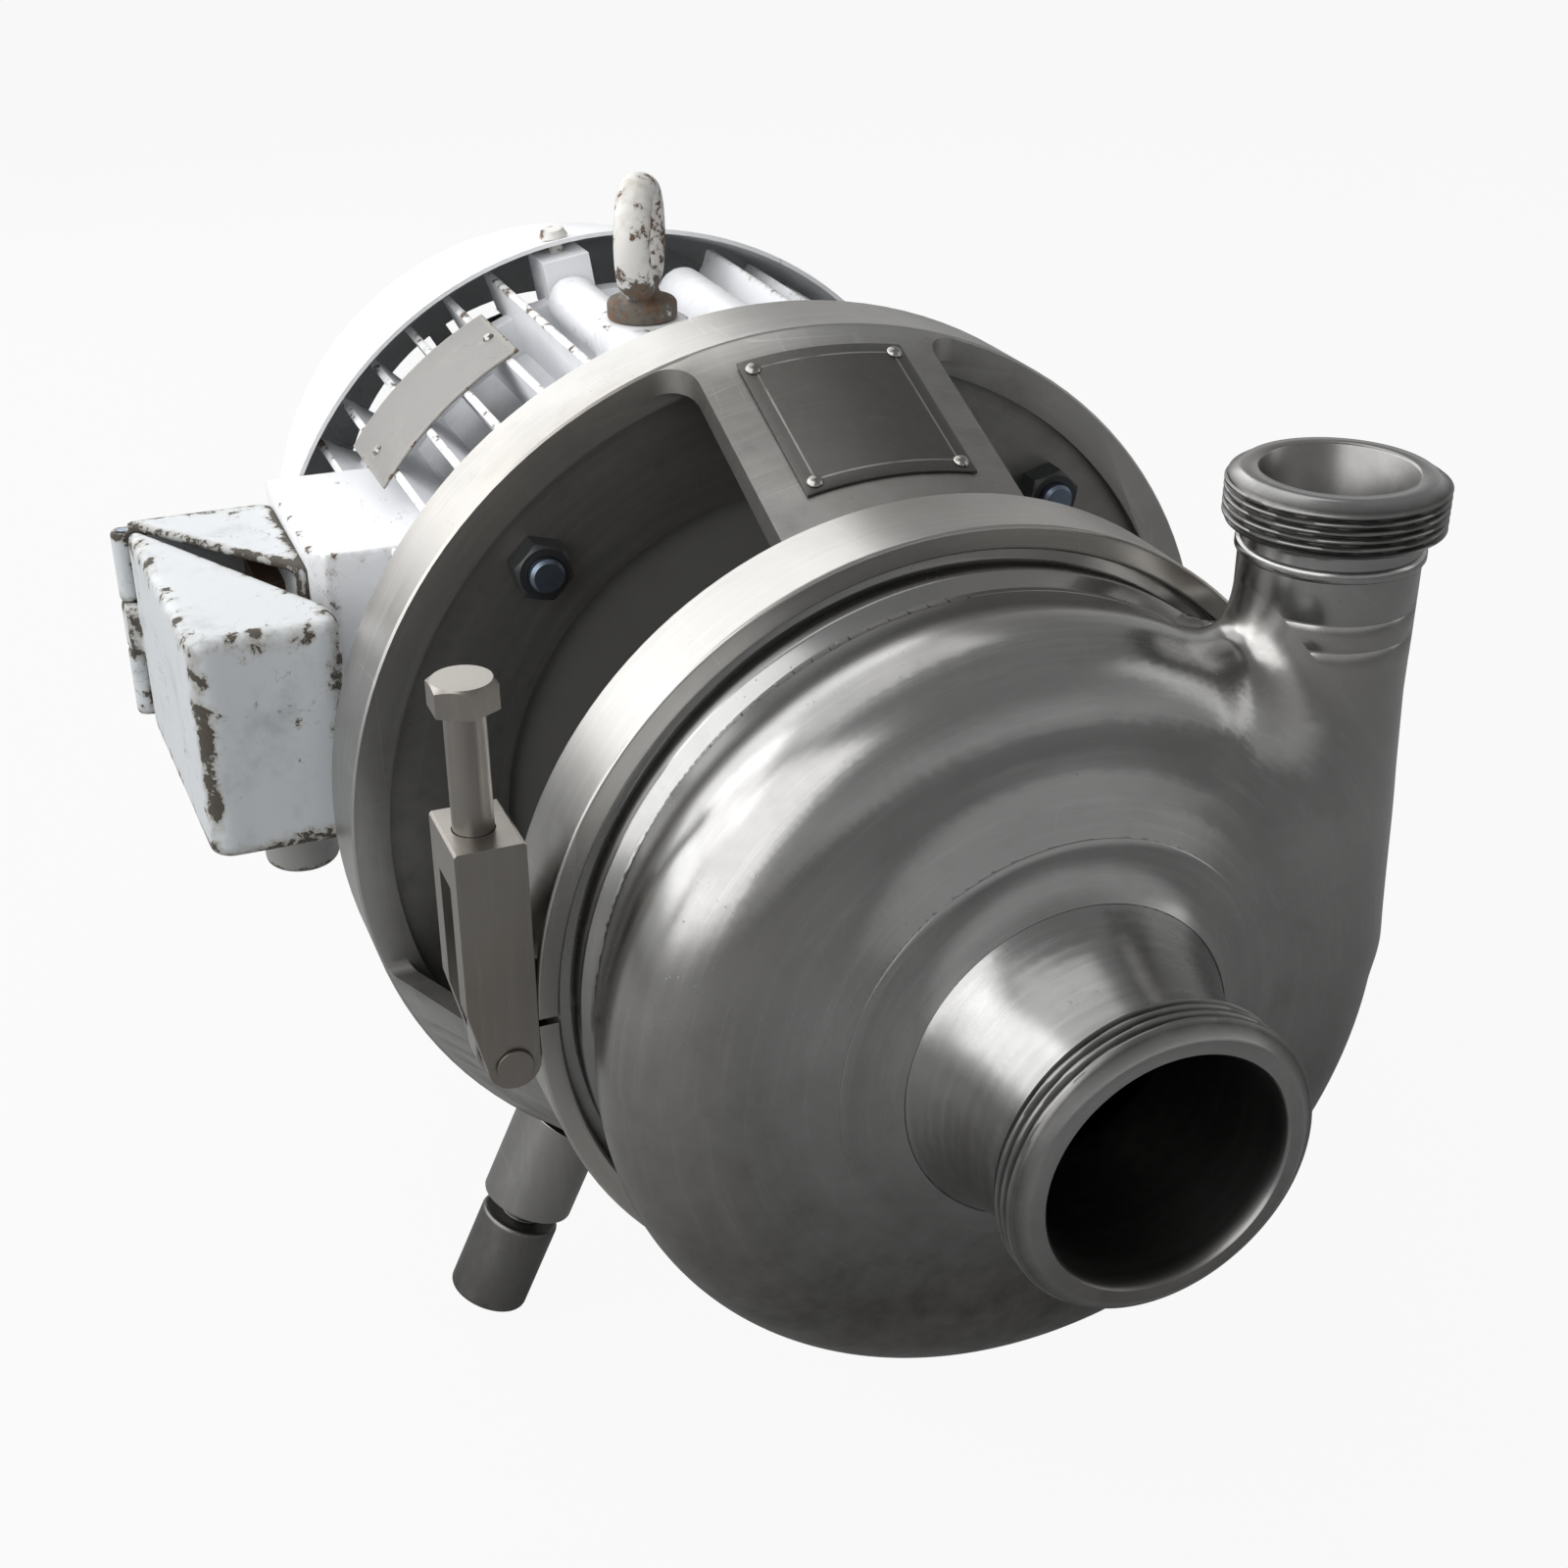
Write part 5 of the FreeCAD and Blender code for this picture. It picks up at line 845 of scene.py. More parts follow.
def curve3(start: Point2, pull: Point2, end: Point2, steps: int = 10) -> list[Point2]:
    """Points on a quadratic curve.

    Args:
        start: Its first point.
        pull: The point that both of its ends aim at.
        end: Its last point.
        steps: Number of pieces.

    Returns:
        The points, both ends included.
    """
    points = []
    for step in range(steps + 1):
        share = step / steps
        rest = 1.0 - share
        points.append(tuple(rest * rest * a + 2 * rest * share * b + share * share * c
                            for a, b, c in zip(start, pull, end)))
    return points


def set_values(piece: bpy.types.Object, name: str, values: np.ndarray) -> None:
    """Store one number per vertex as an attribute of a piece."""
    attribute = piece.data.attributes.new(name, "FLOAT", "POINT")
    attribute.data.foreach_set("value", np.asarray(values, dtype=np.float32))


def raise_values(piece: bpy.types.Object, name: str, values: np.ndarray) -> None:
    """Raise an attribute of a piece, which starts from zero if it has none.

    Args:
        piece: The piece.
        name: The attribute's name.
        values: Least value at each vertex.
    """
    now = np.zeros(len(values), dtype=np.float32)
    old = piece.data.attributes.get(name)
    if old is not None:
        old.data.foreach_get("value", now)
        piece.data.attributes.remove(old)
    set_values(piece, name, np.maximum(now, values))


def places_of(piece: bpy.types.Object) -> np.ndarray:
    """Read where a piece's vertices are.

    Args:
        piece: The piece.

    Returns:
        Their places in millimetres.
    """
    flat = np.empty(len(piece.data.vertices) * 3)
    piece.data.vertices.foreach_get("co", flat)
    return flat.reshape(-1, 3) / MM


def move(piece: bpy.types.Object, places: np.ndarray) -> None:
    """Put a piece's vertices at these places in millimetres."""
    piece.data.vertices.foreach_set("co", (places * MM).ravel())
    piece.data.update()


def shaft_r(places: np.ndarray) -> np.ndarray:
    """Distance of each place from the shaft."""
    return np.hypot(places[:, 0], places[:, 2])


def turned_normals(piece: bpy.types.Object, degrees: float = SHARP) -> bpy.types.Object:
    """Shade the turned faces of a piece as true surfaces about the shaft.

    Args:
        piece: The piece.
        degrees: Angle from which an edge stays sharp.

    Returns:
        The piece.
    """
    places = places_of(piece)
    limit = math.cos(math.radians(degrees))
    around: dict[int, list] = {}
    corners = []
    for face in piece.data.polygons:
        normal = np.array(face.normal)
        across = math.hypot(normal[0], normal[2])
        spots = places[list(face.vertices)]
        radii = shaft_r(spots)
        away = normal[0] * spots[:, 0].mean() + normal[2] * spots[:, 2].mean()
        outward = 1.0 if away > 0 else -1.0
        true = radii * across * outward + spots[:, 1] * normal[1]
        turned = across > 0.02 and np.ptp(true) < 0.03 and radii.min() > 1.0
        for spot, radius, corner in zip(spots, radii, face.vertices):
            there = normal
            if turned:
                there = np.array((spot[0] / radius * across * outward, normal[1],
                                  spot[2] / radius * across * outward))
            around.setdefault(corner, []).append((there, face.area))
            corners.append((corner, there))
    normals = []
    for corner, there in corners:
        total = np.zeros(3)
        for other, area in around[corner]:
            if there @ other > limit:
                total += other * area
        size = np.linalg.norm(total)
        normals.append(tuple(total / size) if size > 0.0 else tuple(there))
    piece.data.shade_smooth()
    piece.data.normals_split_custom_set(normals)
    return piece


def near_edges(piece: bpy.types.Object, source: bpy.types.Object, reach: float,
               most: float = 1.0) -> None:
    """Give a piece an "edge" attribute that is highest on the sharp edges of a source.

    Args:
        piece: The piece.
        source: The mesh whose edges count.
        reach: Distance in millimetres over which the value fades.
        most: The value on an edge.
    """
    work = bmesh.new()
    work.from_mesh(source.data)
    samples = []
    for edge in work.edges:
        if len(edge.link_faces) != 2 or edge.calc_face_angle(0.0) < math.radians(WORN):
            continue
        low, high = (vert.co / MM for vert in edge.verts)
        steps = max(1, int((high - low).length / EDGE_SAMPLE))
        samples.extend(low.lerp(high, step / steps) for step in range(steps + 1))
    work.free()
    tree = KDTree(len(samples))
    for index, sample in enumerate(samples):
        tree.insert(sample, index)
    tree.balance()
    away = np.array([tree.find(place)[2] for place in places_of(piece)])
    set_values(piece, "edge", most * np.exp(-(away / reach) ** 2))


def coated(name: str, source: bpy.types.Object, cell: float, rounds: int, reach: float,
           most: float = 1.0) -> bpy.types.Object:
    """Copy a piece as thick paint leaves it, with soft edges and an "edge" attribute.

    Args:
        name: Name of the copy.
        source: The piece, which is used up.
        cell: Width of the copy's faces in millimetres.
        rounds: Number of times that its edges are smoothed.
        reach: Distance over which the attribute fades from the edges.
        most: The attribute's value on an edge.

    Returns:
        The copy.
    """
    piece = linked(name, source.data.copy())
    remesh = piece.modifiers.new("cells", "REMESH")
    remesh.mode = "VOXEL"
    remesh.voxel_size = cell * MM
    smooth = piece.modifiers.new("smooth", "SMOOTH")
    smooth.factor = 0.5
    smooth.iterations = rounds
    frozen(piece)
    near_edges(piece, source, reach, most)
    bpy.data.objects.remove(source)
    piece.data.shade_smooth()
    return piece


# Surfaces by rule

def surface_net(rule: Callable[[np.ndarray], np.ndarray], low: Sequence[float],
                high: Sequence[float], step: float) -> tuple[np.ndarray, np.ndarray]:
    """Find the surface on which a distance rule is zero.

    Args:
        rule: Function from points to signed distances, all in millimetres.
        low: Lowest corner of the space that is searched.
        high: Highest corner.
        step: Width of a cell.

    Returns:
        Points, and faces of four point numbers that face outwards.
    """
    counts = [int((b - a) / step) + 2 for a, b in zip(low, high)]
    lines = [a + step * np.arange(n) for a, n in zip(low, counts)]
    values = np.empty(counts)
    for index, x in enumerate(lines[0]):
        y, z = np.meshgrid(lines[1], lines[2], indexing="ij")
        points = np.stack((np.full(y.size, x), y.ravel(), z.ravel()), axis=-1)
        values[index] = rule(points).reshape(y.shape)
    inside = values < 0.0
    corners = np.zeros([n - 1 for n in counts], dtype=np.int8)
    for i in (0, 1):
        for j in (0, 1):
            for k in (0, 1):
                corners += inside[i:counts[0] - 1 + i, j:counts[1] - 1 + j,
                                  k:counts[2] - 1 + k]
    mixed = (corners > 0) & (corners < 8)
    number = np.full(mixed.shape, -1)
    number[mixed] = np.arange(mixed.sum())
    points = np.asarray(low) + step * (np.argwhere(mixed) + 0.5)
    faces = []
    for axis in range(3):
        second, third = (axis + 1) % 3, (axis + 2) % 3
        turned = np.moveaxis(inside, (axis, second, third), (0, 1, 2))
        cells = np.moveaxis(number, (axis, second, third), (0, 1, 2))
        here = turned[:-1, 1:-1, 1:-1]
        there = turned[1:, 1:-1, 1:-1]
        around = (cells[:, :-1, :-1], cells[:, 1:, :-1], cells[:, 1:, 1:],
                  cells[:, :-1, 1:])
        out = here & ~there
        faces.append(np.stack([c[out] for c in around], axis=-1))
        out = there & ~here
        faces.append(np.stack([c[out] for c in around[::-1]], axis=-1))
    return points, np.concatenate(faces)


def slope(rule: Callable[[np.ndarray], np.ndarray], points: np.ndarray) -> np.ndarray:
    """Gradient of a distance rule.

    Args:
        rule: The rule.
        points: The points where it is taken.

    Returns:
        One vector per point.
    """
    small = 0.05
    parts = []
    for axis in range(3):
        shift = np.zeros(3)
        shift[axis] = small
        parts.append((rule(points + shift) - rule(points - shift)) / (2.0 * small))
    return np.stack(parts, axis=-1)


def settled(rule: Callable[[np.ndarray], np.ndarray], points: np.ndarray,
            rounds: int = 5) -> np.ndarray:
    """Move points on to the surface where a distance rule is zero.

    Args:
        rule: The rule.
        points: The points, which lie near the surface.
        rounds: Number of steps.

    Returns:
        The points on the surface.
    """
    for _ in range(rounds):
        grade = slope(rule, points)
        size = np.maximum((grade ** 2).sum(axis=1), 0.2)
        points = points - grade * (rule(points) / size)[:, None]
    return points


def blended(first: np.ndarray, second: np.ndarray,
            width: Union[float, np.ndarray]) -> np.ndarray:
    """Smaller of two distances, with a fillet of that width where they are alike."""
    share = np.maximum(width - np.abs(first - second), 0.0) / width
    return np.minimum(first, second) - share ** 2 * width / 4.0


def from_profile(profile: Sequence[Point2], radius: np.ndarray,
                 along: np.ndarray) -> np.ndarray:
    """Signed distance to a closed outline, less than zero inside.

    Args:
        profile: The outline's points.
        radius: First coordinates of the points that are asked for.
        along: Their second coordinates.

    Returns:
        The distances.
    """
    nearest = np.full(radius.shape, np.inf)
    inside = np.zeros(radius.shape, dtype=bool)
    for (r0, y0), (r1, y1) in zip(profile, list(profile[1:]) + [profile[0]]):
        run, rise = r1 - r0, y1 - y0
        share = ((radius - r0) * run + (along - y0) * rise) / (run * run + rise * rise)
        share = np.clip(share, 0.0, 1.0)
        away = (radius - r0 - share * run) ** 2 + (along - y0 - share * rise) ** 2
        nearest = np.minimum(nearest, away)
        if rise != 0.0:
            crossing = (y0 > along) != (y1 > along)
            inside ^= crossing & (radius < r0 + (along - y0) * run / rise)
    return np.where(inside, -1.0, 1.0) * np.sqrt(nearest)


# Pieces in rows and rings

class Repeater:
    """Geometry Nodes tree that sets one item at places given by a rule."""

    def __init__(self, name: str) -> None:
        """Start an empty tree with the inputs that all rules share.

        Args:
            name: Name of the tree.
        """
        self.tree = bpy.data.node_groups.new(name, "GeometryNodeTree")
        self.ids: dict[str, str] = {}
        self.tree.interface.new_socket("Geometry", in_out="INPUT",
                                       socket_type="NodeSocketGeometry")
        self.tree.interface.new_socket("Geometry", in_out="OUTPUT",
                                       socket_type="NodeSocketGeometry")
        self.add_input("Item", "NodeSocketObject")
        self.add_input("Material", "NodeSocketMaterial")
        self.entry = None

    def add_input(self, name: str, kind: str) -> None:
        """Add a named input."""
        made = self.tree.interface.new_socket(name, in_out="INPUT", socket_type=kind)
        self.ids[name] = made.identifier

    def node(self, kind: str, settings: Optional[dict] = None,
             inputs: Optional[dict] = None) -> bpy.types.Node:
        """Add any node.

        Args:
            kind: The node's type.
            settings: Its properties, set first.
            inputs: Values or sockets for its inputs, by index.

        Returns:
            The node.
        """
        made = self.tree.nodes.new(kind)
        for key, value in (settings or {}).items():
            setattr(made, key, value)
        for key, value in (inputs or {}).items():
            if isinstance(value, bpy.types.NodeSocket):
                self.tree.links.new(value, made.inputs[key])
            else:
                made.inputs[key].default_value = value
        return made

    def math(self, operation: str, first: Operand, second: Operand) -> bpy.types.NodeSocket:
        """Add a Math node and return its result."""
        return self.node("ShaderNodeMath", {"operation": operation},
                         {0: first, 1: second}).outputs[0]

    def finish(self, points: bpy.types.NodeSocket, turn: bpy.types.NodeSocket) -> None:
        """Close the tree: an item on each point, made real, with its material.

        Args:
            points: The places.
            turn: Rotation of the item at each place.
        """
        item = self.node("GeometryNodeObjectInfo", {"transform_space": "ORIGINAL"},
                         {0: self.entry.outputs["Item"]})
        placed = self.node("GeometryNodeInstanceOnPoints", None,
                           {0: points, 2: item.outputs["Geometry"], 5: turn})
        real = self.node("GeometryNodeRealizeInstances", None, {0: placed.outputs[0]})
        dressed = self.node("GeometryNodeSetMaterial", None,
                            {0: real.outputs[0], 2: self.entry.outputs["Material"]})
        self.node("NodeGroupOutput", None, {0: dressed.outputs[0]})

    @classmethod
    def ring(cls) -> "Repeater":
        """Tree that sets items round the shaft at an even pitch.

        Returns:
            The tree, with the inputs Count, First and Pitch (in radians).
        """
        made = cls("ring")
        made.add_input("Count", "NodeSocketInt")
        made.add_input("First", "NodeSocketFloat")
        made.add_input("Pitch", "NodeSocketFloat")
        made.entry = made.node("NodeGroupInput")
        points = made.node("GeometryNodePoints", None, {0: made.entry.outputs["Count"]})
        index = made.node("GeometryNodeInputIndex").outputs[0]
        angle = made.math("MULTIPLY_ADD", index, made.entry.outputs["Pitch"])
        made.tree.links.new(made.entry.outputs["First"], angle.node.inputs[2])
        turned = made.math("MULTIPLY", angle, -1.0)
        turn = made.node("ShaderNodeCombineXYZ", None, {1: turned})
        made.finish(points.outputs[0], turn.outputs[0])
        return made

    def made(self, name: str, item: bpy.types.Object, material: bpy.types.Material,
             **values: Number) -> bpy.types.Object:
        """Run the tree once and keep its result as a plain mesh.

        Args:
            name: Name of the result.
            item: The item, which is removed.
            material: The result's material.
            values: Values of the tree's other inputs.

        Returns:
            The result.
        """
        piece = linked(name, bpy.data.meshes.new(name))
        modifier = piece.modifiers.new("places", "NODES")
        modifier.node_group = self.tree
        for key, value in {"Item": item, "Material": material, **values}.items():
            modifier[self.ids[key]] = value
        frozen(piece)
        bpy.data.objects.remove(item)
        return piece


# Sub-assemblies

@dataclass
class Workshop:
    """What every sub-assembly needs: the frame's nodes and the finishes."""

    nodes: dict
    slots: dict
    finishes: Finishes
    bodies: dict

    def dressed(self, piece: bpy.types.Object, *nodes: str) -> bpy.types.Object:
        """Give a finished piece the material of its nodes' slot and their body, and hide the
        nodes it replaces.

        Args:
            piece: The piece.
            nodes: The frame nodes that it stands for.

        Returns:
            The piece.
        """
        slot = self.slots[nodes[0]]
        if not piece.data.materials:
            piece.data.materials.append(self.finishes.for_slot(slot))
        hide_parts(*nodes)
        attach(piece, self.bodies[nodes[0]])
        log.info("%s: %d faces", piece.name, len(piece.data.polygons))
        return piece

    def turned_edges(self, node: str, width: float = 0.6, segments: int = 2,
                     degrees: float = SHARP) -> bpy.types.Object:
        """Replace a node by a copy whose edges are rounded over a width in millimetres."""
        piece = bevelled(merged(f"{node}_body", self.nodes[node]), width, segments, degrees)
        return self.dressed(turned_normals(crisp(piece)), node)

    def painted(self, node: str, cell: float, reach: float, turn: float = 0.0,
                axis: Point2 = (0.0, 0.0), rounds: int = 3) -> bpy.types.Object:
        """Replace a node by a copy under thick paint, worn along its edges.

        Args:
            node: The node.
            cell: Width of the copy's faces in millimetres.
            reach: Distance over which the wear fades from the edges.
            turn: Angle in degrees by which the copy is turned about an upright axis.
            axis: Where that axis lies, as (x, y).
            rounds: Number of times that its edges are smoothed.

        Returns:
            The copy.
        """
        source = merged(f"{node}_source", self.nodes[node])
        centre = Matrix.Translation((axis[0] * MM, axis[1] * MM, 0.0))
        about = Matrix.Rotation(math.radians(turn), 4, "Z")
        source.data.transform(centre @ about @ centre.inverted())
        return self.dressed(coated(f"{node}_body", source, cell, rounds, reach), node)


@dataclass
class Casing:
    """Volute casing: one smooth skin by rule, with turned ports, step and rim."""

    shop: Workshop
    cell: float = 2.5
    thread_r: float = 61.75
    thread_depth: float = 2.3
    thread_pitch: float = 4.233
    thread_span: Point2 = (4.5, 17.5)
    bore_r: float = 48.8
    neck: tuple[Point2, ...] = ((56.0, 20.0), (57.4, 55.0), (69.6, 75.0))
    step: Point2 = (91.0, 82.0)
    cone: tuple[Point2, ...] = ((104.0, 87.9), (114.0, 91.9), (122.0, 94.8))
    dome: Point2 = (120.0, 96.0)
    dome_r: float = 38.0
    dome_start: float = -72.0
    shoulder: Point2 = (158.0, 165.0)
    rim_r: float = 163.5
    rim_span: Point2 = (169.0, 183.5)
    flange: tuple[float, float, float] = (173.5, 183.5, 191.0)
    volute_y: float = 131.0
    volute_angles: tuple[float, float] = (62.0, 285.0)
    volute_r: tuple[float, float] = (26.0, 40.0)
    volute_reach: tuple[float, float, float] = (153.0, 177.5, 172.6)
    outlet: Point2 = (135.0, 131.0)
    outlet_r: tuple[float, float] = (40.0, 35.0)
    outlet_taper_top: float = 112.0
    outlet_top: float = 200.5
    outlet_rule_top: float = 230.0
    outlet_lines: Point2 = (150.0, 139.0)
    outlet_bore_r: float = 30.15
    outlet_thread_r: float = 42.7
    outlet_thread_pitch: float = 3.175
    outlet_thread_depth: float = 1.7
    outlet_thread_span: Point2 = (180.5, 196.5)
    collar: tuple[float, float, float] = (36.6, 167.5, 171.5)
    tube_blend: float = 18.0
    outlet_blend: tuple[float, float] = (3.0, 30.0)
    blend_span: Point2 = (8.0, 75.0)
    under_rim: float = 0.8
    under_depth: float = 187.0
    net: tuple[tuple, tuple] = ((-185.0, -4.0, -186.0), (182.0, 192.0, 236.0))
    net_ends: tuple[float, float, float] = (17.0, 185.0, 176.0)
    # Painted shade that darkens the casing towards its bottom: its strength here, and its span
    # two lines down.
    wall: float = 2.5
    painted_shade: float = 0.75
    shade_span: Point2 = (60.0, 170.0)
    # The thread is darkened as dirt and its grooves as painted shade; the bores and the hollow
    # are darkened as painted shade.
    thread_soil_and_shade: float = 0.45
    bore_shade: float = 0.7
    bore_fade: Point2 = (0.5, 12.0)
    hollow_shade: float = 0.9

    def __post_init__(self) -> None:
        """Work out the outline once, because every rule asks for it."""
        self._outline = self.outline()

    def outline(self) -> list[Point2]:
        """Outline of the turned body, without its ports.

        Returns:
            Its corners as (radius, y), from the shaft and back to it.
        """
        start, pull, root = self.neck
        flare = (self.neck[2][0] + 8.5, self.step[1] - 1.6)
        points = [(0.0, 4.0), (start[0], 4.0)]
        points += curve3(start, pull, root)
        points += curve3(root, flare, self.step, 6)[1:]
        points += list(self.cone)
        points += arc((self.dome[0], self.dome[1] + self.dome_r), self.dome_r,
                      self.dome_start, 0.0, 16)
        under = self.under_rim
        points += [(self.shoulder[0], self.shoulder[1] - 4.0),
                   (self.shoulder[0] - under, self.shoulder[1] - 2.5),
                   (self.shoulder[0] - under, self.shoulder[1]),
                   (self.rim_r - under, self.rim_span[0] + under),
                   (self.rim_r - under, self.under_depth), (0.0, self.under_depth)]
        return points

    def body_rule(self, points: np.ndarray) -> np.ndarray:
        """Signed distance to the turned body."""
        return from_profile(self._outline, shaft_r(points), points[:, 1])

    def tube_rule(self, points: np.ndarray) -> np.ndarray:
        """Growing volute tube.

        Args:
            points: Points in millimetres.

        Returns:
            Signed distance of each point to the tube.
        """
        x, y, z = points.T
        first, full = self.volute_angles
        angle = np.degrees(np.arctan2(z, x)) % 360.0
        angle = np.where(angle < first / 2.0, 360.0, np.maximum(angle, first))
        share = np.clip((angle - first) / (full - first), 0.0, 1.0)
        late = np.clip((angle - full) / (360.0 - full), 0.0, 1.0)
        radius = self.volute_r[0] + (self.volute_r[1] - self.volute_r[0]) * share
        start, end, last = self.volute_reach
        reach = start + (end - start) * share + (last - end) * late
        turn = np.radians(angle)
        centre = reach - radius
        away = np.sqrt((x - centre * np.cos(turn)) ** 2 + (z - centre * np.sin(turn)) ** 2
                       + (y - self.volute_y) ** 2)
        return away - radius

    def outlet_rule(self, points: np.ndarray) -> np.ndarray:
        """Upright discharge neck.

        Args:
            points: Points in millimetres.

        Returns:
            Signed distance of each point to the neck.
        """
        x, y, z = points.T
        level = np.clip(z, 0.0, self.outlet_rule_top)
        share = np.clip(level / self.outlet_taper_top, 0.0, 1.0)
        radius = self.outlet_r[0] + (self.outlet_r[1] - self.outlet_r[0]) * share
        away = np.sqrt((x - self.outlet[0]) ** 2 + (y - self.outlet[1]) ** 2
                       + (z - level) ** 2)
        return away - radius

    def rule(self, points: np.ndarray) -> np.ndarray:
        """Whole outer skin: body, tube and neck, blended.

        Args:
            points: Points in millimetres.

        Returns:
            Signed distance of each point to the skin.
        """
        shell = blended(self.body_rule(points), self.tube_rule(points), self.tube_blend)
        low, high = self.blend_span
        share = np.clip((points[:, 2] - low) / (high - low), 0.0, 1.0)
        least, full = self.outlet_blend
        width = least + (full - least) * share * share * (3.0 - 2.0 * share)
        return blended(shell, self.outlet_rule(points), width)

    def skin(self) -> bpy.types.Object:
        """Smooth outer skin, open at both ports and at the rim.

        Returns:
            The skin.
        """
        points, faces = surface_net(self.rule, *self.net, self.cell)
        points = settled(self.rule, points)
        centre = points[faces].mean(axis=1)
        front, rear, top = self.net_ends
        out = (centre[:, 1] < front) | (centre[:, 1] > rear) | (centre[:, 2] > top)
        faces = faces[~out]
        used, faces = np.unique(faces, return_inverse=True)
        points = points[used]
        piece = solid("casing_skin", points, faces.reshape(-1, 4))
        normals = slope(self.rule, points)
        normals /= np.linalg.norm(normals, axis=1)[:, None]
        piece.data.shade_smooth()
        piece.data.normals_split_custom_set_from_vertices(normals.tolist())
        return piece

    def inside(self) -> bpy.types.Object:
        """Faces of the hollow, taken from the frame's casing.

        Returns:
            The hollow.
        """
        piece = merged("casing_inside", self.shop.nodes["volute_casing"])
        work = bmesh.new()
        work.from_mesh(piece.data)
        bmesh.ops.triangulate(work, faces=work.faces)
        work.faces.ensure_lookup_table()
        middle = np.array([face.calc_center_median() / MM for face in work.faces])
        shallow = self.rule(middle) > -self.wall
        suction = shaft_r(middle) < self.bore_r + 0.6
        shallow |= suction & (middle[:, 1] < self.step[1])
        discharge = np.hypot(middle[:, 0] - self.outlet[0], middle[:, 1] - self.outlet[1])
        shallow |= (discharge < self.outlet_bore_r + 0.6) & (
            middle[:, 2] > self.outlet_taper_top)
        outside = [face for face, near in zip(work.faces, shallow) if near]
        bmesh.ops.delete(work, geom=outside, context="FACES")
        work.to_mesh(piece.data)
        work.free()
        # Painted shade: the whole hollow is darkened.
        set_values(piece, "soil", np.full(len(piece.data.vertices), self.hollow_shade))
        return crisp(piece)

    def threaded(self, crest: float, depth: float, pitch: float,
                 span: Point2) -> Callable:
        """Rule for the radius of a worn screw thread.

        Args:
            crest: Radius over the crests.
            depth: Depth of the grooves.
            pitch: Distance from crest to crest.
            span: First and last place of the thread along the axis.

        Returns:
            Function of (radius, place, angle) for a lathe.
        """
        def radius_at(radius: np.ndarray, along: np.ndarray, turn: np.ndarray) -> np.ndarray:
            """Cut the groove in.

            Args:
                radius: Radius of each vertex of the profile.
                along: Its place along the axis.
                turn: Its angle round the axis.

            Returns:
                The radius with the groove.
            """
            wave = np.abs(((along / pitch - turn / TAU) % 1.0) * 2.0 - 1.0)
            groove = np.clip((0.72 - wave) / 0.55, 0.0, 1.0)
            run = np.clip((along - span[0] + 0.6) / 1.2, 0.0, 1.0)
            run = run * np.clip((span[1] + 0.6 - along) / 1.2, 0.0, 1.0)
            on_thread = radius > crest - 1e-6
            return np.where(on_thread, radius - depth * groove * run, radius)
        return radius_at

    def soiled_and_shaded(self, piece: bpy.types.Object, crest: float, depth: float,
               upright: bool) -> None:
        """Darken a port's thread as dirt, and its grooves and bore as painted shade, in an
        attribute.

        Args:
            piece: The port.
            crest: Radius over its crests.
            depth: Depth of its grooves.
            upright: Whether its axis is the discharge axis.
        """
        places = places_of(piece)
        if upright:
            radius = np.hypot(places[:, 0] - self.outlet[0], places[:, 1] - self.outlet[1])
        else:
            radius = shaft_r(places)
        low = crest - depth * 1.15
        # Dirt on the thread band, and painted shade that darkens its grooves further.
        groove = (radius > low - 0.4) * np.clip((crest - radius) / depth, 0.0, 1.0)
        soil = self.thread_soil_and_shade * (radius > low - 0.4) + (1.0 - self.thread_soil_and_shade) * groove
        # Painted shade in the bore, deepening inwards in the suction bore.
        if upright:
            soil = np.maximum(soil, (radius < self.outlet_bore_r + 0.1) * self.thread_soil_and_shade)
        else:
            start, run = self.bore_fade
            depth_in = np.clip((places[:, 1] - start) / run, 0.0, 1.0)
            soil = np.maximum(soil, (radius < self.bore_r + 0.1) * depth_in * self.bore_shade)
        set_values(piece, "soil", soil)

    def suction_port(self) -> bpy.types.Object:
        """Face, thread and bore of the suction port.

        Returns:
            The port.
        """
        first, last = self.thread_span
        rows = np.linspace(first, last, 40)
        profile = [(self.bore_r, self.step[1]), (self.bore_r, 40.0), (self.bore_r, 20.0),
                   (self.bore_r, 8.0), (self.bore_r, 1.2), (self.bore_r + 1.0, 0.0),
                   (self.thread_r - 7.0, 0.0), (self.thread_r - 5.6, 0.8),
                   (self.thread_r - 1.6, first - 1.0)]
        profile += [(self.thread_r, y) for y in rows]
        profile += [(self.thread_r - 1.5, last + 0.9), (self.neck[0][0] + 0.9, last + 1.6),
                    (self.neck[0][0] + 0.15, last + 2.6), (self.neck[0][0] - 1.0, 30.0),
                    (self.bore_r + 3.0, self.step[1])]
        rule = self.threaded(self.thread_r, self.thread_depth, self.thread_pitch,
                             self.thread_span)
        piece = lathe("suction_port", profile, turns=192, radius_at=rule)
        self.soiled_and_shaded(piece, self.thread_r, self.thread_depth, False)
        return crisp(piece, 50.0)

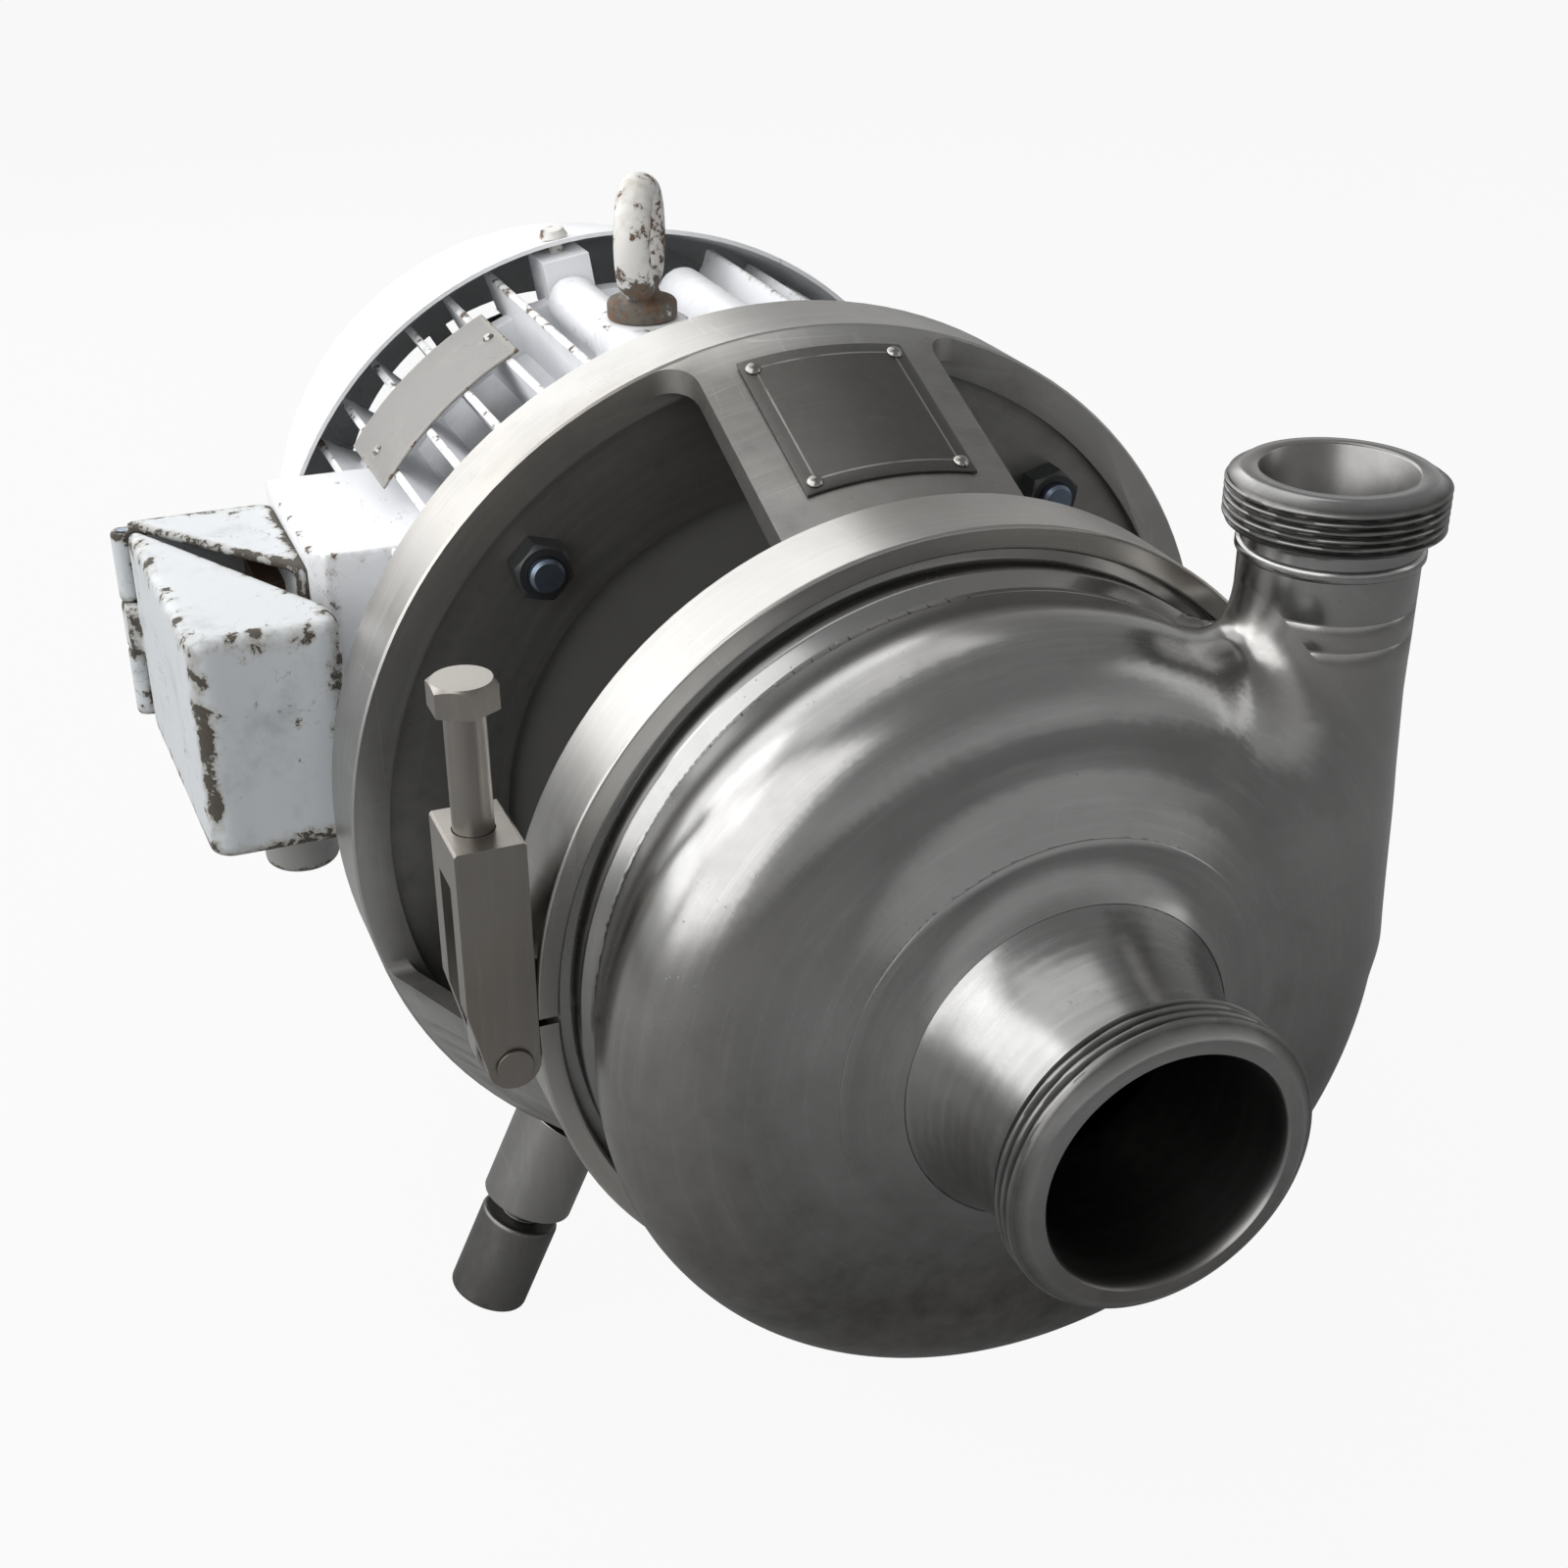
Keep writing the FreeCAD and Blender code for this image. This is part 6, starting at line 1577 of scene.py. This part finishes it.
    def discharge_port(self) -> bpy.types.Object:
        """Face, thread, bead and bore of the discharge port.

        Returns:
            The port.
        """
        top = self.outlet_top
        first, last = self.outlet_thread_span
        neck_r = self.outlet_r[1]
        bead_r, bead_low, bead_high = self.collar
        crest = self.outlet_thread_r
        profile = [(self.outlet_bore_r, self.outlet_taper_top), (self.outlet_bore_r, top - 1.0),
                   (self.outlet_bore_r + 0.9, top), (crest - 6.0, top),
                   (crest - 5.0, top - 0.7), (crest - 1.2, last + 0.9)]
        profile += [(crest, z) for z in np.linspace(last, first, 44)]
        profile += [(crest - 1.2, first - 1.0), (neck_r + 1.6, first - 1.6),
                    (neck_r + 0.4, first - 2.6), (neck_r + 0.1, first - 5.0)]
        profile += [(neck_r + 0.1, bead_high + 0.6), (bead_r - 0.5, bead_high),
                    (bead_r, bead_high - 0.9), (bead_r, bead_low + 0.9),
                    (bead_r - 0.5, bead_low), (neck_r + 0.1, bead_low - 0.6)]
        for line in self.outlet_lines:
            profile += [(neck_r + 0.12, line + 0.5), (neck_r - 0.2, line),
                        (neck_r + 0.12, line - 0.5)]
        profile += [(neck_r + 0.05, 128.0), (neck_r - 1.5, 122.0),
                    (self.outlet_bore_r + 2.0, self.outlet_taper_top)]
        rule = self.threaded(crest, self.outlet_thread_depth, self.outlet_thread_pitch,
                             self.outlet_thread_span)
        piece = lathe("discharge_port", profile, True, self.outlet, 160, rule)
        self.soiled_and_shaded(piece, crest, self.outlet_thread_depth, True)
        return crisp(piece, 50.0)

    def step_ring(self) -> bpy.types.Object:
        """Low turned step round the root of the suction neck.

        Returns:
            The step.
        """
        radius, y = self.step
        root = self.neck[2]
        profile = curve3((root[0] - 0.6, root[1] - 1.6), (root[0] + 8.3, y - 2.1),
                         (radius, y - 0.35), 8)
        profile += [(radius + 0.5, y), (radius + 0.6, y + 2.5), (root[0], y + 3.0)]
        return crisp(lathe("step_ring", profile, turns=160))

    def rim(self) -> bpy.types.Object:
        """Turned rim and flange at the back of the casing.

        Returns:
            The rim.
        """
        flange_r, front, rear = self.flange
        start, end = self.rim_span
        inner = self.shoulder[0] - 10.0
        profile = [(inner, start - 7.5), (self.shoulder[0] - 0.6, start - 7.5),
                   (self.shoulder[0], start - 7.3), (self.shoulder[0], start - 4.1),
                   (self.shoulder[0] + 0.4, start - 3.6), (self.rim_r - 0.7, start - 0.5),
                   (self.rim_r + 0.1, start + 0.8), (self.rim_r + 0.1, end - 1.5),
                   (flange_r - 0.7, front), (flange_r, front + 0.7), (flange_r, rear - 0.7),
                   (flange_r - 0.7, rear), (inner, rear)]
        return crisp(lathe("casing_rim", profile, turns=192))

    def add_bottom_shade(self, piece: bpy.types.Object) -> None:
        """Paint shade on a piece, darker towards the bottom of the casing.

        Args:
            piece: One of the casing's pieces.
        """
        top, depth = self.shade_span
        share = np.clip((top - places_of(piece)[:, 2]) / depth, 0.0, 1.0)
        raise_values(piece, "soil", self.painted_shade * share)

    def build(self) -> None:
        """Make the casing."""
        for piece in (self.skin(), self.inside(), self.suction_port(),
                      self.discharge_port(), self.step_ring(), self.rim()):
            self.add_bottom_shade(piece)
            self.shop.dressed(piece, "volute_casing")


@dataclass
class Closure:
    """Clamp ring with its link, bolt and pins."""

    shop: Workshop
    head_flats: float = 24.0
    head_height: float = 11.5
    head_low: float = 134.0
    shank_r: float = 8.0
    shank_low: float = 43.0
    place: Point2 = (-194.5, 190.0)

    def bolt(self) -> None:
        """Hexagon bolt with a plain shank."""
        high = self.head_low + self.head_height
        head = hexagon("bolt_head", self.head_flats, self.head_low, high, self.place, 0.0)
        shank = lathe("clamp_bolt_body", [
            (0.0, self.shank_low), (self.shank_r - 1.0, self.shank_low),
            (self.shank_r, self.shank_low + 1.0), (self.shank_r, self.head_low - 0.8),
            (self.shank_r + 0.9, self.head_low + 0.3), (0.0, self.head_low + 0.6),
        ], True, self.place, 64)
        for piece in (crisp(head, 20.0), crisp(shank)):
            self.shop.dressed(piece, "clamp_bolt")

    def build(self) -> None:
        """Make the closure."""
        for node in ("clamp_ring_upper", "clamp_ring_lower"):
            self.shop.turned_edges(node, 0.8)
        self.shop.turned_edges("clamp_link", 1.0, 3)
        self.shop.turned_edges("link_pin", 0.5)
        self.shop.turned_edges("bolt_pad", 0.6)
        self.shop.turned_edges("clamp_hinge_pin", 0.6)
        self.bolt()


def hexagon(name: str, flats: float, low: float, high: float, centre: Point2,
            bore: float, upright: bool = True) -> bpy.types.Object:
    """Hexagonal nut or head whose corners are turned off at its top.

    Args:
        name: Name of the piece.
        flats: Width over the flats in millimetres.
        low: Place of its seat along its axis.
        high: Place of its top.
        centre: Where its axis lies, as for a lathe.
        bore: Radius of its hole, or 0.
        upright: Whether its axis is upright.

    Returns:
        The piece.
    """
    inner = flats / 2.0
    toward = 1.0 if high > low else -1.0
    turns = 48
    crown, crown_in, crown_top = 1.9, 0.6, 0.35

    def corner_r(turn: np.ndarray) -> np.ndarray:
        """Radius of the hexagon in a direction."""
        return inner / np.cos((turn + math.pi / 6) % (math.pi / 3) - math.pi / 6)

    def radius_at(radius: np.ndarray, along: np.ndarray, turn: np.ndarray) -> np.ndarray:
        """Radius of each row, from the hole to the corners."""
        return np.where(radius >= inner, corner_r(turn) - (radius - inner), radius)

    shoulder = high - toward * crown
    profile = [(bore, low), (inner, low), (inner, shoulder), (inner - crown_in, high),
               (bore, high)]
    if bore > 0.0:
        profile.insert(0, (bore, (low + high) / 2.0))
    piece = lathe(name, profile, upright, centre, turns, radius_at)
    turned_off = math.tan(math.radians(30))
    axis = 2 if upright else 1
    for vertex in piece.data.vertices:
        spot = vertex.co / MM
        across = (spot.x - centre[0], (spot.y if upright else spot.z) - centre[1])
        radius = math.hypot(*across)
        if abs(spot[axis] - shoulder) < 0.01:
            spot[axis] = high - toward * (crown_top + (radius - inner + crown_in) * turned_off)
            vertex.co = spot * MM
    return piece


@dataclass
class Lantern:
    """Adaptor with its name plate, flange nuts and legs."""

    shop: Workshop
    # Painted shade that darkens the adaptor inside its outer rim, and the width over which it
    # fades in.
    painted_shade: float = 0.42
    shade_fade: Point2 = (1.5, 2.0)
    stud_circle: float = 175.0
    stud_count: int = 4
    stud_first: float = 45.0
    stud_r: float = 8.0
    nut_flats: float = 24.0
    plate_half: float = 38.0
    plate_span: Point2 = (241.0, 319.0)
    plate_x: float = 32.0
    plate_y: Point2 = (247.0, 313.0)
    cone: tuple[float, float, float] = (166.0, 208.5, 0.408)
    plate_lift: float = 1.32

    def nuts(self) -> None:
        """Studs and nuts of the motor flange, in a ring."""
        ring = Repeater.ring()
        nut_low, nut_high = (corner[1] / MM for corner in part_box("flange_nuts"))
        stud_low, stud_high = (corner[1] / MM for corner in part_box("flange_studs"))
        nut = crisp(hexagon("nut", self.nut_flats, nut_high, nut_low, (self.stud_circle, 0.0),
                            self.stud_r + 0.1, False), 20.0)
        stud = crisp(lathe("stud", [
            (0.0, stud_low), (self.stud_r - 1.6, stud_low), (self.stud_r - 0.2, stud_low + 1.5),
            (self.stud_r - 0.2, stud_high - 1.0), (0.0, stud_high - 1.0),
        ], False, (self.stud_circle, 0.0), 40))
        values = {"Count": self.stud_count, "First": math.radians(self.stud_first),
                  "Pitch": TAU / self.stud_count}
        for item, node in ((nut, "flange_nuts"), (stud, "flange_studs")):
            material = self.shop.finishes.for_slot(self.shop.slots[node])
            piece = ring.made(f"{node}_ring", item, material, **values)
            self.shop.dressed(piece, node)

    def on_plate(self, x: float, y: float, lift: float) -> tuple[float, float, float]:
        """Point at a height over the cone that carries the name plate."""
        radius = self.cone[0] + (y - self.cone[1]) * self.cone[2] + lift
        return (x, y, math.sqrt(radius ** 2 - x ** 2))

    def plate(self) -> None:
        """Bare name plate, bent over the cone."""
        half = self.plate_half
        low, high = self.plate_span
        across = np.linspace(-half, half, 25)
        along = np.linspace(low, high, 13)
        points = []
        for lift in (0.1, self.plate_lift - 0.05):
            points += [self.on_plate(x, y, lift) for y in along for x in across]
        layer = len(across) * len(along)
        faces = []
        for row in range(len(along) - 1):
            for column in range(len(across) - 1):
                first = row * len(across) + column
                face = [first, first + 1, first + 1 + len(across), first + len(across)]
                faces += [face, [corner + layer for corner in face]]
        rim = list(range(len(across)))
        rim += [row * len(across) + len(across) - 1 for row in range(1, len(along))]
        rim += [layer - 2 - i for i in range(len(across) - 1)]
        rim += [row * len(across) for row in range(len(along) - 2, 0, -1)]
        for index, corner in enumerate(rim):
            ahead = rim[(index + 1) % len(rim)]
            faces.append([corner, ahead, ahead + layer, corner + layer])
        piece = bevelled(solid("name_plate_sheet", points, faces), 0.3, 2, 50.0)
        self.shop.dressed(crisp(piece), "name_plate")

    def border(self) -> None:
        """Scribed line inside the name plate's edge."""
        half, depth, steps = 0.45, 0.5, 12
        low, high = self.plate_y
        middle = (low + high) / 2.0
        reach = (high - low) / 2.0
        corners = [(-self.plate_x, low), (self.plate_x, low), (self.plate_x, high),
                   (-self.plate_x, high)]
        points, faces = [], []
        for index, start in enumerate(corners):
            end = corners[(index + 1) % 4]
            for step in range(steps):
                share = step / steps
                x = start[0] + (end[0] - start[0]) * share
                y = start[1] + (end[1] - start[1]) * share
                inner = (x * (1 - half / self.plate_x), y + (middle - y) * half / reach)
                outer = (x * (1 + half / self.plate_x), y - (middle - y) * half / reach)
                points += [self.on_plate(*outer, self.plate_lift - depth),
                           self.on_plate(*outer, self.plate_lift),
                           self.on_plate(*inner, self.plate_lift),
                           self.on_plate(*inner, self.plate_lift - depth)]
        count = len(points)
        for base in range(0, count, 4):
            for side in range(4):
                ahead = (side + 1) % 4
                faces.append([base + side, (base + 4 + side) % count,
                              (base + 4 + ahead) % count, base + ahead])
        piece = solid("name_plate_line", points, faces)
        piece.data.materials.append(self.shop.finishes.material(Finishes.SCRIBED))
        self.shop.dressed(crisp(piece), "name_plate")

    def build(self) -> None:
        """Make the lantern."""
        adaptor = self.shop.turned_edges("adaptor", 1.2, 2, 28.0)
        # Painted shade: the adaptor is darkened everywhere but on its outer rim.
        radius = shaft_r(places_of(adaptor))
        start, run = self.shade_fade
        under_rim = np.clip((radius.max() - radius - start) / run, 0.0, 1.0)
        set_values(adaptor, "soil", self.painted_shade * under_rim)
        self.plate()
        self.shop.turned_edges("name_plate_screws", 0.2)
        self.border()
        self.nuts()
        for node in ("leg_bosses", "rear_leg_boss", "left_foot", "right_foot", "rear_foot"):
            self.shop.turned_edges(node, 1.0)


@dataclass
class Motor:
    """Painted motor: finned frame, cowl, eyebolt, rating plate and terminal box."""

    shop: Workshop
    frame_r: float = 152.0
    bore_r: float = 140.0
    fin_r: float = 190.0
    fin_radii: tuple[float, ...] = (148.0, 165.0, 178.0, 184.0, 187.5, 189.3)
    fin_round: float = 0.7
    fin_end: float = 0.7
    fin_wear: Point2 = (2.6, 0.6)
    root_half: float = 3.0
    tip_half: float = 2.0
    span: Point2 = (388.0, 592.0)
    fin_pitch: float = 8.0
    fin_runs: tuple[tuple[float, int], ...] = ((6.0, 9), (110.0, 6), (206.0, 20))
    boss_circle: float = 170.0
    boss_r: float = 14.0
    boss_angles: Point2 = (78.5, 99.5)
    tail: Point2 = (168.0, 630.0)
    boss_front: float = 404.0
    pad: tuple[float, float, float, float] = (-20.0, 497.0, 24.0, 181.6)
    pad_levels: tuple[float, float, float] = (138.0, 153.0, 157.0)
    pad_flare: float = 3.0
    saddle: tuple[Point2, ...] = ((-203.0, 463.6), (-195.0, 452.0), (-112.0, 452.0),
                                  (-112.0, 572.0), (-203.0, 572.0))
    saddle_span: Point2 = (-30.0, 97.0)
    leg_pad: tuple[float, float, float] = (46.0, 536.0, 584.0)
    leg_pad_top: float = -132.0
    flange_face: float = 353.5
    pad_margin: float = 4.0
    pad_cover: float = 1.6
    foot_rise: float = 15.0
    stud_half: float = 12.5
    shield_r: float = 199.0
    boss_root: Point2 = (142.0, 9.9)
    eye_turn: float = -9.0
    eye_angle: float = 71.4
    eye_collar: float = 193.0
    eye_widening: float = 0.28
    eye_blend: float = 8.0
    eye_rust: Point2 = (26.0, 0.8)

    def fin(self) -> bpy.types.Object:
        """One cooling fin on the +X side, with rounded edges.

        Returns:
            The fin.
        """
        low, high = self.span
        root, tip = self.root_half, self.tip_half
        side = [(r, root + (tip - root) * (r - self.frame_r) / (self.fin_r - self.frame_r))
                for r in self.fin_radii]
        section = [(r, -half) for r, half in side] + [(self.fin_r, -tip * 0.5),
                                                      (self.fin_r, tip * 0.5)]
        section += [(r, half) for r, half in reversed(side)]
        tail_r, end = self.tail
        corner = self.fin_round
        stations = [low, low + corner, low + 3.0, low + 7.0, low + 50.0, low + 102.0,
                    high - 50.0, high, high + 0.5, end - 3.0, end - corner, end]
        points = []
        for y in stations:
            at_end = y in (low, end)
            for radius, across in section:
                out = radius - (corner if at_end and radius > self.fin_r - 1.0 else 0.0)
                out = max(out, tail_r) if y > high else out
                points.append((out, y, across * (self.fin_end if at_end else 1.0)))
        width = len(section)
        faces = [list(range(width)), list(range(len(points) - width, len(points)))]
        for row in range(len(stations) - 1):
            for index in range(width):
                ahead = (index + 1) % width
                faces.append([row * width + index, row * width + ahead,
                              (row + 1) * width + ahead, (row + 1) * width + index])
        return crisp(solid("fin", points, faces), 50.0)

    def fins(self) -> None:
        """All cooling fins, in three runs round the frame."""
        ring = Repeater.ring()
        material = self.shop.finishes.for_slot(self.shop.slots["motor_frame"])
        for number, (first, count) in enumerate(self.fin_runs):
            piece = ring.made(f"fins_{number}", self.fin(), material, Count=count,
                              First=math.radians(first), Pitch=math.radians(self.fin_pitch))
            places = places_of(piece)
            half, front = self.leg_pad[:2]
            over_leg = ((np.abs(places[:, 0]) < half + self.pad_margin)
                        & (places[:, 1] > front))
            pad_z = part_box("rear_leg_boss")[1][2] / MM + self.pad_cover
            stud_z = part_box("rear_foot")[1][2] / MM + self.foot_rise
            lowest = np.where(np.abs(places[:, 0]) < self.stud_half, stud_z, pad_z)
            places[:, 2] = np.where(over_leg, np.maximum(places[:, 2], lowest), places[:, 2])
            move(piece, places)
            radius = shaft_r(places)
            ends = np.minimum(places[:, 1] - self.span[0], self.tail[1] - places[:, 1])
            reach, tip_wear = self.fin_wear
            wear = np.maximum(np.exp(-((self.fin_r - radius) / reach) ** 2) * tip_wear,
                              np.exp(-(ends / reach) ** 2))
            set_values(piece, "edge", wear)
            self.shop.dressed(piece, "motor_frame")

    def castings(self) -> bpy.types.Object:
        """Saddle, axial bosses and pads, sharp as drawn.

        Returns:
            The pieces as one.
        """
        high = self.span[1]
        x, y, radius, top = self.pad
        bottom, foot_top, flare_top = self.pad_levels
        foot_r = radius + self.pad_flare
        pieces = [
            prism("saddle", self.saddle, *self.saddle_span),
            lathe("eye_pad", [(0.0, bottom), (foot_r, bottom), (foot_r, foot_top),
                              (radius, flare_top), (radius, top), (0.0, top)], True, (x, y), 48),
        ]
        half, front, rear = self.leg_pad
        pad_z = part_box("rear_leg_boss")[1][2] / MM + 0.1
        pieces.append(prism("leg_pad", [(-half, front), (half, front), (half, rear),
                                        (-half, rear)], pad_z, self.leg_pad_top))
        root, half = self.boss_root
        for angle in self.boss_angles:
            turn = math.radians(angle)
            out = (math.cos(turn), math.sin(turn))
            centre = (self.boss_circle * out[0], self.boss_circle * out[1])
            pieces.append(lathe("boss", [(0.0, self.boss_front), (self.boss_r, self.boss_front),
                                         (self.boss_r, high), (0.0, high)], False, centre, 40))
            points = []
            for place in (self.boss_front, high):
                for radial, across in ((root, -half), (self.boss_circle, -half),
                                       (self.boss_circle, half), (root, half)):
                    points.append((radial * out[0] - across * out[1], place,
                                   radial * out[1] + across * out[0]))
            faces = [[0, 1, 2, 3], [4, 5, 6, 7]]
            faces += [[i, (i + 1) % 4, (i + 1) % 4 + 4, i + 4] for i in range(4)]
            pieces.append(solid("boss_root", points, faces))
        return joined("castings", pieces)

    def frame(self) -> None:
        """Barrel, fins and castings of the motor frame."""
        low, high = self.span
        barrel = lathe("motor_barrel", [(self.bore_r, low), (self.frame_r, low),
                                        (self.frame_r, high), (self.bore_r, high)])
        self.shop.dressed(crisp(barrel), "motor_frame")
        self.fins()
        piece = coated("motor_castings", self.castings(), 2.3, 4, 4.0, 0.6)
        self.shop.dressed(piece, "motor_frame")

    def eye(self) -> None:
        """Eyebolt: forged ring, turned a little more, and rusty towards its collar."""
        piece = self.shop.painted("eyebolt", 1.1, 4.0, self.eye_turn, self.pad[:2])
        places = places_of(piece)
        turn = math.radians(self.eye_angle + self.eye_turn)
        along = np.array((math.cos(turn), math.sin(turn)))
        across = np.array((-math.sin(turn), math.cos(turn)))
        out = places[:, :2] - np.array(self.pad[:2])
        share = np.clip((places[:, 2] - self.eye_collar) / self.eye_blend, 0.0, 1.0)
        wide = (out @ across) * (1.0 + self.eye_widening * share)
        places[:, :2] = (np.array(self.pad[:2]) + np.outer(out @ along, along)
                         + np.outer(wide, across))
        move(piece, places)
        depth, most = self.eye_rust
        rusty = np.clip((self.eye_collar + depth - places[:, 2]) / depth, 0.0, 1.0) * most
        raise_values(piece, "edge", rusty)

    def build(self) -> None:
        """Make the motor."""
        self.frame()
        self.shop.turned_edges("fan_cowl", 0.8)
        front = self.shop.turned_edges("front_end_shield", 1.0)
        places = places_of(front)
        turned = (places[:, 1] < self.flange_face) & (shaft_r(places) < self.shield_r)
        set_values(front, "bare", turned)
        self.shop.turned_edges("rear_end_shield", 1.0)
        screws = self.shop.turned_edges("cowl_screws", 0.3)
        screws.data.materials[0] = self.shop.finishes.material(Finishes.EYE)
        self.shop.turned_edges("rating_plate_rivets", 0.3)
        self.shop.painted("terminal_box_lid", 1.7, 6.0, rounds=9)
        self.shop.painted("terminal_box", 1.5, 4.5)
        self.eye()
        self.shop.painted("rating_plate", 0.75, 3.0)
        plug = self.shop.painted("box_plug", 1.2, 3.0, rounds=6)
        plug.data.materials[0] = self.shop.finishes.material(Finishes.PLUG)


# Studio

@dataclass(frozen=True)
class Lamp:
    """Soft rectangular lamp: name, place and size in metres, power in watts."""

    name: str
    place: tuple[float, float, float]
    size: Point2
    power: float

    def build(self, target: Sequence[float]) -> None:
        """Add the lamp to the scene.

        Args:
            target: The point that it faces.
        """
        data = bpy.data.lights.new(self.name, "AREA")
        data.shape = "RECTANGLE"
        data.size, data.size_y = self.size
        data.energy = self.power
        lamp = bpy.data.objects.new(self.name, data)
        aim = Vector(target) - Vector(self.place)
        lamp.location = self.place
        lamp.rotation_euler = aim.to_track_quat("-Z", "Y").to_euler()
        lamp.visible_camera = False
        bpy.context.scene.collection.objects.link(lamp)


@dataclass
class Studio:
    """Floor, lamps, world and the camera at the photograph's viewing angle."""

    floor_z: float
    azimuth: float = -23.1
    elevation: float = 27.8
    roll: float = 0.3
    place: tuple[float, float, float] = (-0.3495, -0.5012, 0.4674)
    lens: float = 48.80
    shift: Point2 = (-0.0214, 0.0045)
    sky: float = 0.32
    zenith: float = 0.35
    haze: Point2 = (0.12, 0.62)
    floor_grey: float = 0.32
    whiteness: float = 0.93
    mirrored: float = 0.05
    sky_mirrored: float = 0.40
    floor_half: float = 14.0
    middle: tuple[float, float, float] = (0.0, 0.25, 0.0)
    lamps: tuple[Lamp, ...] = (
        Lamp("top", (-0.45, 1.5, 2.4), (2.6, 2.0), 18.0),
        Lamp("left", (-1.89, -0.84, 1.45), (2.4, 2.5), 43.0),
        Lamp("rear_left", (-2.05, 1.2, 1.35), (2.2, 1.7), 33.0),
        Lamp("rear", (-0.6, 2.55, 1.1), (2.4, 1.6), 23.0),
        Lamp("right", (2.0, -0.6, 0.8), (0.6, 1.6), 3.0),
    )

    def camera(self) -> None:
        """Make the camera and set it as the scene's camera."""
        data = bpy.data.cameras.new("camera")
        data.lens = self.lens
        data.sensor_width = 36.0
        data.shift_x, data.shift_y = self.shift
        data.clip_start = 0.01
        data.clip_end = 100.0
        turn = math.radians(self.azimuth)
        tilt = math.radians(self.elevation)
        right = Vector((math.cos(turn), math.sin(turn), 0.0))
        back = Vector((math.sin(turn) * math.cos(tilt), -math.cos(turn) * math.cos(tilt),
                       math.sin(tilt)))
        up = back.cross(right)
        lean = math.radians(self.roll)
        right, up = (right * math.cos(lean) + up * math.sin(lean),
                     up * math.cos(lean) - right * math.sin(lean))
        rotation = Matrix((right, up, back)).transposed()
        camera = bpy.data.objects.new("camera", data)
        camera.matrix_world = Matrix.Translation(self.place) @ rotation.to_4x4()
        bpy.context.scene.collection.objects.link(camera)
        bpy.context.scene.camera = camera

    def world(self) -> None:
        """Give the scene its sky: white to the camera, a dim grey in mirrors and as light."""
        tree = ShaderTree("sky", True)
        way = tree.node("ShaderNodeTexCoord")["Generated"]
        height = tree.node("ShaderNodeSeparateXYZ", None, {0: way})["Z"]
        above = height.step(*self.haze)
        white = tree.mix(above, (1.0, 1.0, 1.0), (self.zenith,) * 3)
        colour = tree.mix(tree.seen(1.0, self.sky_mirrored), (self.sky,) * 3, white)
        light = tree.node("ShaderNodeBackground", None, {"Color": colour, "Strength": 1.0})
        tree.node("ShaderNodeOutputWorld", None, {"Surface": light["Background"]})
        bpy.context.scene.world = tree.owner

    def floor(self) -> None:
        """Lay a plain floor under the feet: pale to the camera, and darkened by the shadow."""
        size = self.floor_half
        mesh = bpy.data.meshes.new("floor")
        corners = [(-size, -size), (size, -size), (size, size), (-size, size)]
        mesh.from_pydata([(x, y, self.floor_z) for x, y in corners], [], [(0, 1, 2, 3)])
        tree = ShaderTree("floor")
        pale = tree.node("ShaderNodeBsdfDiffuse", None, {"Color": (self.floor_grey,) * 3})
        white = tree.node("ShaderNodeEmission", None, {"Color": (1.0, 1.0, 1.0)})
        both = tree.node("ShaderNodeMixShader", None,
                         {0: tree.seen(self.whiteness, self.mirrored), 1: pale["BSDF"],
                          2: white["Emission"]})
        tree.node("ShaderNodeOutputMaterial", None, {"Surface": both["Shader"]})
        mesh.materials.append(tree.owner)
        floor = bpy.data.objects.new("floor", mesh)
        bpy.context.scene.collection.objects.link(floor)

    def build(self) -> None:
        """Make the whole studio."""
        bpy.context.scene.view_settings.view_transform = "Standard"
        self.camera()
        self.world()
        self.floor()
        for lamp in self.lamps:
            lamp.build(self.middle)


def main() -> None:
    """Build the pump and its studio."""
    logging.basicConfig(level=logging.INFO, format="%(message)s")
    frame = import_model()
    finishes = Finishes()
    slots = {row["node"]: row["material_slot"] for row in frame["record"]["subparts"]}
    for name, node in frame["nodes"].items():
        node.data.materials.clear()
        node.data.materials.append(finishes.for_slot(slots[name]))
    bodies = {node: body for body, nodes in frame["record"]["behaviour"]["bodies"].items()
              for node in nodes}
    shop = Workshop(frame["nodes"], slots, finishes, bodies)
    for assembly in (Casing(shop), Closure(shop), Lantern(shop), Motor(shop)):
        assembly.build()
        log.info("%s built", type(assembly).__name__)
    floor_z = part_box("rear_foot")[0][2]
    Studio(floor_z).build()


if __name__ == "__main__":
    main()
